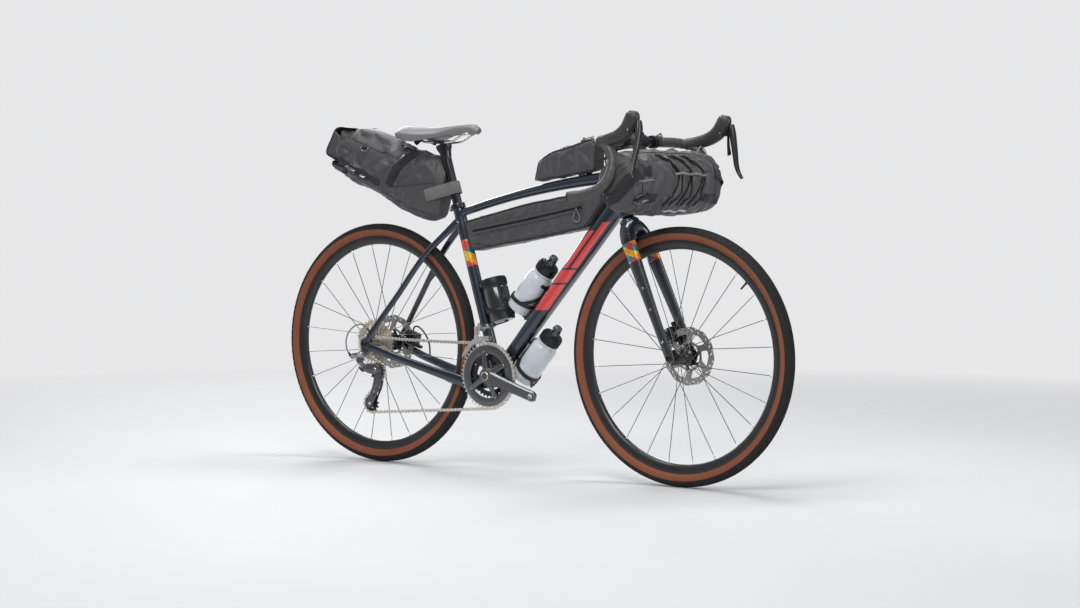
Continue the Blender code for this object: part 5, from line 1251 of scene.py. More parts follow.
def make_cassette():
    phase = roller_phase(RUNS, 3)
    cogs = []
    for k, teeth in enumerate(COG_TEETH):
        y = FIRST_COG_Y - COG_SPACING * k
        root = pitch_radius(teeth) - 0.0048
        inner = 0.0178 if teeth > 15 else 0.0125
        holes = [circle_points(inner, 36)]
        if teeth >= 19:
            count = 12 if teeth > 24 else 9
            reach = (root + inner) / 2 + 0.001
            size = (root - inner) * 0.26
            for t in range(count):
                angle = 2 * math.pi * (t + 0.5 * (k % 2)) / count
                c, s = math.cos(angle), math.sin(angle)
                holes.append([(reach * c + size * (1.25 * a * c - b * s),
                               reach * s + size * (1.25 * a * s + b * c))
                              for a, b in circle_points(1.0, 10)])
        cogs.append(plate(tooth_outline(teeth, phase if k == 10 else 0.13 * k, 0.0022), holes,
                          0.0016, REAR_AXLE + Y * y))
    add("cassette_cogs", cogs, "warm_steel", "cassette", replaces=("cassette",), smooth=30)
    body = turned([(0.007, -0.0268), (0.018, -0.0268), (0.0182, -0.05), (0.013, -0.059),
                   (0.0128, -0.064), (0.0122, -0.068), (0.0118, -0.0692), (0.007, -0.0692)],
                  REAR_AXLE, Y, 40)
    add("freehub_core", body, "grey_alloy", "cassette", bevel=0.0004)


def make_chainrings():
    phase = roller_phase(RUNS, 0)
    for label, teeth, hole, y, material in (("outer", OUTER_TEETH, 0.08, OUTER_RING_Y, "silver"),
                                            ("inner", INNER_TEETH, 0.052, INNER_RING_Y,
                                             "grey_alloy")):
        teeth_plate = plate(tooth_outline(teeth, phase, 0.0022), [circle_points(hole, 64)], 0.0018,
                            BB + Y * y)
        add(label + "_ring_teeth", teeth_plate, material, "crankset", smooth=30,
            replaces=(label + "_chainring",))
    web = turned([(0.0625, -0.0012), (0.064, -0.0022), (0.07, -0.003), (0.082, -0.003),
                  (0.0868, -0.0012), (0.0868, 0.001), (0.064, 0.001), (0.0625, 0.0004)],
                 BB + Y * (OUTER_RING_Y - 0.0002), Y, 96)
    add("outer_ring_web", web, "crank_grey", "crankset", smooth=25)
    inner_web = turned([(0.044, -0.001), (0.056, -0.0014), (0.056, 0.0014), (0.044, 0.001)],
                       BB + Y * INNER_RING_Y, Y, 72)
    lobes = []
    for spoke_angle in SPIDER_ANGLES:
        at = BB + plane_way(math.radians(spoke_angle) + CRANK_ANGLE) * 0.05 + Y * INNER_RING_Y
        lobes.append(rod(at - Y * 0.0012, at + Y * 0.0012, 0.008, 24))
    add("inner_ring_web", [inner_web, *lobes], "black_alloy", "crankset", smooth=25)
    ramps = []
    for k in range(4):
        at = BB + plane_way(math.radians(22 + 90 * k)) * 0.0775 + Y * (OUTER_RING_Y + 0.001)
        ramps.append(bolt(at, Y, 0.0024, 0.0012, socket=False))
    add("shift_pins", ramps, "silver", "crankset")


def crank_loops(side, direction, across):
    """Stations of the arm: a flat face with wide bevels."""
    stations = [(-0.019, 0.0575, 0.013, 0.0062), (-0.008, 0.0577, 0.0185, 0.0075),
                (0.01, 0.058, 0.019, 0.0078), (0.05, 0.06, 0.0168, 0.0076),
                (0.12, 0.0655, 0.0152, 0.007), (CRANK_LENGTH, 0.068, 0.015, 0.0066),
                (CRANK_LENGTH + 0.008, 0.0682, 0.0135, 0.0062),
                (CRANK_LENGTH + 0.0155, 0.0683, 0.0085, 0.0055)]
    loops = []
    for along, y, half, thick in stations:
        centre = BB + Y * side * y + direction * along
        section = [(-half, -thick), (-half, thick * 0.15), (-half * 0.66, thick),
                   (half * 0.66, thick), (half, thick * 0.15), (half, -thick), (half * 0.8, -thick),
                   (-half * 0.8, -thick)]
        loops.append([centre + across * a + Y * side * b for a, b in section])
    return loops


def make_crank(name, side):
    angle = CRANK_ANGLE if side < 0 else CRANK_ANGLE + math.pi
    direction = plane_way(angle)
    across = Y.cross(direction)
    arm = loft(crank_loops(side, direction, across))
    pedal = BB + Y * side * 0.068 + direction * CRANK_LENGTH
    hole = rod(pedal - Y * 0.02, pedal + Y * 0.02, 0.0071, 32)
    if side < 0:
        hub = rod(BB - Y * 0.0645, BB - Y * 0.052, 0.0205, 48, 0.001)
        blades, bolts = [], []
        for spoke_angle in SPIDER_ANGLES:
            out = plane_way(math.radians(spoke_angle) + CRANK_ANGLE)
            bolts.append(bolt(BB + out * 0.0655 - Y * 0.0545, -Y, 0.0042, 0.0016))
            spine = [BB - Y * 0.057 + out * 0.01, BB - Y * 0.0562 + out * 0.034,
                     BB - Y * 0.0536 + out * 0.07]
            blades.append(smooth_sweep(spine, [(0.0125, 0.0042), (0.0078, 0.0036),
                                               (0.0085, 0.0022)], 6, 20, Y.cross(out), 3.2))
            at = BB + out * 0.05
            blades.append(rod(at - Y * 0.053, at + Y * (INNER_RING_Y - 0.0012), 0.0046, 20))
        skin = fused(FINE_VOXEL, 4, arm, hub, *blades)
        add("chainring_bolts", bolts, "silver", "crankset")
        cap = turned([(0.0095, -0.064), (0.01, -0.0662), (0.0118, -0.0668), (0.0128, -0.066),
                      (0.013, -0.064)], BB, Y, 40)
        add("crank_cap_ring", cap, "gold", "crankset")
        core = turned([(0, -0.063), (0.0048, -0.063), (0.0055, -0.0648), (0.0098, -0.0652),
                       (0.0098, -0.0636), (0, -0.06)], BB, Y, 32)
        add("crank_cap", core, "black_alloy", "crankset")
    else:
        spindle = rod(BB - Y * 0.049, BB + Y * 0.058, 0.0119, 32)
        hub = rod(BB + Y * 0.052, BB + Y * 0.064, 0.02, 48, 0.001)
        skin = fused(FINE_VOXEL, 4, arm, hub, spindle)
        pinch = [bolt(BB + Y * 0.06 + direction * 0.012 * k - across * 0.0185, -across, 0.003,
                      0.0012) for k in (-1, 1)]
        add("crank_pinch_bolts", pinch, "silver", "crankset")
    add(name + "_skin", cut(skin, hole), "crank_grey", "crankset", replaces=(name,), smooth=45)
    thread = turned([(0.0062, -0.006), (0.0073, -0.006), (0.0073, 0.006), (0.0062, 0.006)], pedal,
                    Y, 32)
    add(name + "_thread", thread, "silver", "crankset")


def make_pulley(name, centre, index):
    phase = roller_phase(RUNS, index)
    holes = [circle_points(0.0034, 20)]
    for k in range(5):
        a = 2 * math.pi * k / 5
        holes.append(circle_points(0.0026, 12, centre=(0.0125 * math.cos(a), 0.0125 * math.sin(a))))
    wheel = plate(tooth_outline(PULLEY_TEETH, phase, 0.002), holes, 0.0021, centre)
    add(name + "_wheel", wheel, "black_plastic", name, replaces=(name,), smooth=30)
    hub = turned([(0.0031, -0.003), (0.0078, -0.0028), (0.0084, -0.0012), (0.0084, 0.0012),
                  (0.0078, 0.0028), (0.0031, 0.003)], centre, Y, 28)
    add(name + "_bearing", hub, "grey_alloy", name)


def clevis(pivot, back):
    across = LINK_AXIS.cross(back)
    return (block((0.018, 0.013, 0.021), pivot + back * 0.004, right=back, normal=across),
            block((0.02, 0.03, 0.0126), pivot - back * 0.0025, right=back, normal=across))


def cage_outline(grow=0.0):
    front = Vector((-DOWN.z, 0, DOWN.x))
    head = CAGE_PIVOT - GUIDE
    outline = []
    for turn in range(15, 190, 14):
        angle = math.radians(turn)
        point = head + (front * math.cos(angle) - DOWN * math.sin(angle)) * (0.015 + grow)
        outline.append((point.x, point.z))
    for along, bow in smooth_sizes([(0.3, 1.0), (0.62, 1.0 - 0.0025), (0.88, 1.0 - 0.0095)], 4):
        outline.append(tuple((DOWN * PULLEY_SPACING * along + front * (bow - 1.001 - grow)).xz))
    for turn in range(180, 365, 14):
        angle = math.radians(turn)
        point = DOWN * PULLEY_SPACING
        point += (front * math.cos(angle) - DOWN * math.sin(angle)) * (0.013 + grow)
        outline.append((point.x, point.z))
    for along, bow in smooth_sizes([(0.66, 1.019), (0.48, 1.0235), (0.3, 1.025)], 3):
        outline.append(tuple((DOWN * PULLEY_SPACING * along + front * (bow - 1.0 + grow)).xz))
    return outline


def make_rear_derailleur():
    hanger_bolt = Vector((REAR_AXLE.x - 0.004, -0.086, REAR_AXLE.z - 0.03))
    boss = Vector((-0.562, -0.088, 0.317))
    body, slot = clevis(LINK_UPPER, -LINK_MIDDLE)
    boss_arm = smooth_sweep([hanger_bolt + X * 0.002, (hanger_bolt + boss) / 2, boss],
                            [(0.0048, 0.0078), (0.0048, 0.0072), (0.0048, 0.0068)], 5, 16,
                            power=3.0)
    link_arm = [hanger_bolt + Vector((-0.016, 0, 0)), LINK_UPPER + Vector((-0.006, -0.012, 0.01)),
                LINK_UPPER - LINK_MIDDLE * 0.01]
    link_arm = smooth_sweep(link_arm, [(0.0042, 0.0066), (0.0052, 0.0066), (0.0052, 0.0057)], 5, 16,
                            power=3.0)
    mount = rod(hanger_bolt + Y * 0.0075, hanger_bolt - Y * 0.006, 0.0098, 32)
    guide = rod(HOUSING_END - HOUSING_AXIS * 0.0165, HOUSING_END, 0.0044, 20)
    knuckle = fused(FINE_VOXEL, 4, mount, boss_arm, guide, link_arm, body)
    add("derailleur_knuckle_skin", cut(knuckle, slot), "bright_grey", "frame",
        replaces=("derailleur_upper_knuckle",), smooth=50)
    add("derailleur_hanger_bolt", bolt(hanger_bolt - Y * 0.0058, -Y, 0.007, 0.0026), "silver",
        "frame")
    barrel = turned([(0.0024, -0.001), (0.0046, -0.001), (0.005, 0.0005), (0.005, 0.004),
                     (0.0038, 0.0052), (0.0024, 0.0052)], HOUSING_END - HOUSING_AXIS * 0.0052,
                    HOUSING_AXIS, 20)
    add("derailleur_barrel", barrel, "black_plastic", "frame")
    reach = (LINK_LOWER - LINK_UPPER).normalized()
    stations = [LINK_UPPER - reach * 0.0045, LINK_UPPER - reach * 0.0028, LINK_UPPER,
                LINK_UPPER.lerp(LINK_LOWER, 0.5), LINK_LOWER, LINK_LOWER + reach * 0.0028,
                LINK_LOWER + reach * 0.0045]
    sizes = [(0.006, 0.0022), (0.006, 0.004), (0.006, 0.0047), (0.0052, 0.0047), (0.006, 0.0047),
             (0.006, 0.004), (0.006, 0.0022)]
    add("derailleur_link_skin", smooth_sweep(stations, sizes, 4, 24, across=LINK_AXIS, power=4.0),
        "bright_grey", "derailleur_link", replaces=("derailleur_link",), smooth=50)
    pins = [rod(p - LINK_AXIS * 0.0092, p + LINK_AXIS * 0.0092, 0.002, 14)
            for p in (LINK_UPPER, LINK_LOWER)]
    add("derailleur_upper_pin", pins[0], "silver", "frame")
    add("derailleur_lower_pin", pins[1], "silver", "derailleur_lower_knuckle")
    body, slot = clevis(LINK_LOWER, LINK_MIDDLE)
    pivot = CAGE_PIVOT
    route = [LINK_LOWER + LINK_MIDDLE * 0.008, LINK_LOWER + Vector((0.016, 0.004, -0.004)),
             Vector((pivot.x - 0.008, pivot.y - 0.0095, pivot.z)),
             Vector((pivot.x + 0.012, pivot.y - 0.0085, pivot.z))]
    sizes = [(0.0057, 0.0092), (0.0077, 0.0137), (0.0082, 0.0157), (0.0057, 0.0112)]
    lower = fused(FINE_VOXEL, 5, smooth_sweep(route, sizes, 6, 20, power=2.6),
                  rod(pivot - Y * 0.015, pivot, 0.0137, 40), body)
    add("derailleur_lower_skin", cut(lower, slot), "crank_grey", "derailleur_lower_knuckle",
        replaces=("derailleur_lower_knuckle",), smooth=50)
    add("derailleur_pivot_bolt", bolt(pivot - Y * 0.015, -Y, 0.0058, 0.0018), "silver",
        "derailleur_lower_knuckle")
    slots = []
    front = Vector((-DOWN.z, 0, DOWN.x))
    for low, high, width, lean in ((0.32, 0.5, 0.004, 0.011), (0.54, 0.72, 0.0035, 0.009)):
        hole = []
        for t in range(16):
            a = 2 * math.pi * t / 16
            along = (low + high) / 2 + (high - low) / 2 * signed_power(math.sin(a), 0.6)
            off = lean + width * signed_power(math.cos(a), 0.6)
            hole.append(tuple((DOWN * PULLEY_SPACING * along + front * off).xz))
        slots.append(hole)
    plates = [plate(cage_outline(), slots, 0.0016, GUIDE - Y * CAGE_OUTER),
              plate(cage_outline(-0.001), slots, 0.0016, GUIDE + Y * 0.0052)]
    add("derailleur_cage_plates", plates, "crank_grey", "derailleur_cage",
        replaces=("derailleur_cage",), bevel=0.0003)
    bolts = [rod(c - Y * (CAGE_OUTER + 0.0002), c + Y * 0.0056, 0.0027, 20)
             for c in (GUIDE, TENSION)]
    bolts += [bolt(c - Y * (CAGE_OUTER + 0.0006), -Y, 0.0042, 0.0016) for c in (GUIDE, TENSION)]
    add("pulley_bolts", bolts, "silver", "derailleur_cage")


def make_front_derailleur():
    band_at = seat_point(FRONT_DERAILLEUR_AT)
    band = turned([(0.0169, -0.007), (0.0192, -0.007), (0.0196, -0.006), (0.0196, 0.006),
                   (0.0192, 0.007), (0.0169, 0.007)], band_at, SEAT_UP, 48)
    arm = [band_at + Vector(p) for p in ((0.003, -0.018, 0), (0.003, -0.023, 0),
                                         (-0.002, -0.03, 0.004), (-0.006, -0.036, 0.006))]
    arm = smooth_sweep(arm, [(0.006, 0.011), (0.0065, 0.011), (0.007, 0.011), (0.006, 0.009)], 5,
                       20, across=X, power=3.0)
    ear = block((0.012, 0.012, 0.011), band_at + SEAT_AHEAD * 0.0235, right=SEAT_AHEAD, normal=Y,
                bevel=0.002)
    add("front_derailleur_clamp", fused(FINE_VOXEL, 3, band, arm, ear), "bright_grey", "frame",
        replaces=("front_derailleur_mount",), smooth=180)
    ear_bolt = bolt(band_at + SEAT_AHEAD * 0.0245 - Y * 0.0055, -Y, 0.0034, 0.0028)
    add("front_derailleur_bolt", ear_bolt, "silver", "frame")
    radii = (pitch_radius(OUTER_TEETH) + 0.0068, pitch_radius(OUTER_TEETH) + 0.02)
    angles = [math.radians(152 - 66 * i / 16) for i in range(17)]
    outline = [(radii[0] * math.cos(a), radii[0] * math.sin(a)) for a in angles]
    outer_edge = []
    for i, a in enumerate(reversed(angles[1:])):
        share = i / 15
        r = radii[1] - 0.0085 * max(0.0, share - 0.45) / 0.55
        outer_edge.append((r * math.cos(a), r * math.sin(a)))
    outline += outer_edge
    outer = plate(outline, [], 0.0014, BB + Y * (OUTER_RING_Y - 0.0062))
    inner = plate(outline, [], 0.0014, BB + Y * (OUTER_RING_Y + 0.0056))
    top = plane_way(math.radians(110))
    roof = block((0.03, 0.0126, 0.0016), BB + Y * (OUTER_RING_Y - 0.0003)
                 + top * (radii[1] - 0.001), right=Y.cross(top), normal=Y)
    hinge = band_at - Y * 0.0448
    link = [hinge + Vector(p) for p in ((-0.002, 0, 0.004), (0, -0.002, -0.014),
                                        (0.002, -0.004, -0.029))]
    link = smooth_sweep(link, [(0.0095, 0.0034), (0.0085, 0.003), (0.011, 0.003)], 5, 20, across=X,
                        power=3.0)
    add("front_derailleur_blades", [outer, inner, roof, link], "silver", "front_derailleur_cage",
        replaces=("front_derailleur_cage",), bevel=0.0003)


def make_calliper(name, axle, mount_angle, along, low, high, rotor_y, foot_shift, body_name):
    """A calliper over its rotor, between low and high beside the line at the mount's angle."""
    run, off = plane_way(mount_angle), plane_way(mount_angle + math.pi / 2)
    middle = axle + run * along + Y * rotor_y
    foot = block((0.009, 0.015, 0.07), middle + off * (low + 0.0045) + Y * foot_shift, right=off,
                 normal=Y, bevel=0.003, segments=3)
    shell_at = middle + off * ((low + high) / 2 + 0.001) + Y * 0.002
    shell = block((high - low - 0.002, 0.033, 0.046), shell_at, right=off, normal=Y, bevel=0.008,
                  segments=4)
    disc = rod(axle + Y * (rotor_y - 0.0019), axle + Y * (rotor_y + 0.0019), ROTOR_RADIUS + 0.0035,
               64)
    pad_at = axle + (shell_at - Y * 0.002 - Y * rotor_y - axle).normalized() * 0.0705 + Y * rotor_y
    pad_out = (pad_at - Y * rotor_y - axle).normalized()
    pocket = block((0.0162, 0.0112, 0.0212), pad_at, right=pad_out, normal=Y)
    window = block((0.012, 0.01, 0.018), pad_at + pad_out * 0.014, right=pad_out, normal=Y)
    skin = cut(fused(0.001, 4, shell, foot), disc, pocket, window)
    add(name + "_skin", skin, "black_alloy", body_name, replaces=(name,), smooth=50)
    parts = [bolt(middle + off * (low + 0.0085) + Y * foot_shift + run * s * 0.029, off, 0.0036,
                  0.002) for s in (-1, 1)]
    side = shell_at - Y * 0.0163
    parts += [bolt(side + run * s * 0.0155, -Y, 0.0036, 0.0014) for s in (-1, 1)]
    add(name + "_bolts", parts, "silver", body_name)
    cap = turned([(0, -0.001), (0.0098, -0.001), (0.0104, 0.0), (0.0098, 0.0016), (0.006, 0.002),
                  (0, 0.002)], shell_at + Y * 0.0165, Y, 32)
    add(name + "_piston_cap", cap, "grey_alloy", body_name)


make_chain()
make_cassette()
make_chainrings()
make_crank("right_crank_arm", -1)
make_crank("left_crank_arm", 1)
make_pulley("guide_pulley", GUIDE, 2)
make_pulley("tension_pulley", TENSION, 1)
make_rear_derailleur()
make_front_derailleur()
make_calliper("front_calliper", FRONT_AXLE, math.radians(114.6), along=0.074, low=0.0148,
              high=0.045, rotor_y=FRONT_ROTOR_Y, foot_shift=0.014, body_name="steering")
make_calliper("rear_calliper", REAR_AXLE, math.radians(-17), along=0.064, low=0.0105, high=0.053,
              rotor_y=REAR_ROTOR_Y, foot_shift=0.011, body_name="frame")
for pad in ("front_pad_outer", "front_pad_inner", "rear_pad_outer", "rear_pad_inner"):
    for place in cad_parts[pad].material_slots:
        place.material = MATERIALS["matte_black"]

# Cockpit


def mirrored(point):
    return Vector((point.x, -point.y, point.z))


def bar_route():
    return [BAR_CENTRE.copy(), BAR_CENTRE + Vector((0, -0.028, 0)),
            BAR_CENTRE + Vector((0, -0.045, 0)), Vector((0.388, -0.165, 0.931)),
            Vector((0.399, -0.199, 0.928)), Vector((0.429, -0.214, 0.919)),
            Vector((0.454, -0.22, 0.885)), Vector((0.456, -0.2325, 0.842)),
            Vector((0.435, -0.2445, 0.807)), Vector((0.388, -0.2545, 0.788)),
            Vector((0.333, -0.262, 0.7821))]


def make_bar():
    route = bar_route()
    half = [route[0], route[2], route[3]] + smooth_route(route[3:], 6)[1:]
    line = even_route(half[:3] + half[3::2], 0.0025)
    inner = [p for p in line if abs(p.y) < 0.062]
    whole = [mirrored(p) for p in reversed(inner[1:])] + inner
    radii = [0.0159 - 0.0029 * min(1, max(0, (abs(p.y) - 0.034) / 0.014)) for p in whole]
    add("bar_centre", pipe(whole, radii, 32), "black_alloy", "steering", replaces=("handlebar",))
    taped = [p for p in line if abs(p.y) > 0.056 or p.z < 0.9]
    for side, label in SIDES:
        path = taped if side < 0 else [mirrored(p) for p in taped]
        along = tangents(path)
        u = (Z - along[0] * along[0].z).normalized()
        loops, sides = [], 28
        for k, (point, tangent) in enumerate(zip(path, along)):
            u = square_to(u, tangent)
            v = tangent.cross(u)
            loop = []
            for i in range(sides):
                angle = 2 * math.pi * i / sides
                wrap = (k * 0.0025 / 0.021 + side * i / sides) % 1.0
                lap = 0.0009 * wrap if wrap < 0.9 else 0.0009 * (1 - wrap) / 0.1 * 0.9
                end = min(k, len(path) - 1 - k)
                radius = 0.0134 + lap - 0.0015 * max(0, 2 - end)
                loop.append(point + (u * math.cos(angle) + v * math.sin(angle)) * radius)
            loops.append(loop)
        add(label + "_bar_tape", loft(loops), "bar_tape", "steering", smooth=60)
        tip, out = path[-1], along[-1]
        plug = turned([(0, -0.004), (0.012, -0.004), (0.0126, 0.0005), (0.012, 0.003),
                       (0.007, 0.0042), (0, 0.0042)], tip, out, 32)
        add(label + "_bar_plug", plug, "black_plastic", "steering")
        band_at = path[3]
        ring_band = pipe([band_at - along[3] * 0.004, band_at, band_at + along[3] * 0.006],
                         [0.0146, 0.0148, 0.0146], 32)
        add(label + "_tape_finish", ring_band, "matte_black", "steering")


def make_stem():
    base = HEAD_TOP + 0.002
    cover = turned([(STEERER_BORE, 0), (0.0235, 0), (0.0237, 0.0012), (0.0222, 0.007),
                    (0.0184, 0.0092), (STEERER_BORE, 0.0095)], steer_point(base), STEER_UP, 48)
    h = 0.0095
    spacer = turned([(STEERER_BORE, h + 0.0002), (0.0176, h + 0.0002), (0.018, h + 0.0008),
                     (0.018, h + 0.0092), (0.0176, h + 0.0098), (STEERER_BORE, h + 0.0098)],
                    steer_point(base), STEER_UP, 48)
    add("headset_stack", [cover, spacer], "black_alloy", "steering", replaces=("stem",),
        bevel=0.0003)
    clamp_low, clamp_high = 0.0197, 0.0545
    column = turned([(STEERER_BORE, clamp_low), (0.0178, clamp_low), (0.0184, clamp_low + 0.001),
                     (0.0184, clamp_high - 0.0015), (0.0172, clamp_high),
                     (STEERER_BORE, clamp_high)],
                    steer_point(base), STEER_UP, 48)
    root = steer_point(HEAD_TOP + 0.034)
    reach = (BAR_CENTRE - root).normalized()
    neck = smooth_sweep([root + reach * 0.008, root + reach * 0.036, BAR_CENTRE - reach * 0.0145],
                        [(0.0155, 0.0155), (0.0135, 0.014), (0.018, 0.0155)], 8, 28, power=2.6)
    clamp = rod(BAR_CENTRE - Y * 0.023, BAR_CENTRE + Y * 0.023, 0.0203, 48, 0.0015)
    ears = [block((0.01, 0.042, 0.0085), BAR_CENTRE + reach * 0.003 + s * Y.cross(reach) * 0.0215,
                  right=reach, normal=Y, bevel=0.0022) for s in (-1, 1)]
    bore = rod(BAR_CENTRE - Y * 0.03, BAR_CENTRE + Y * 0.03, 0.0161, 48)
    split = [block((0.0012, 0.06, 0.02), BAR_CENTRE + reach * 0.003 + s * Y.cross(reach) * 0.024,
                   right=reach, normal=Y) for s in (-1, 1)]
    skin = fused(FINE_VOXEL, 4, column, neck, clamp, *ears)
    add("stem_skin", cut(skin, bore, *split), "black_alloy", "steering", smooth=50)
    bolts = [bolt(BAR_CENTRE + reach * 0.008 + s * Y.cross(reach) * 0.0215 + Y * t * 0.014, reach,
                  0.003, 0.0022) for s in (-1, 1) for t in (-1, 1)]
    bolts += [bolt(root - reach * 0.0178 + STEER_UP * t * 0.01 - Y * 0.006, -Y, 0.003, 0.002)
              for t in (-1, 1)]
    add("stem_bolts", bolts, "grey_alloy", "steering")
    cap = turned([(0, STEERER_TOP + 0.0005), (0.016, STEERER_TOP + 0.0005),
                  (0.0166, STEERER_TOP + 0.0015), (0.0162, STEERER_TOP + 0.0038),
                  (0.0135, STEERER_TOP + 0.0058), (0.005, STEERER_TOP + 0.006),
                  (0.0044, STEERER_TOP + 0.0045), (0, STEERER_TOP + 0.0045)], STEER_FOOT, STEER_UP,
                 40)
    add("stem_cap", cap, "black_alloy", "steering")


def make_hood(label, side):
    route = points_at(side, (0.406, 0.207, 0.926), (0.438, 0.216, 0.931), (0.472, 0.22, 0.94),
                      (0.499, 0.222, 0.956), (0.515, 0.224, 0.977), (0.522, 0.225, 0.995),
                      (0.524, 0.2255, 1.005))
    sizes = [(0.0146, 0.0158), (0.015, 0.017), (0.0154, 0.0184), (0.0162, 0.0206), (0.0166, 0.0214),
             (0.0152, 0.0194), (0.009, 0.011)]
    skin = smooth_sweep(route, sizes, 8, 36, power=2.4)
    add(label + "_hood_skin", skin, "rubber", "steering", replaces=(label + "_hood",), smooth=180)
    shoe = block((0.014, 0.0235, 0.033), Vector((0.528, side * 0.2245, 0.964)),
                 right=Vector((0.93, 0, -0.36)).normalized(), normal=Y, bevel=0.004, segments=3)
    add(label + "_lever_block", shoe, "black_plastic", "steering")
    pin_at = Vector((0.515, side * 0.2242, 0.956))
    pins = [bolt(pin_at + Y * s * 0.015, Y * s, 0.0026, 0.0016, socket=False) for s in (-1, 1)]
    add(label + "_lever_pin", pins, "silver", "steering")


def make_lever(label, side):
    pivot = Vector((0.5405, side * 0.2268, 0.969))
    route = [pivot + Vector((0.0015, 0, 0.011)), pivot + Vector((0.003, side * 0.001, -0.006)),
             Vector((0.545, side * 0.231, 0.945)), Vector((0.545, side * 0.24, 0.91)),
             Vector((0.5425, side * 0.253, 0.87)), Vector((0.545, side * 0.261, 0.848)),
             Vector((0.553, side * 0.2665, 0.831))]
    sizes = [(0.009, 0.0064), (0.0122, 0.0078), (0.0126, 0.0072), (0.0114, 0.006), (0.0096, 0.005),
             (0.0082, 0.0042), (0.006, 0.0034)]
    blade = smooth_sweep(route, sizes, 8, 24, power=2.4)
    pin_at = Vector((0.5335, side * 0.224, 0.948))
    pin = rod(pin_at + X * 0.0025, pin_at + X * 0.01, 0.0028, 16)
    add(label + "_lever_blade", [blade, pin], "black_alloy", label + "_brake_lever",
        replaces=(label + "_brake_lever",), smooth=60)
    paddle_route = [pin_at + Z * 0.004, Vector((0.5335, side * 0.2255, 0.922)),
                    Vector((0.532, side * 0.233, 0.896))]
    paddle = smooth_sweep(paddle_route, [(0.004, 0.0022), (0.006, 0.0022), (0.009, 0.0022)], 8, 20,
                          power=3.0)
    add(label + "_paddle_blade", paddle, "black_plastic", label + "_shift_paddle",
        replaces=(label + "_shift_paddle",), smooth=60)


make_bar()
make_stem()
for side, label in SIDES:
    make_hood(label, side)
    make_lever(label, side)

# Seatpost and saddle


def rail_line():
    middle = seat_point(POST_TOP) + Vector((0, 0, 0.016))
    return [middle + Vector((-0.085, 0, 0.012)), middle + Vector((-0.045, 0, 0)),
            middle + Vector((0.04, 0, 0)), middle + Vector((0.082, 0, 0.018))]


def make_post():
    bottom, top = seat_point(0.64), seat_point(POST_TOP)
    post = rod(bottom, top - SEAT_UP * 0.01, POST_RADIUS, 48)
    head = smooth_sweep([top - SEAT_UP * 0.03, top - SEAT_UP * 0.014, top - SEAT_UP * 0.002,
                         top + SEAT_UP * 0.01], [(0.0134, 0.0134), (0.0145, 0.0165), (0.016, 0.022),
                                                 (0.0175, 0.0235)], 6, 28, power=3.0)
    add("post_tube", fused(0.0011, 3, post, head), "post_black", "seatpost", replaces=("seatpost",),
        smooth=180)
    clamp_at = top + Vector((0, 0, 0.016))
    lower = block((0.04, 0.056, 0.005), clamp_at - Z * 0.0026, bevel=0.0015)
    upper = block((0.036, 0.054, 0.0046), clamp_at + Z * 0.003, bevel=0.0015)
    add("rail_clamp", [lower, upper], "black_alloy", "seatpost")
    bolts = [bolt(clamp_at + X * s * 0.013 + Z * 0.0052, Z, 0.0036, 0.0022) for s in (-1, 1)]
    bolts += [rod(clamp_at + X * s * 0.013 - Z * 0.02, clamp_at + X * s * 0.013, 0.0024, 12)
              for s in (-1, 1)]
    add("rail_clamp_bolts", bolts, "silver", "seatpost")


NOSE, REAR = -0.158, -0.432
SADDLE = [(0.0, 0.0165, 0.962, 0.978), (0.06, 0.019, 0.953, 0.9865), (0.2, 0.0215, 0.951, 0.9895),
          (0.38, 0.029, 0.951, 0.986), (0.56, 0.048, 0.942, 0.982), (0.74, 0.0665, 0.934, 0.9835),
          (0.89, 0.0735, 0.94, 0.987), (0.97, 0.064, 0.952, 0.985), (1.0, 0.044, 0.963, 0.981)]


def saddle_at(t):
    """Half width, underside and crown of the saddle at this share of its length."""
    t = min(max(t, 0), 1)
    for k, (first, second) in enumerate(zip(SADDLE, SADDLE[1:])):
        if t <= second[0]:
            break
    rows = [SADDLE[max(k - 1, 0)], first, second, SADDLE[min(k + 2, len(SADDLE) - 1)]]
    share = (t - first[0]) / (second[0] - first[0])
    return [catmull(*(row[i] for row in rows), share) for i in (1, 2, 3)]


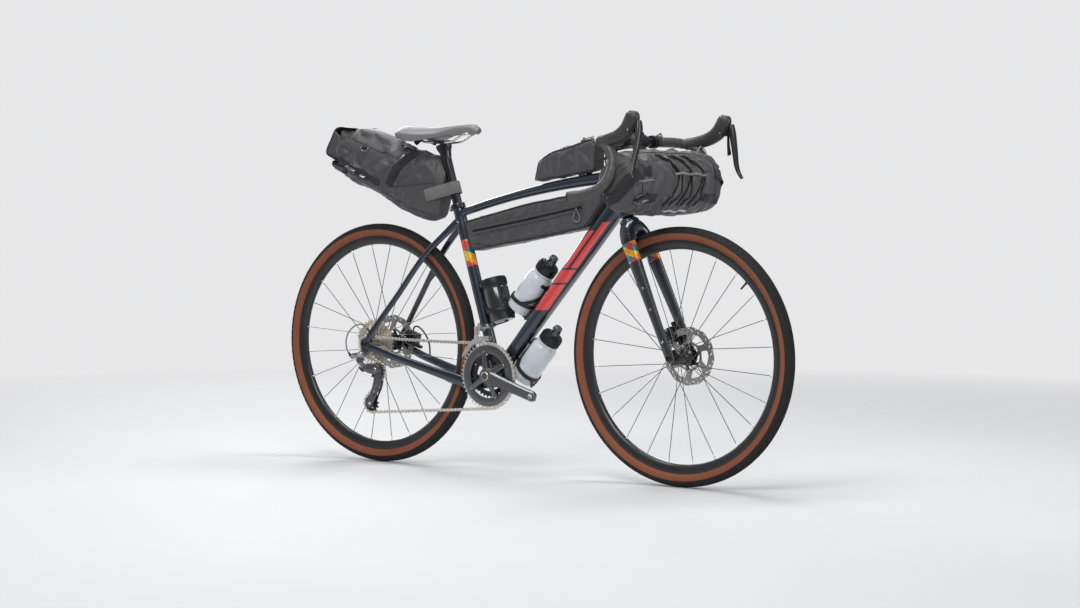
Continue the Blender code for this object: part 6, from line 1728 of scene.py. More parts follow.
def make_saddle():
    loops, stations, around = [], 72, 44
    for i in range(stations + 1):
        t = i / stations
        t -= 0.012 * math.sin(2 * math.pi * t)
        half, low, top = saddle_at(t)
        x = NOSE + (REAR - NOSE) * t
        pinch = 0.28
        if 0 < t < 1:
            pinch = max(pinch, min(1.0, (t / 0.05) ** 0.5) * min(1.0, ((1 - t) / 0.045) ** 0.5))
        half *= 0.55 + 0.45 * pinch
        middle = low + (top - low) * 0.45
        top, low = middle + (top - middle) * pinch, middle + (low - middle) * pinch
        drop = 0.025 * min(1, half / 0.04)
        groove = 0.0048 * min(1, max(0, (t - 0.1) / 0.12)) * min(1, max(0, (0.97 - t) / 0.1))
        loop = []
        for j in range(around):
            angle = 2 * math.pi * j / around
            c, s = math.cos(angle), math.sin(angle)
            a = signed_power(c, 0.72)
            if s >= 0:
                z = top - drop * (abs(a) ** 2.6) * (1 - 0.25 * (1 - s))
                z -= groove * math.exp(-(a * half / 0.0085) ** 2)
                z -= (top - drop - low) * 0.42 * (1 - s) ** 5
            else:
                skirt = low + 0.004 + 0.01 * (1 - abs(a) ** 1.6)
                z = skirt + (top - drop - skirt - (top - drop - low) * 0.42) * (1 + s) ** 4
                a *= 1 - 0.1 * (-s) ** 0.5
            loop.append(Vector((x, half * a, z)))
        loops.append(loop)
    cover = loft(loops)
    obj = add("saddle_cover_skin", cover, "saddle_cover", "seatpost", replaces=("saddle",),
              smooth=180, subdivide=1)
    rails = []
    for side in (-1, 1):
        line = rail_line()
        points = [line[0] + Vector((-0.022, side * 0.02, 0.014))] + line
        points.append(line[-1] + Vector((0.026, -side * 0.01, 0.006)))
        points = smooth_route([p + Y * side * 0.022 for p in points], 6)
        rails.append(pipe(points, 0.0035))
    add("saddle_rails", rails, "silver", "seatpost")


make_post()
make_saddle()

# Bottles and cages

BOTTLE = 0.0365


def bottle_axis(kind):
    if kind == "upper_bottle":
        return down_point(0.192, 0.069), DOWN_UP
    if kind == "lower_bottle":
        return down_point(0.052, -0.069), DOWN_UP
    return seat_point(0.411, 0.0605), SEAT_UP


def ribs(centre, up, count, reach, size, shift=0.0, bevel=0.0):
    """Blocks standing round an axis."""
    u = up.orthogonal().normalized()
    made = []
    for k in range(count):
        angle = 2 * math.pi * (k + shift) / count
        out = u * math.cos(angle) + up.cross(u) * math.sin(angle)
        made.append(block(size, centre + out * reach, right=out, normal=up.cross(out), bevel=bevel))
    return made


def make_bottle(name):
    foot, up = bottle_axis(name)
    r, length = BOTTLE, 0.196
    shape = [(0, 0.004), (r - 0.01, 0.004), (r - 0.006, 0), (r - 0.002, 0.0012), (r, 0.006),
             (r, 0.042), (r - 0.0009, 0.044), (r - 0.0009, 0.052), (r, 0.054), (r, length * 0.585),
             (r - 0.001, length * 0.61), (r - 0.005, length * 0.645), (r - 0.0078, length * 0.665),
             (r - 0.0082, length * 0.682), (r - 0.0052, length * 0.692), (r - 0.0046, length * 0.7),
             (r - 0.0052, length * 0.712), (r - 0.01, length * 0.716), (0, length * 0.716)]
    add(name + "_shell", turned(shape, foot, up, 64), "bottle_clear", name, replaces=(name,),
        smooth=45)
    cap = turned([(0, length * 0.712), (r - 0.0064, length * 0.712), (r - 0.0058, length * 0.722),
                  (r - 0.006, length * 0.82), (r - 0.0075, length * 0.838),
                  (r - 0.0105, length * 0.846), (0.0215, length * 0.848), (0.0195, length * 0.868),
                  (0, length * 0.868)], foot, up, 64)
    ridges = ribs(foot + up * length * 0.77, up, 44, r - 0.0058, (0.0014, 0.002, 0.019))
    ridges += ribs(foot + up * length * 0.9, up, 4, 0.0125, (0.006, 0.004, 0.022), shift=0.5,
                   bevel=0.001)
    add(name + "_cap", [cap, *ridges], "black_plastic", name, smooth=30)
    spout = turned([(0, length * 0.86), (0.015, length * 0.86), (0.0138, length * 0.9),
                    (0.0108, length * 0.915), (0.0104, length * 0.935), (0.0126, length * 0.945),
                    (0.0128, length * 0.968), (0.0112, length * 0.99), (0.008, length),
                    (0.004, length * 0.994), (0, length * 0.99)], foot, up, 40)
    add(name + "_spout", spout, "spout_grey", name, smooth=50)


def make_canister():
    foot, up = bottle_axis("tool_canister")
    r, length = BOTTLE, 0.127
    shell = turned([(0, 0), (r - 0.005, 0), (r - 0.001, 0.0015), (r, 0.006), (r, length - 0.034),
                    (r - 0.001, length - 0.031), (r - 0.0024, length - 0.03),
                    (r - 0.0024, length - 0.026), (0, length - 0.026)], foot, up, 56)
    add("canister_shell", shell, "bottle_smoke", "tool_canister", replaces=("tool_canister",),
        smooth=45)
    lid = turned([(0, length - 0.027), (r - 0.001, length - 0.027), (r + 0.0004, length - 0.0245),
                  (r + 0.0004, length - 0.006), (r - 0.002, length - 0.0015), (r - 0.008, length),
                  (r - 0.01, length - 0.002), (0, length - 0.002)], foot, up, 56)
    ridges = ribs(foot + up * (length - 0.015), up, 36, r + 0.0004, (0.0011, 0.0026, 0.015))
    add("canister_lid", [lid, *ridges], "black_plastic", "tool_canister", smooth=30)


def make_cage(name, bottle, toward, boss):
    """A moulded cage: a back strip with two screws, a shelf, and two arms that wrap the bottle."""
    foot, up = bottle_axis(bottle)
    near = BOTTLE + 0.0024
    side = up.cross(toward).normalized()
    strip = block((0.003, 0.017, 0.125), foot + up * 0.055 + toward * near, right=toward,
                  normal=side, bevel=0.001)
    shelf = block((0.052, 0.014, 0.0032), foot - up * 0.0035 + toward * (near - 0.026),
                  right=toward, normal=side, bevel=0.0012)
    lip = block((0.004, 0.013, 0.011), foot + up * 0.001 - toward * (0.052 - near), right=toward,
                normal=side, bevel=0.0012)
    parts = [strip, shelf, lip]
    mid = BOTTLE + 0.0032
    hoop = []
    for t in range(49):
        c, s = math.cos(2 * math.pi * t / 48), math.sin(2 * math.pi * t / 48)
        hoop.append(foot + up * (0.032 + 0.005 * c) + (toward * c + side * s) * mid)
    parts.append(sweep(hoop, [(0.0058, 0.0016)] * len(hoop), 14, across=up, power=3.0))

    def wrapped(degrees, height, reach=mid):
        angle = math.radians(degrees)
        return foot + up * height + (toward * math.cos(angle) + side * math.sin(angle)) * reach

    for sense in (-1, 1):
        arm, hook, leg = [], [], []
        for t in range(13):
            share = t / 12
            arm.append(wrapped(sense * (10 + 56 * share), 0.074 - 0.038 * share ** 0.8))
            hook.append(wrapped(sense * (4 + 34 * share), 0.11 + 0.004 * share))
            leg.append(wrapped(sense * (180 - 26 * share), 0.001 + 0.027 * share,
                               mid - 0.0016 * (1 - share)))
        for line, half in ((arm, 0.005), (hook, 0.0052), (leg, 0.0042)):
            parts.append(sweep(line, [(half, 0.0016)] * len(line), 12, across=up, power=3.0))
    add(name + "_moulding", parts, "black_plastic", "frame", replaces=(name,), smooth=40)
    bosses = [turned([(0, 0), (0.0055, 0), (0.005, boss), (0, boss)],
                     foot + up * h + toward * (near + 0.001), toward, 20) for h in CAGE_SCREWS]
    add(name + "_bosses", bosses, "black_alloy", "frame")
    screws = [bolt(foot + up * h + toward * (near - 0.0016), -toward, 0.004, 0.0012)
              for h in CAGE_SCREWS]
    add(name + "_screws", screws, "silver", "frame")


make_bottle("upper_bottle")
make_bottle("lower_bottle")
make_canister()
make_cage("upper_cage", "upper_bottle", -DOWN_NORMAL, 0.007)
make_cage("lower_cage", "lower_bottle", DOWN_NORMAL, 0.007)
make_cage("canister_cage", "tool_canister", -SEAT_AHEAD, 0.0045)

# Soft goods: skins


def stuffed(shape, voxel, hold, pressure, grow, limit, seed, frames=16):
    """The shape as filled cloth: it creases between the places where it is held."""
    base = fused(voxel, 2, shape)
    mesh = bpy.data.meshes.new("cloth")
    rest = [v.co.copy() for v in base.verts]
    base.normal_update()
    for v in base.verts:
        v.co += v.normal * 0.0016 * noise.noise(v.co * 26 + Vector((seed, 0, 0)))
    base.to_mesh(mesh)
    obj = bpy.data.objects.new("cloth", mesh)
    bpy.context.scene.collection.objects.link(obj)
    group = obj.vertex_groups.new(name="held")
    for v in mesh.vertices:
        weight = hold(v.co)
        if weight > 0:
            group.add([v.index], min(1.0, weight), "REPLACE")
    modifier = obj.modifiers.new("cloth", "CLOTH")
    settings = modifier.settings
    settings.quality, settings.mass, settings.air_damping = 4, 0.25, 3.0
    settings.tension_stiffness = settings.compression_stiffness = 20
    settings.shear_stiffness, settings.bending_stiffness = 8, 0.35
    settings.use_pressure, settings.uniform_pressure_force = True, pressure
    settings.shrink_min = -grow
    settings.vertex_group_mass = "held"
    settings.effector_weights.gravity = 0
    modifier.collision_settings.use_collision = False
    modifier.point_cache.frame_start, modifier.point_cache.frame_end = 1, frames
    for moment in range(1, frames + 1):
        bpy.context.scene.frame_set(moment)
    result = obj.evaluated_get(bpy.context.evaluated_depsgraph_get()).to_mesh()
    made = bmesh.new()
    made.from_mesh(result)
    for v, start in zip(made.verts, rest):
        move = v.co - start
        if move.length > limit:
            v.co = start + move * (limit / move.length)
    bpy.data.objects.remove(obj)
    bpy.context.scene.frame_set(1)
    return made


def evened(vectors, passes):
    for _ in range(passes):
        middle = [(a + b * 2 + c) / 4 for a, b, c in zip(vectors, vectors[1:], vectors[2:])]
        vectors = [vectors[0]] + middle + [vectors[-1]]
    return vectors


def laid(tree, guide, off, spacing=0.004):
    """The line that the guide makes on a skin, with the way out at each point."""
    found = [tree.find_nearest(p)[:2] for p in even_route(guide, spacing)]
    ways = [n.normalized() for n in evened([n for _, n in found], 6)]
    return evened([place + n * off for (place, _), n in zip(found, ways)], 3), ways


def ribbon(points, ways, width, thick):
    loops, along = [], tangents(points)
    for k, (point, way, tangent) in enumerate(zip(points, ways, along)):
        out = square_to(way, tangent)
        side = tangent.cross(out)
        half = width / 2 * (0.86 if k in (0, len(points) - 1) else 1.0)
        a, c = half, thick / 2
        corners = ((a, -c * 0.5), (a, c * 0.5), (a - c, c), (0, c), (c - a, c), (-a, c * 0.5),
                   (-a, -c * 0.5), (c - a, -c), (0, -c), (a - c, -c))
        loops.append([point + side * x + out * y for x, y in corners])
    return loft(loops)


def middle_of(tree, guide, off):
    """The place and the way out halfway along the line that the guide makes on a skin."""
    return [v[len(v) // 2] for v in laid(tree, guide, off)]


def strap(tree, guide, width, thick=0.0018, off=0.001):
    return ribbon(*laid(tree, guide, off + thick / 2), width, thick)


def seam(tree, guide, radius=0.001, off=0.0004):
    return pipe(laid(tree, guide, off)[0], radius, 8)


def frame_buckle(centre, along, out, width, length, bars, depth=0.0032):
    """A ladder buckle: a flat frame crossed by bars, with the webbing through it."""
    body = block((length, width + 0.008, depth), centre, right=along, normal=out, bevel=0.001)
    slots = []
    room = (length - 0.006) / (bars + 1)
    for k in range(bars + 1):
        place = centre + along * (-length / 2 + 0.003 + room * (k + 0.5))
        slots.append(block((room - 0.0022, width + 0.001, depth * 3), place, right=along,
                           normal=out))
    return cut(body, *slots)


def clip_buckle(centre, along, out, width):
    """A side-release buckle: a socket, and a plug with two sprung arms."""
    side = along.cross(out).normalized()
    socket = block((0.026, width + 0.006, 0.0075), centre + along * 0.008, right=along, normal=out,
                   bevel=0.0018)
    gaps = [block((0.014, 0.006, 0.012), centre + along * 0.01 + side * s * (width / 2 + 0.001),
                  right=along, normal=out, bevel=0.001) for s in (-1, 1)]
    plug = block((0.01, width + 0.004, 0.006), centre - along * 0.0125, right=along, normal=out,
                 bevel=0.0014)
    arms = [smooth_sweep([centre - along * 0.01 + side * s * (width / 2 - 0.002),
                          centre + along * 0.004 + side * s * (width / 2 + 0.001),
                          centre + along * 0.016 + side * s * (width / 2 - 0.0005)],
                         [(0.0016, 0.002)] * 3, 4, 10, across=out) for s in (-1, 1)]
    return merged(cut(socket, *gaps), plug, *arms)


def zipper(points, ways):
    """Tape and coil teeth of a zip along these points."""
    tape = ribbon(points, ways, 0.02, 0.0008)
    along = tangents(points)
    teeth = []
    reach = 0.0
    for a, b, way, tangent in zip(points, points[1:], ways, along):
        reach += (b - a).length
        while reach > COIL_PITCH:
            reach -= COIL_PITCH
            teeth.append(block((0.0013, 0.0052, 0.0018), b + way * 0.0011 - tangent * reach,
                               right=tangent, normal=way))
    return tape, teeth


def zip_pull(name, place, along, out, body, drop):
    side = along.cross(out).normalized()
    slider = block((0.0105, 0.008, 0.0042), place + out * 0.003, right=along, normal=out,
                   bevel=0.0012)
    bridge_bar = smooth_sweep([place + out * 0.0045 - along * 0.004, place + out * 0.0072,
                               place + out * 0.0045 + along * 0.004], [(0.0011, 0.0016)] * 3, 4, 10,
                              across=side)
    add(name + "_slider", [slider, bridge_bar], "grey_alloy", body)
    top = place + out * 0.006
    wide = drop.cross(out).normalized()
    loop_points = [top, top + drop * 0.01 + wide * 0.004 + out * 0.001,
                   top + drop * 0.024 + wide * 0.011, top + drop * 0.034 + wide * 0.009
                   - out * 0.001, top + drop * 0.038, top + drop * 0.034 - wide * 0.009,
                   top + drop * 0.024 - wide * 0.011, top + drop * 0.01 - wide * 0.004
                   + out * 0.001, top]
    add(name + "_pull_loop", pipe(smooth_route(loop_points, 6), 0.0015, 10), "housing_grey", body)
    tab = block((0.007, 0.013, 0.004), top + drop * 0.0075, right=wide, normal=out, bevel=0.0012)
    add(name + "_pull_tab", tab, "rubber", body)


def bag_skin(node, cloth, body):
    """The bag's cloth as a padded piece, and a tree to lay its straps and seams on."""
    tree = BVHTree.FromBMesh(cloth)
    skin = add(node + "_skin", cloth, "bag_cloth", body, replaces=(node,), smooth=180, subdivide=1)
    return tree


def drawn_in(outline, depth):
    """The outline moved inwards by this depth."""
    centre = sum(outline, Vector((0, 0))) / len(outline)
    moved = []
    for k, point in enumerate(outline):
        way = outline[(k + 1) % len(outline)] - outline[k - 1]
        inward = Vector((-way.y, way.x)).normalized()
        if inward.dot(centre - point) < 0:
            inward = -inward
        moved.append(point + inward * depth)
    return moved


def pillow(outline, half, inset):
    """A flat bag between two sides, from its outline in x and z."""
    loops = []
    for y, depth in ((-half, inset * 1.4), (-half + inset * 0.22, inset * 0.55),
                     (-half + inset * 0.62, inset * 0.14), (-half + inset * 1.1, 0.0),
                     (half - inset * 1.1, 0.0), (half - inset * 0.62, inset * 0.14),
                     (half - inset * 0.22, inset * 0.55), (half, inset * 1.4)):
        loops.append([Vector((p.x, y, p.y)) for p in drawn_in(outline, depth)])
    return loft(loops)


def folded(profile, half_width, thick, wave, taper, seed):
    """A sheet folded along the profile in x and z, and as wide as this across."""
    points = smooth_route([Vector((x, 0, z)) for x, z in profile], 5)
    along = tangents(points)
    loops, count = [], 14
    for k, (point, tangent) in enumerate(zip(points, along)):
        out = Y.cross(tangent).normalized()
        upper, lower = [], []
        share = k / (len(points) - 1)
        for j in range(count + 1):
            y = (2 * j / count - 1) * half_width * (1 - taper * share)
            lift = wave * noise.noise(Vector((y * 30 + seed, point.x * 22, point.z * 22)))
            upper.append(point + Y * y + out * (thick / 2 + lift))
            lower.append(point + Y * y + out * (lift - thick / 2))
        loops.append(upper + lower[::-1])
    return loft(loops)


# Saddle bag

SADDLE_BAG = [((-0.278, 0.79), 0.0275, 0.069, 80), ((-0.315, 0.802), 0.0405, 0.0905, 76),
              ((-0.39, 0.826), 0.056, 0.092, 70), ((-0.47, 0.853), 0.066, 0.0865, 67),
              ((-0.55, 0.884), 0.0715, 0.0825, 66), ((-0.6, 0.905), 0.073, 0.075, 68),
              ((-0.63, 0.918), 0.0715, 0.06, 71), ((-0.648, 0.924), 0.069, 0.04, 74)]


def bag_station(t):
    """Centre, half sizes and lean of the saddle bag at this share of its length."""
    rows = [(x, z, a, b, lean) for (x, z), a, b, lean in SADDLE_BAG]
    place = min(max(t, 0), 1) * (len(rows) - 1)
    k = min(int(place), len(rows) - 2)
    four = [rows[max(k - 1, 0)], rows[k], rows[k + 1], rows[min(k + 2, len(rows) - 1)]]
    return [catmull(*(row[i] for row in four), place - k) for i in range(5)]


def bag_point(t, angle, grow=1.0):
    """A point on the saddle bag: 0 degrees is its right side and 90 its top."""
    x, z, half_width, half_height, lean = bag_station(t)
    lean = math.radians(lean)
    up = plane_way(lean)
    c, s = turn_of(angle)
    a = signed_power(c, 2 / 2.7) * half_width * grow
    b = signed_power(s, 2 / 2.7) * half_height * grow
    a *= 1 - 0.2 * max(0, b / half_height) ** 2 - 0.1 * max(0, -b / half_height) ** 2
    return Vector((x, -a, z)) + up * b


def held_saddle_bag(co):
    weight = 0.0
    if co.x > -0.292 or co.x < -0.632:
        weight = 1.0
    line = (co.x + 0.3524) * 0.738 - (co.z - 0.9237) * 0.675
    if abs(line) < 0.013 and co.z > 0.82:
        weight = max(weight, 0.92)
    if abs((co.z - 0.8796) - (co.x + 0.604) * -0.48) < 0.01 and co.x < -0.48 and abs(co.y) > 0.04:
        weight = max(weight, 0.85)
    if co.z < 0.838 and abs((co.z - 0.809) - (co.x + 0.4387) * 0.06) < 0.006 and co.x > -0.46:
        weight = max(weight, 0.8)
    return weight


ROLL_SIDES = ((0.0655, ((-0.65, 0.978), (-0.68, 0.911), (-0.625, 0.882), (-0.619, 0.913),
                        (-0.629, 0.96))),
              (0.061, ((-0.659, 0.884), (-0.654, 0.864), (-0.612, 0.845), (-0.608, 0.87))))


def roll_neck():
    """The mouth of the saddle bag, pulled wide and flat below its rolled end."""
    loops = []
    for k in range(7):
        share = k / 6
        ease = share * share * (3 - 2 * share)
        loop = []
        for j in range(64):
            angle = 360 * j / 64
            c, s = turn_of(angle)
            side = signed_power(c, 0.22) * 0.065
            high = signed_power(s, 0.22) * (0.059 if s > 0 else 0.036)
            mouth = Vector((-0.636 + 0.24 * high, -side, 0.9235 + 0.97 * high))
            point = bag_point(0.7 + 0.08 * share, angle, 0.89).lerp(mouth, ease)
            loop.append(point + Vector((0, 0, 0.0016)) * noise.noise(point * 26))
        loops.append(loop)
    return loft(loops)


def make_saddle_bag():
    loops = [[bag_point(i / 42, 360 * j / 40) for j in range(40)] for i in range(43)]
    room = rod(seat_point(0.66), seat_point(0.94), 0.015, 32)
    cloth = stuffed(cut(loft(loops), room), 0.0052, held_saddle_bag, pressure=5.0, grow=0.075,
                    limit=0.0085, frames=18, seed=3.0)
    tree = bag_skin("saddle_bag", cloth, "seatpost")
    webs, frames, clips, seams, dark = [], [], [], [], []
    for s in (-1, 1):
        main = points_at(s, (-0.3639, 0.04, 0.9332), (-0.3766, 0.052, 0.9071),
                         (-0.395, 0.062, 0.89), (-0.411, 0.068, 0.868), (-0.429, 0.067, 0.84),
                         (-0.4463, 0.062, 0.816))
        webs.append(strap(tree, main, 0.025, 0.002, 0.0014))
        tail = laid(tree, main[3:6], 0.0046)
        webs.append(ribbon(tail[0][: len(tail[0]) * 2 // 3], tail[1][: len(tail[1]) * 2 // 3],
                           0.024, 0.0016))
        spot, way = middle_of(tree, main[1:4], 0.0068)
        along = square_to((main[3] - main[1]).normalized(), way)
        frames.append(frame_buckle(spot, along, way, 0.025, 0.028, 2))
        hanger = [main[0], Vector((-0.356, s * 0.034, 0.943)), Vector((-0.35, s * 0.028, 0.953))]
        dark.append(ribbon(*hang_line(tree, hanger), 0.022, 0.002))
        low = points_at(s, (-0.63, 0.069, 0.892), (-0.604, 0.074, 0.8796), (-0.577, 0.075, 0.8648),
                        (-0.5462, 0.074, 0.85), (-0.5155, 0.072, 0.8353), (-0.48, 0.068, 0.82))
        webs.append(strap(tree, low, 0.02, 0.0018, 0.0014))
        spot, way = middle_of(tree, low[1:4], 0.006)
        along = (low[3] - low[1]).normalized()
        clips.append(clip_buckle(spot, square_to(along, way), way, 0.02))
        spot, way = middle_of(tree, low[3:5], 0.0064)
        frames.append(frame_buckle(spot, square_to(along, way), way, 0.02, 0.016, 1))
        ridge = points_at(s, (-0.6, 0.058, 0.956), (-0.5484, 0.064, 0.943), (-0.4986, 0.064, 0.924),
                          (-0.419, 0.06, 0.896), (-0.37, 0.054, 0.876))
        seams.append(seam(tree, ridge, 0.0012))
        edge = points_at(s, (-0.448, 0.058, 0.8085), (-0.41, 0.056, 0.8115),
                         (-0.3709, 0.053, 0.8147), (-0.33, 0.046, 0.818), (-0.295, 0.036, 0.8195))
        seams.append(seam(tree, edge, 0.0009))
        lower = points_at(s, (-0.62, 0.052, 0.856), (-0.55, 0.056, 0.825), (-0.47, 0.052, 0.79),
                          (-0.39, 0.044, 0.756), (-0.31, 0.032, 0.728))
        seams.append(seam(tree, lower, 0.001))
        spot, way = middle_of(tree, points_at(s, (-0.565, 0.067, 0.9348), (-0.5381, 0.069, 0.93),
                                              (-0.5112, 0.068, 0.9262)), 0.003)
        side = X - way * X.dot(way)
        drop = (-Z + way * Z.dot(way)).normalized()
        hoop = [spot + side * 0.0125 * c + drop * 0.013 * s
                for c, s in map(turn_of, range(0, 181, 12))]
        hoop = [spot + side * 0.0125 - drop * 0.001] + hoop + [spot - side * 0.0125 - drop * 0.001]
        frames.append(pipe(hoop, 0.0014, 12))
        frames.append(rod(hoop[0], hoop[-1], 0.0014, 12))
        webs.append(ribbon([spot - drop * 0.011 - way * 0.0015, spot - drop * 0.004,
                            spot + way * 0.0022, spot + drop * 0.0028,
                            spot + drop * 0.001 - way * 0.0018], [way] * 5, 0.018, 0.0014))
    add("saddle_bag_webbing", webs, "webbing", "seatpost", smooth=40)
    add("saddle_bag_frames", frames, "bright_grey", "seatpost", smooth=40)
    # The clips are black plastic. Their mid grey is a painted highlight, standing in for the light
    # along their glossy edges.
    add("saddle_bag_clips", clips, "spout_grey", "seatpost", smooth=40)
    add("saddle_bag_seams", seams, "bag_dark", "seatpost", smooth=60)
    add("saddle_bag_hangers", dark, "webbing", "seatpost", smooth=40)
    flaps = [folded([(-0.598, 0.983), (-0.62, 0.985), (-0.645, 0.979), (-0.665, 0.948),
                     (-0.682, 0.911), (-0.66, 0.896), (-0.635, 0.884), (-0.62, 0.88)], 0.069,
                    0.0014, wave=0.002, taper=0.05, seed=1.0)]
    for s in (-1, 1):
        for y, corners in ROLL_SIDES:
            panel = pillow(rounded(corners, 0.004, 4), 0.0042, 0.004)
            bmesh.ops.translate(panel, verts=panel.verts, vec=Y * s * y)
            flaps.append(panel)
    add("rolled_end", flaps, "bag_cloth", "seatpost", smooth=60)
    add("roll_neck", roll_neck(), "bag_cloth", "seatpost", smooth=60)
    under = [folded([(-0.62, 0.88), (-0.642, 0.886), (-0.66, 0.887), (-0.664, 0.876),
                     (-0.652, 0.866), (-0.63, 0.856), (-0.605, 0.85)], 0.06, 0.0016, wave=0.002,
                    taper=0.0, seed=9.0)]
    add("rolled_end_tail", under, "bag_dark", "seatpost", smooth=60)
    band_points = []
    for s in (-1, 1):
        half = [(-0.072, 0.048), (-0.056, 0.043), (-0.035, 0.0345), (-0.012, 0.0222)]
        if s > 0:
            half = half[::-1]
            for ahead, across in map(turn_of, range(-60, 61, 10)):
                band_points.append(seat_point(POST_BAND_AT) + SEAT_AHEAD * (0.0195 * ahead)
                                   + Y * 0.0195 * across)
        for ahead, across in half:
            band_points.append(seat_point(POST_BAND_AT) + SEAT_AHEAD * ahead + Y * s * across)
    band_points = even_route(band_points, 0.004)
    band_ways = [Vector((t.y, -t.x, 0)).normalized() for t in tangents(band_points)]
    band_ways = [w - SEAT_UP * w.dot(SEAT_UP) for w in band_ways]
    add("post_band", ribbon(band_points, band_ways, 0.036, 0.0024), "band_grey", "seatpost",
        smooth=60)


def hang_line(tree, points):
    route = even_route(points, 0.004)
    way = tree.find_nearest(points[0])[1]
    return route, [way] * len(route)


make_saddle_bag()

# Frame bag and top-tube bag

FRAME_BAG = [(-0.2, 0.712), (-0.172, 0.624),
             (down_point(0.526, 0.029).x, down_point(0.526, 0.029).z),
             (down_point(0.62, 0.03).x, down_point(0.62, 0.03).z), (0.285, 0.805), (0.025, 0.764)]
TOP_BAG = [(0.05, 0.823), (0.064, 0.88), (0.1, 0.901), (0.25, 0.94), (0.261, 0.93),
           (0.259, 0.854)]


def edge_piping(outline, y, depth, radius):
    """Piping round both sides of a flat bag."""
    made = []
    for s in (-1, 1):
        edge = [Vector((p.x, s * y, p.y)) for p in drawn_in(outline, depth)]
        made.append(pipe(edge + edge[:1], radius, 8))
    return made


def divided(outline):
    """The outline with twelve points to each of its sides."""
    return [p.lerp(q, i / 12) for p, q in zip(outline, outline[1:] + outline[:1])
            for i in range(12)]


def make_frame_bag():
    outline = rounded(FRAME_BAG, 0.016)
    half = 0.0285

    def held(co):
        if abs(co.y) < 0.0225:
            return 1.0
        near = min((Vector((co.x, co.z)) - p).length for p in dense)
        on_zip = abs((co.z - 0.681) - (co.x + 0.1707) * 0.174) < 0.011
        return 1.0 if near < 0.013 else (0.8 if on_zip else 0.0)

    dense = divided(outline)
    cloth = stuffed(pillow(outline, half, 0.009), 0.005, held, pressure=3.0, grow=0.045,
                    limit=0.0045, seed=7.0)
    tree = bag_skin("frame_bag", cloth, "frame")
    add("frame_bag_piping", edge_piping(outline, half - 0.0016, 0.0042, 0.0016), "bag_dark",
        "frame", smooth=60)
    for s, label in SIDES:
        line = points_at(s, (-0.162, half, 0.6825), (0.03, half, 0.717), (0.218, half, 0.753))
        points, ways = laid(tree, line, 0.001)
        tape, teeth = zipper(points, ways)
        add(label + "_zip_tape", tape, "bag_dark", "frame", smooth=60)
        add(label + "_zip_teeth", teeth, "black_plastic", "frame")
        guards = [strap(tree, [p + Z * shift for p in line], 0.0075, 0.0016, 0.0016)
                  for shift in (0.0068, -0.0068)]
        add(label + "_zip_guards", guards, "bag_cloth", "frame", smooth=60)
        along = (line[-1] - line[0]).normalized()
        zip_pull(label + "_zip", points[-4] + ways[-4] * 0.0012, along, ways[-4], "frame", -Z)
    panel = []
    for s in (-1, 1):
        patch = points_at(s, (-0.16, half, 0.648), (-0.05, half, 0.642), (0.1, half, 0.65),
                          (0.22, half, 0.675))
        panel.append(seam(tree, patch, 0.0009))
    add("frame_bag_seams", panel, "bag_dark", "frame", smooth=60)


def make_top_bag():
    outline = rounded(TOP_BAG, 0.01)
    half = 0.0245
    dense = divided(outline)

    def held(co):
        near = min((Vector((co.x, co.z)) - p).length for p in dense)
        return 1.0 if near < 0.007 and abs(co.y) > 0.012 or co.z < 0.8 else 0.0

    cloth = stuffed(pillow(outline, half, 0.008), 0.0045, held, pressure=4.0, grow=0.05,
                    limit=0.0045, seed=11.0)
    tree = bag_skin("top_tube_bag", cloth, "frame")
    add("top_tube_bag_piping", edge_piping(outline, half - 0.003, 0.0026, 0.0014), "bag_dark",
        "frame", smooth=60)
    line = points_at(1, (0.074, -0.006, 0.888), (0.105, -0.006, 0.903), (0.17, -0.006, 0.92),
                     (0.238, -0.006, 0.937))
    points, ways = laid(tree, line, 0.0008)
    tape, teeth = zipper(points, ways)
    add("top_zip_tape", tape, "bag_dark", "frame", smooth=60)
    add("top_zip_teeth", teeth, "black_plastic", "frame")
    guards = [strap(tree, [p + Y * shift for p in line], 0.007, 0.0014, 0.0014)
              for shift in (-0.0066, 0.0066)]
    add("top_zip_guards", guards, "bag_cloth", "frame", smooth=60)
    along = (line[3] - line[2]).normalized()
    zip_pull("top_zip", points[-9] + ways[-9] * 0.0012, along, ways[-9], "frame", along)
    hoops = []
    rear, front = seat_point(TOP_TUBE_REAR), steer_point(TOP_TUBE_FRONT)
    up = Vector((-0.19, 0, 0.98))
    for share in (0.56, 0.8):
        centre = rear.lerp(front, share) + Z * 0.232 * share * (1 - share)
        points, ways = [], []
        for a in range(0, 361, 12):
            c, s = turn_of(a)
            points.append(centre + Y * c * 0.0215 + up * (s * 0.0215 + 0.002))
            ways.append(Y * c + up * s)
        hoops.append(ribbon(points, ways, 0.022, 0.0016))
    add("top_bag_straps", hoops, "webbing", "frame", smooth=60)


make_frame_bag()
make_top_bag()

# Handlebar bag

BAR_BAG = Vector((0.465, 0, 0.8175))
BAR_BAG_HALF = 0.222
LOOP_AT = (-0.07, 0.07)


def bar_bag_point(y, angle, off=0.0):
    """A point on the bag's round skin: 0 degrees is its front and 90 its top."""
    t = min(1.0, abs(y) / BAR_BAG_HALF) ** 4
    depth, tall = 0.0612 - 0.0085 * t, 0.0812 - 0.0095 * t
    if angle % 360 < 180:
        tall += 0.006
    c, s = turn_of(angle)
    a = signed_power(c, 2 / 2.25) * (depth + off)
    b = signed_power(s, 2 / 2.25) * (tall + off)
    return BAR_BAG + Vector((a, y, b))


CHEVRONS = ((-0.087, -0.01, -0.069), (-0.024, 0.045, -0.004), (0.034, 0.103, 0.053))


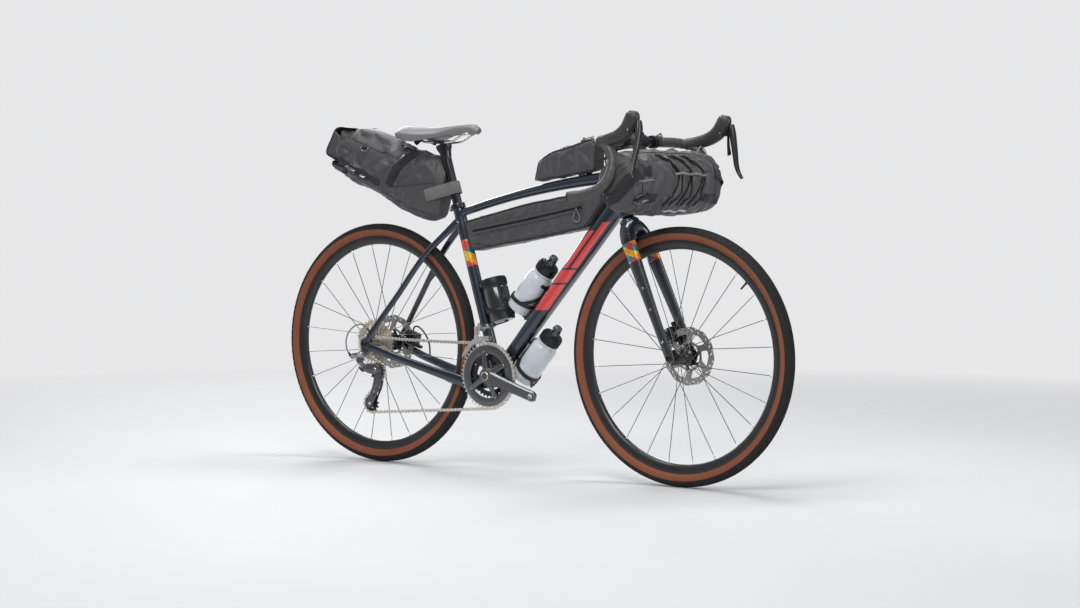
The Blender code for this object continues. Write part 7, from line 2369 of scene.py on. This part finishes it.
def held_bar_bag(co):
    angle = math.degrees(math.atan2(co.z - BAR_BAG.z, co.x - BAR_BAG.x))
    weight = 1.0 if abs(co.y) > 0.214 else 0.0
    if co.x < 0.415:
        weight = max(weight, 0.9)
    for y in (-0.178, 0.178):
        if abs(co.y - y) < 0.008:
            weight = max(weight, 0.9)
    if -60 < angle < 62:
        for top, middle, bottom in CHEVRONS:
            rise = (top - middle) * (angle / 56) if angle > 0 else (middle - bottom) * (angle / 42)
            if abs(co.y - (middle + rise)) < 0.006:
                weight = max(weight, 0.75)
    if 66 < angle < 74 and abs(co.y) < 0.15:
        weight = max(weight, 0.7)
    return weight


def make_bar_bag():
    loops, stations = [], 64
    for i in range(stations + 1):
        y = -BAR_BAG_HALF + 2 * BAR_BAG_HALF * i / stations
        end = min(i, stations - i) / stations
        shrink = 0.72 if end == 0 else (0.9 if end < 0.02 else (0.975 if end < 0.035 else 1.0))
        ring_points = [bar_bag_point(y, 360 * j / 48) for j in range(48)]
        loops.append([BAR_BAG + Vector(((p.x - BAR_BAG.x) * shrink, p.y,
                                        (p.z - BAR_BAG.z) * shrink)) for p in ring_points])
    cloth = stuffed(loft(loops), 0.0058, held_bar_bag, pressure=5.0, grow=0.075, limit=0.0085,
                    frames=18, seed=21.0)
    tree = bag_skin("handlebar_bag", cloth, "steering")
    on = bar_bag_point
    webs, clips, seams, cords, light = [], [], [], [], []
    for s, label in SIDES:
        end = s * BAR_BAG_HALF
        across = [on(s * 0.176, 17), on(s * 0.198, 15), on(s * 0.212, 10),
                  Vector((0.505, end, 0.82)), Vector((0.4735, end, 0.788)),
                  Vector((0.435, end, 0.77)), on(s * 0.208, 222), on(s * 0.186, 226)]
        webs.append(strap(tree, across, 0.03, 0.002, 0.0012))
        if s < 0:
            spot, way = middle_of(tree, [on(s * 0.165, -32), on(s * 0.19, -34), on(s * 0.208, -36)],
                                  0.0052)
            along = (Y * s * 0.94 - Z * 0.34).normalized()
            clips.append(clip_buckle(spot, square_to(along, way) * -1, way, 0.026))
        webs.append(strap(tree, [on(s * 0.12, -24), on(s * 0.15, -28), on(s * 0.205, -35)], 0.024,
                          0.0018, 0.001))
        seams.append(seam(tree, [on(s * 0.178, a) for a in range(-170, 176, 15)], 0.0012))
        fold = points_at(1, (0.425, end, 0.785), (0.448, end, 0.818), (0.48, end, 0.848),
                         (0.506, end, 0.864))
        add(label + "_rolled_side", folded_end(tree, fold), "bag_cloth", "steering", smooth=60)
    for y in LOOP_AT:
        webs.append(strap(tree, [on(y, a) for a in (96, 112, 130, 145, 160)], 0.025, 0.0018,
                          0.0012))
    for top, middle, bottom in CHEVRONS:
        line = [on(top, 56), on(top + 0.03, 42), on(middle, 14), on(middle - 0.022, -14),
                on(bottom, -42)]
        second = [on(top + 0.018, 56), on(top + 0.05, 38), on(middle + 0.006, 14),
                  on(middle + 0.004, -14), on(bottom + 0.024, -42)]
        for path in (line, second):
            points = laid(tree, path, 0.0018, 0.003)[0]
            cords.append(pipe(points, 0.0017, 10))
            for end_point in (points[0], points[-1]):
                place, way = tree.find_nearest(end_point)[:2]
                light.append(turned([(0, 0), (0.0046, 0), (0.004, 0.0012), (0, 0.0014)],
                                    place + way * 0.0004, way, 16))
    add("bungee_cords", cords, "matte_black", "steering", replaces=("bungee_lacing",), smooth=180)
    belt = strap(tree, [on(-0.034, 14), on(0.03, 14.5), on(0.11, 14)], 0.0065, 0.0016, 0.0034)
    add("lacing_belt", belt, "webbing_grey", "steering", smooth=60)
    add("lacing_tabs", light, "webbing", "steering")
    # A strip of dark webbing laid on the bag's side: a painted shadow, standing for the shade
    # inside the side pocket's opening under its flap.
    pocket = strap(tree, [on(-0.204, 21), on(-0.18, 21), on(-0.156, 20), on(-0.142, 18)], 0.033,
                   0.001, 0.0006)
    add("side_pocket_painted_shadow", pocket, "webbing", "steering", smooth=60)
    hem = laid(tree, [on(-0.21, 4), on(-0.185, 2.5), on(-0.16, 3), on(-0.142, 5)], 0.0016)[0]
    sizes = [0.0016 + 0.0018 * math.sin(math.pi * k / (len(hem) - 1)) for k in range(len(hem))]
    add("pocket_hem", pipe(hem, sizes, 14), "webbing_grey", "steering", smooth=180)
    strip = strap(tree, [on(-0.05, -62), on(0.01, -63), on(0.062, -62)], 0.0075, 0.0008, 0.0006)
    add("reflective_strip", strip, "reflective", "steering", smooth=60)
    for angle in (68, -68):
        seams.append(seam(tree, [on(y, angle) for y in (-0.17, -0.1, 0, 0.1, 0.17)], 0.0011))
    loop_at = [on(0.118, 62), on(0.128, 66, 0.016), on(0.145, 70, 0.021), on(0.162, 66, 0.014),
               on(0.166, 60, 0.004), on(0.15, 58, 0.003), on(0.128, 60, 0.003)]
    add("top_cord_loop", pipe(smooth_route(loop_at, 6), 0.0016, 10), "housing_grey", "steering",
        smooth=180)
    add("handlebar_bag_webbing", webs, "webbing", "steering", smooth=40)
    # The clips are black plastic. Their mid grey is a painted highlight, standing in for the light
    # along their glossy edges.
    add("handlebar_bag_clips", clips, "spout_grey", "steering", smooth=40)
    add("handlebar_bag_seams", seams, "bag_dark", "steering", smooth=60)
    loops_made, ladders = [], []
    for y in LOOP_AT:
        centre = bar_centre_at(y)
        points, ways = [], []
        for a in range(-20, 381, 12):
            c, s = turn_of(a)
            lift = 0.003 * max(0, (a - 300) / 80)
            points.append(centre + (X * c + Z * s) * (0.0172 + lift))
            ways.append(X * c + Z * s)
        loops_made.append(ribbon(points, ways, 0.02, 0.0016))
        out = (X * 0.9 + Z * 0.44).normalized()
        ladders.append(frame_buckle(centre + out * 0.0205, Y.cross(out), out, 0.02, 0.023, 2))
        tail = [centre + out * off + Y.cross(out) * along
                for off, along in ((0.0225, -0.006), (0.0265, 0.01), (0.022, 0.024))]
        tail = smooth_route(tail, 5)
        loops_made.append(ribbon(tail, [out] * len(tail), 0.019, 0.0014))
    add("bar_loops", loops_made, "webbing", "steering", smooth=60)
    add("bar_loop_buckles", ladders, "bright_grey", "steering", smooth=40)


def bar_centre_at(y):
    route = bar_route()
    line = [route[0], route[2], route[3]]
    for a, b in zip(line, line[1:]):
        if b.y <= -abs(y) <= a.y:
            place = a.lerp(b, (-abs(y) - a.y) / (b.y - a.y))
            return place if y < 0 else mirrored(place)
    return line[-1]


def folded_end(tree, fold):
    """The rolled closure at one end: three layers of cloth laid over each other."""
    return [strap(tree, [p + (Z * 0.77 - X * 0.64) * (shift + 0.012) for p in fold], 0.03, 0.0016,
                  lift) for shift, lift in ((-0.016, 0.0014), (0.0, 0.003), (0.014, 0.0046))]


make_bar_bag()

# Hoses and housings

REAR_HOSE = [(-0.394, 0.063, 0.306), (-0.395, 0.064, 0.323), (-0.3985, 0.066, 0.345),
             (-0.4085, 0.065, 0.37), (-0.425, 0.064, 0.389), (-0.442, 0.064, 0.3985),
             (-0.455, 0.066, 0.396), (-0.46, 0.066, 0.387)]
SHIFT_HOUSING = [(-0.5075, -0.0808, 0.39), (-0.518, -0.0818, 0.402), (-0.535, -0.083, 0.408),
                 (-0.556, -0.0845, 0.4035), (-0.579, -0.0865, 0.384), (-0.589, -0.0875, 0.358),
                 (-0.5855, -0.088, 0.334)]


def make_hoses():
    line = smooth_route([Vector(p) for p in REAR_HOSE], 10)
    add("rear_hose", pipe(line, 0.0025, 20), "rubber", "frame", replaces=("rear_brake_hose",),
        smooth=180)
    into_barrel = [HOUSING_END + HOUSING_AXIS * reach for reach in (0.006, 0.0003)]
    line = smooth_route([Vector(p) for p in SHIFT_HOUSING] + into_barrel, 10)
    add("shift_housing", pipe(line, 0.0021, 20), "housing_grey", "frame",
        replaces=("rear_shift_housing",), smooth=180)
    along = tangents(line)
    for name, k, way in (("housing_ferrule_upper", 1, 1),
                         ("housing_ferrule_lower", len(line) - 2, -1)):
        sleeve = turned([(0, -0.005), (0.0026, -0.005), (0.003, -0.004), (0.003, 0.006),
                         (0.0024, 0.0075), (0, 0.0075)], line[k], along[k] * way, 20)
        add(name, sleeve, "black_alloy", "frame")


make_hoses()

# Floor

floor_mesh = bpy.data.meshes.new("floor")
floor_mesh.from_pydata([(-9, -9, -0.0005), (9, -9, -0.0005), (9, 9, -0.0005), (-9, 9, -0.0005)], [],
                       [(0, 1, 2, 3)])
floor = bpy.data.objects.new("floor", floor_mesh)
bpy.context.scene.collection.objects.link(floor)
floor_nodes = MaterialNodes("floor")
floor_nodes.put(floor_nodes.shader.inputs["Base Color"],
                floor_nodes.mix(floor_nodes.noise(0.8, 3), (0.6, 0.6, 0.61), (0.65, 0.65, 0.66)))
floor_nodes.shader.inputs["Roughness"].default_value = 0.8
reach = floor_nodes.make("VectorMath", operation="LENGTH")
floor_nodes.put(reach.inputs[0], floor_nodes.coords)
fade = floor_nodes.ramp(reach.outputs["Value"], 1.6, 4.2, 0.0, 1.0)
clear = floor_nodes.make("BsdfTransparent")
blend = floor_nodes.make("MixShader")
for target, source in zip(blend.inputs, (fade, floor_nodes.shader.outputs[0], clear.outputs[0])):
    floor_nodes.put(target, source)
floor_nodes.put(floor_nodes.output.inputs["Surface"], blend.outputs[0])
floor_mesh.materials.append(floor_nodes.material)
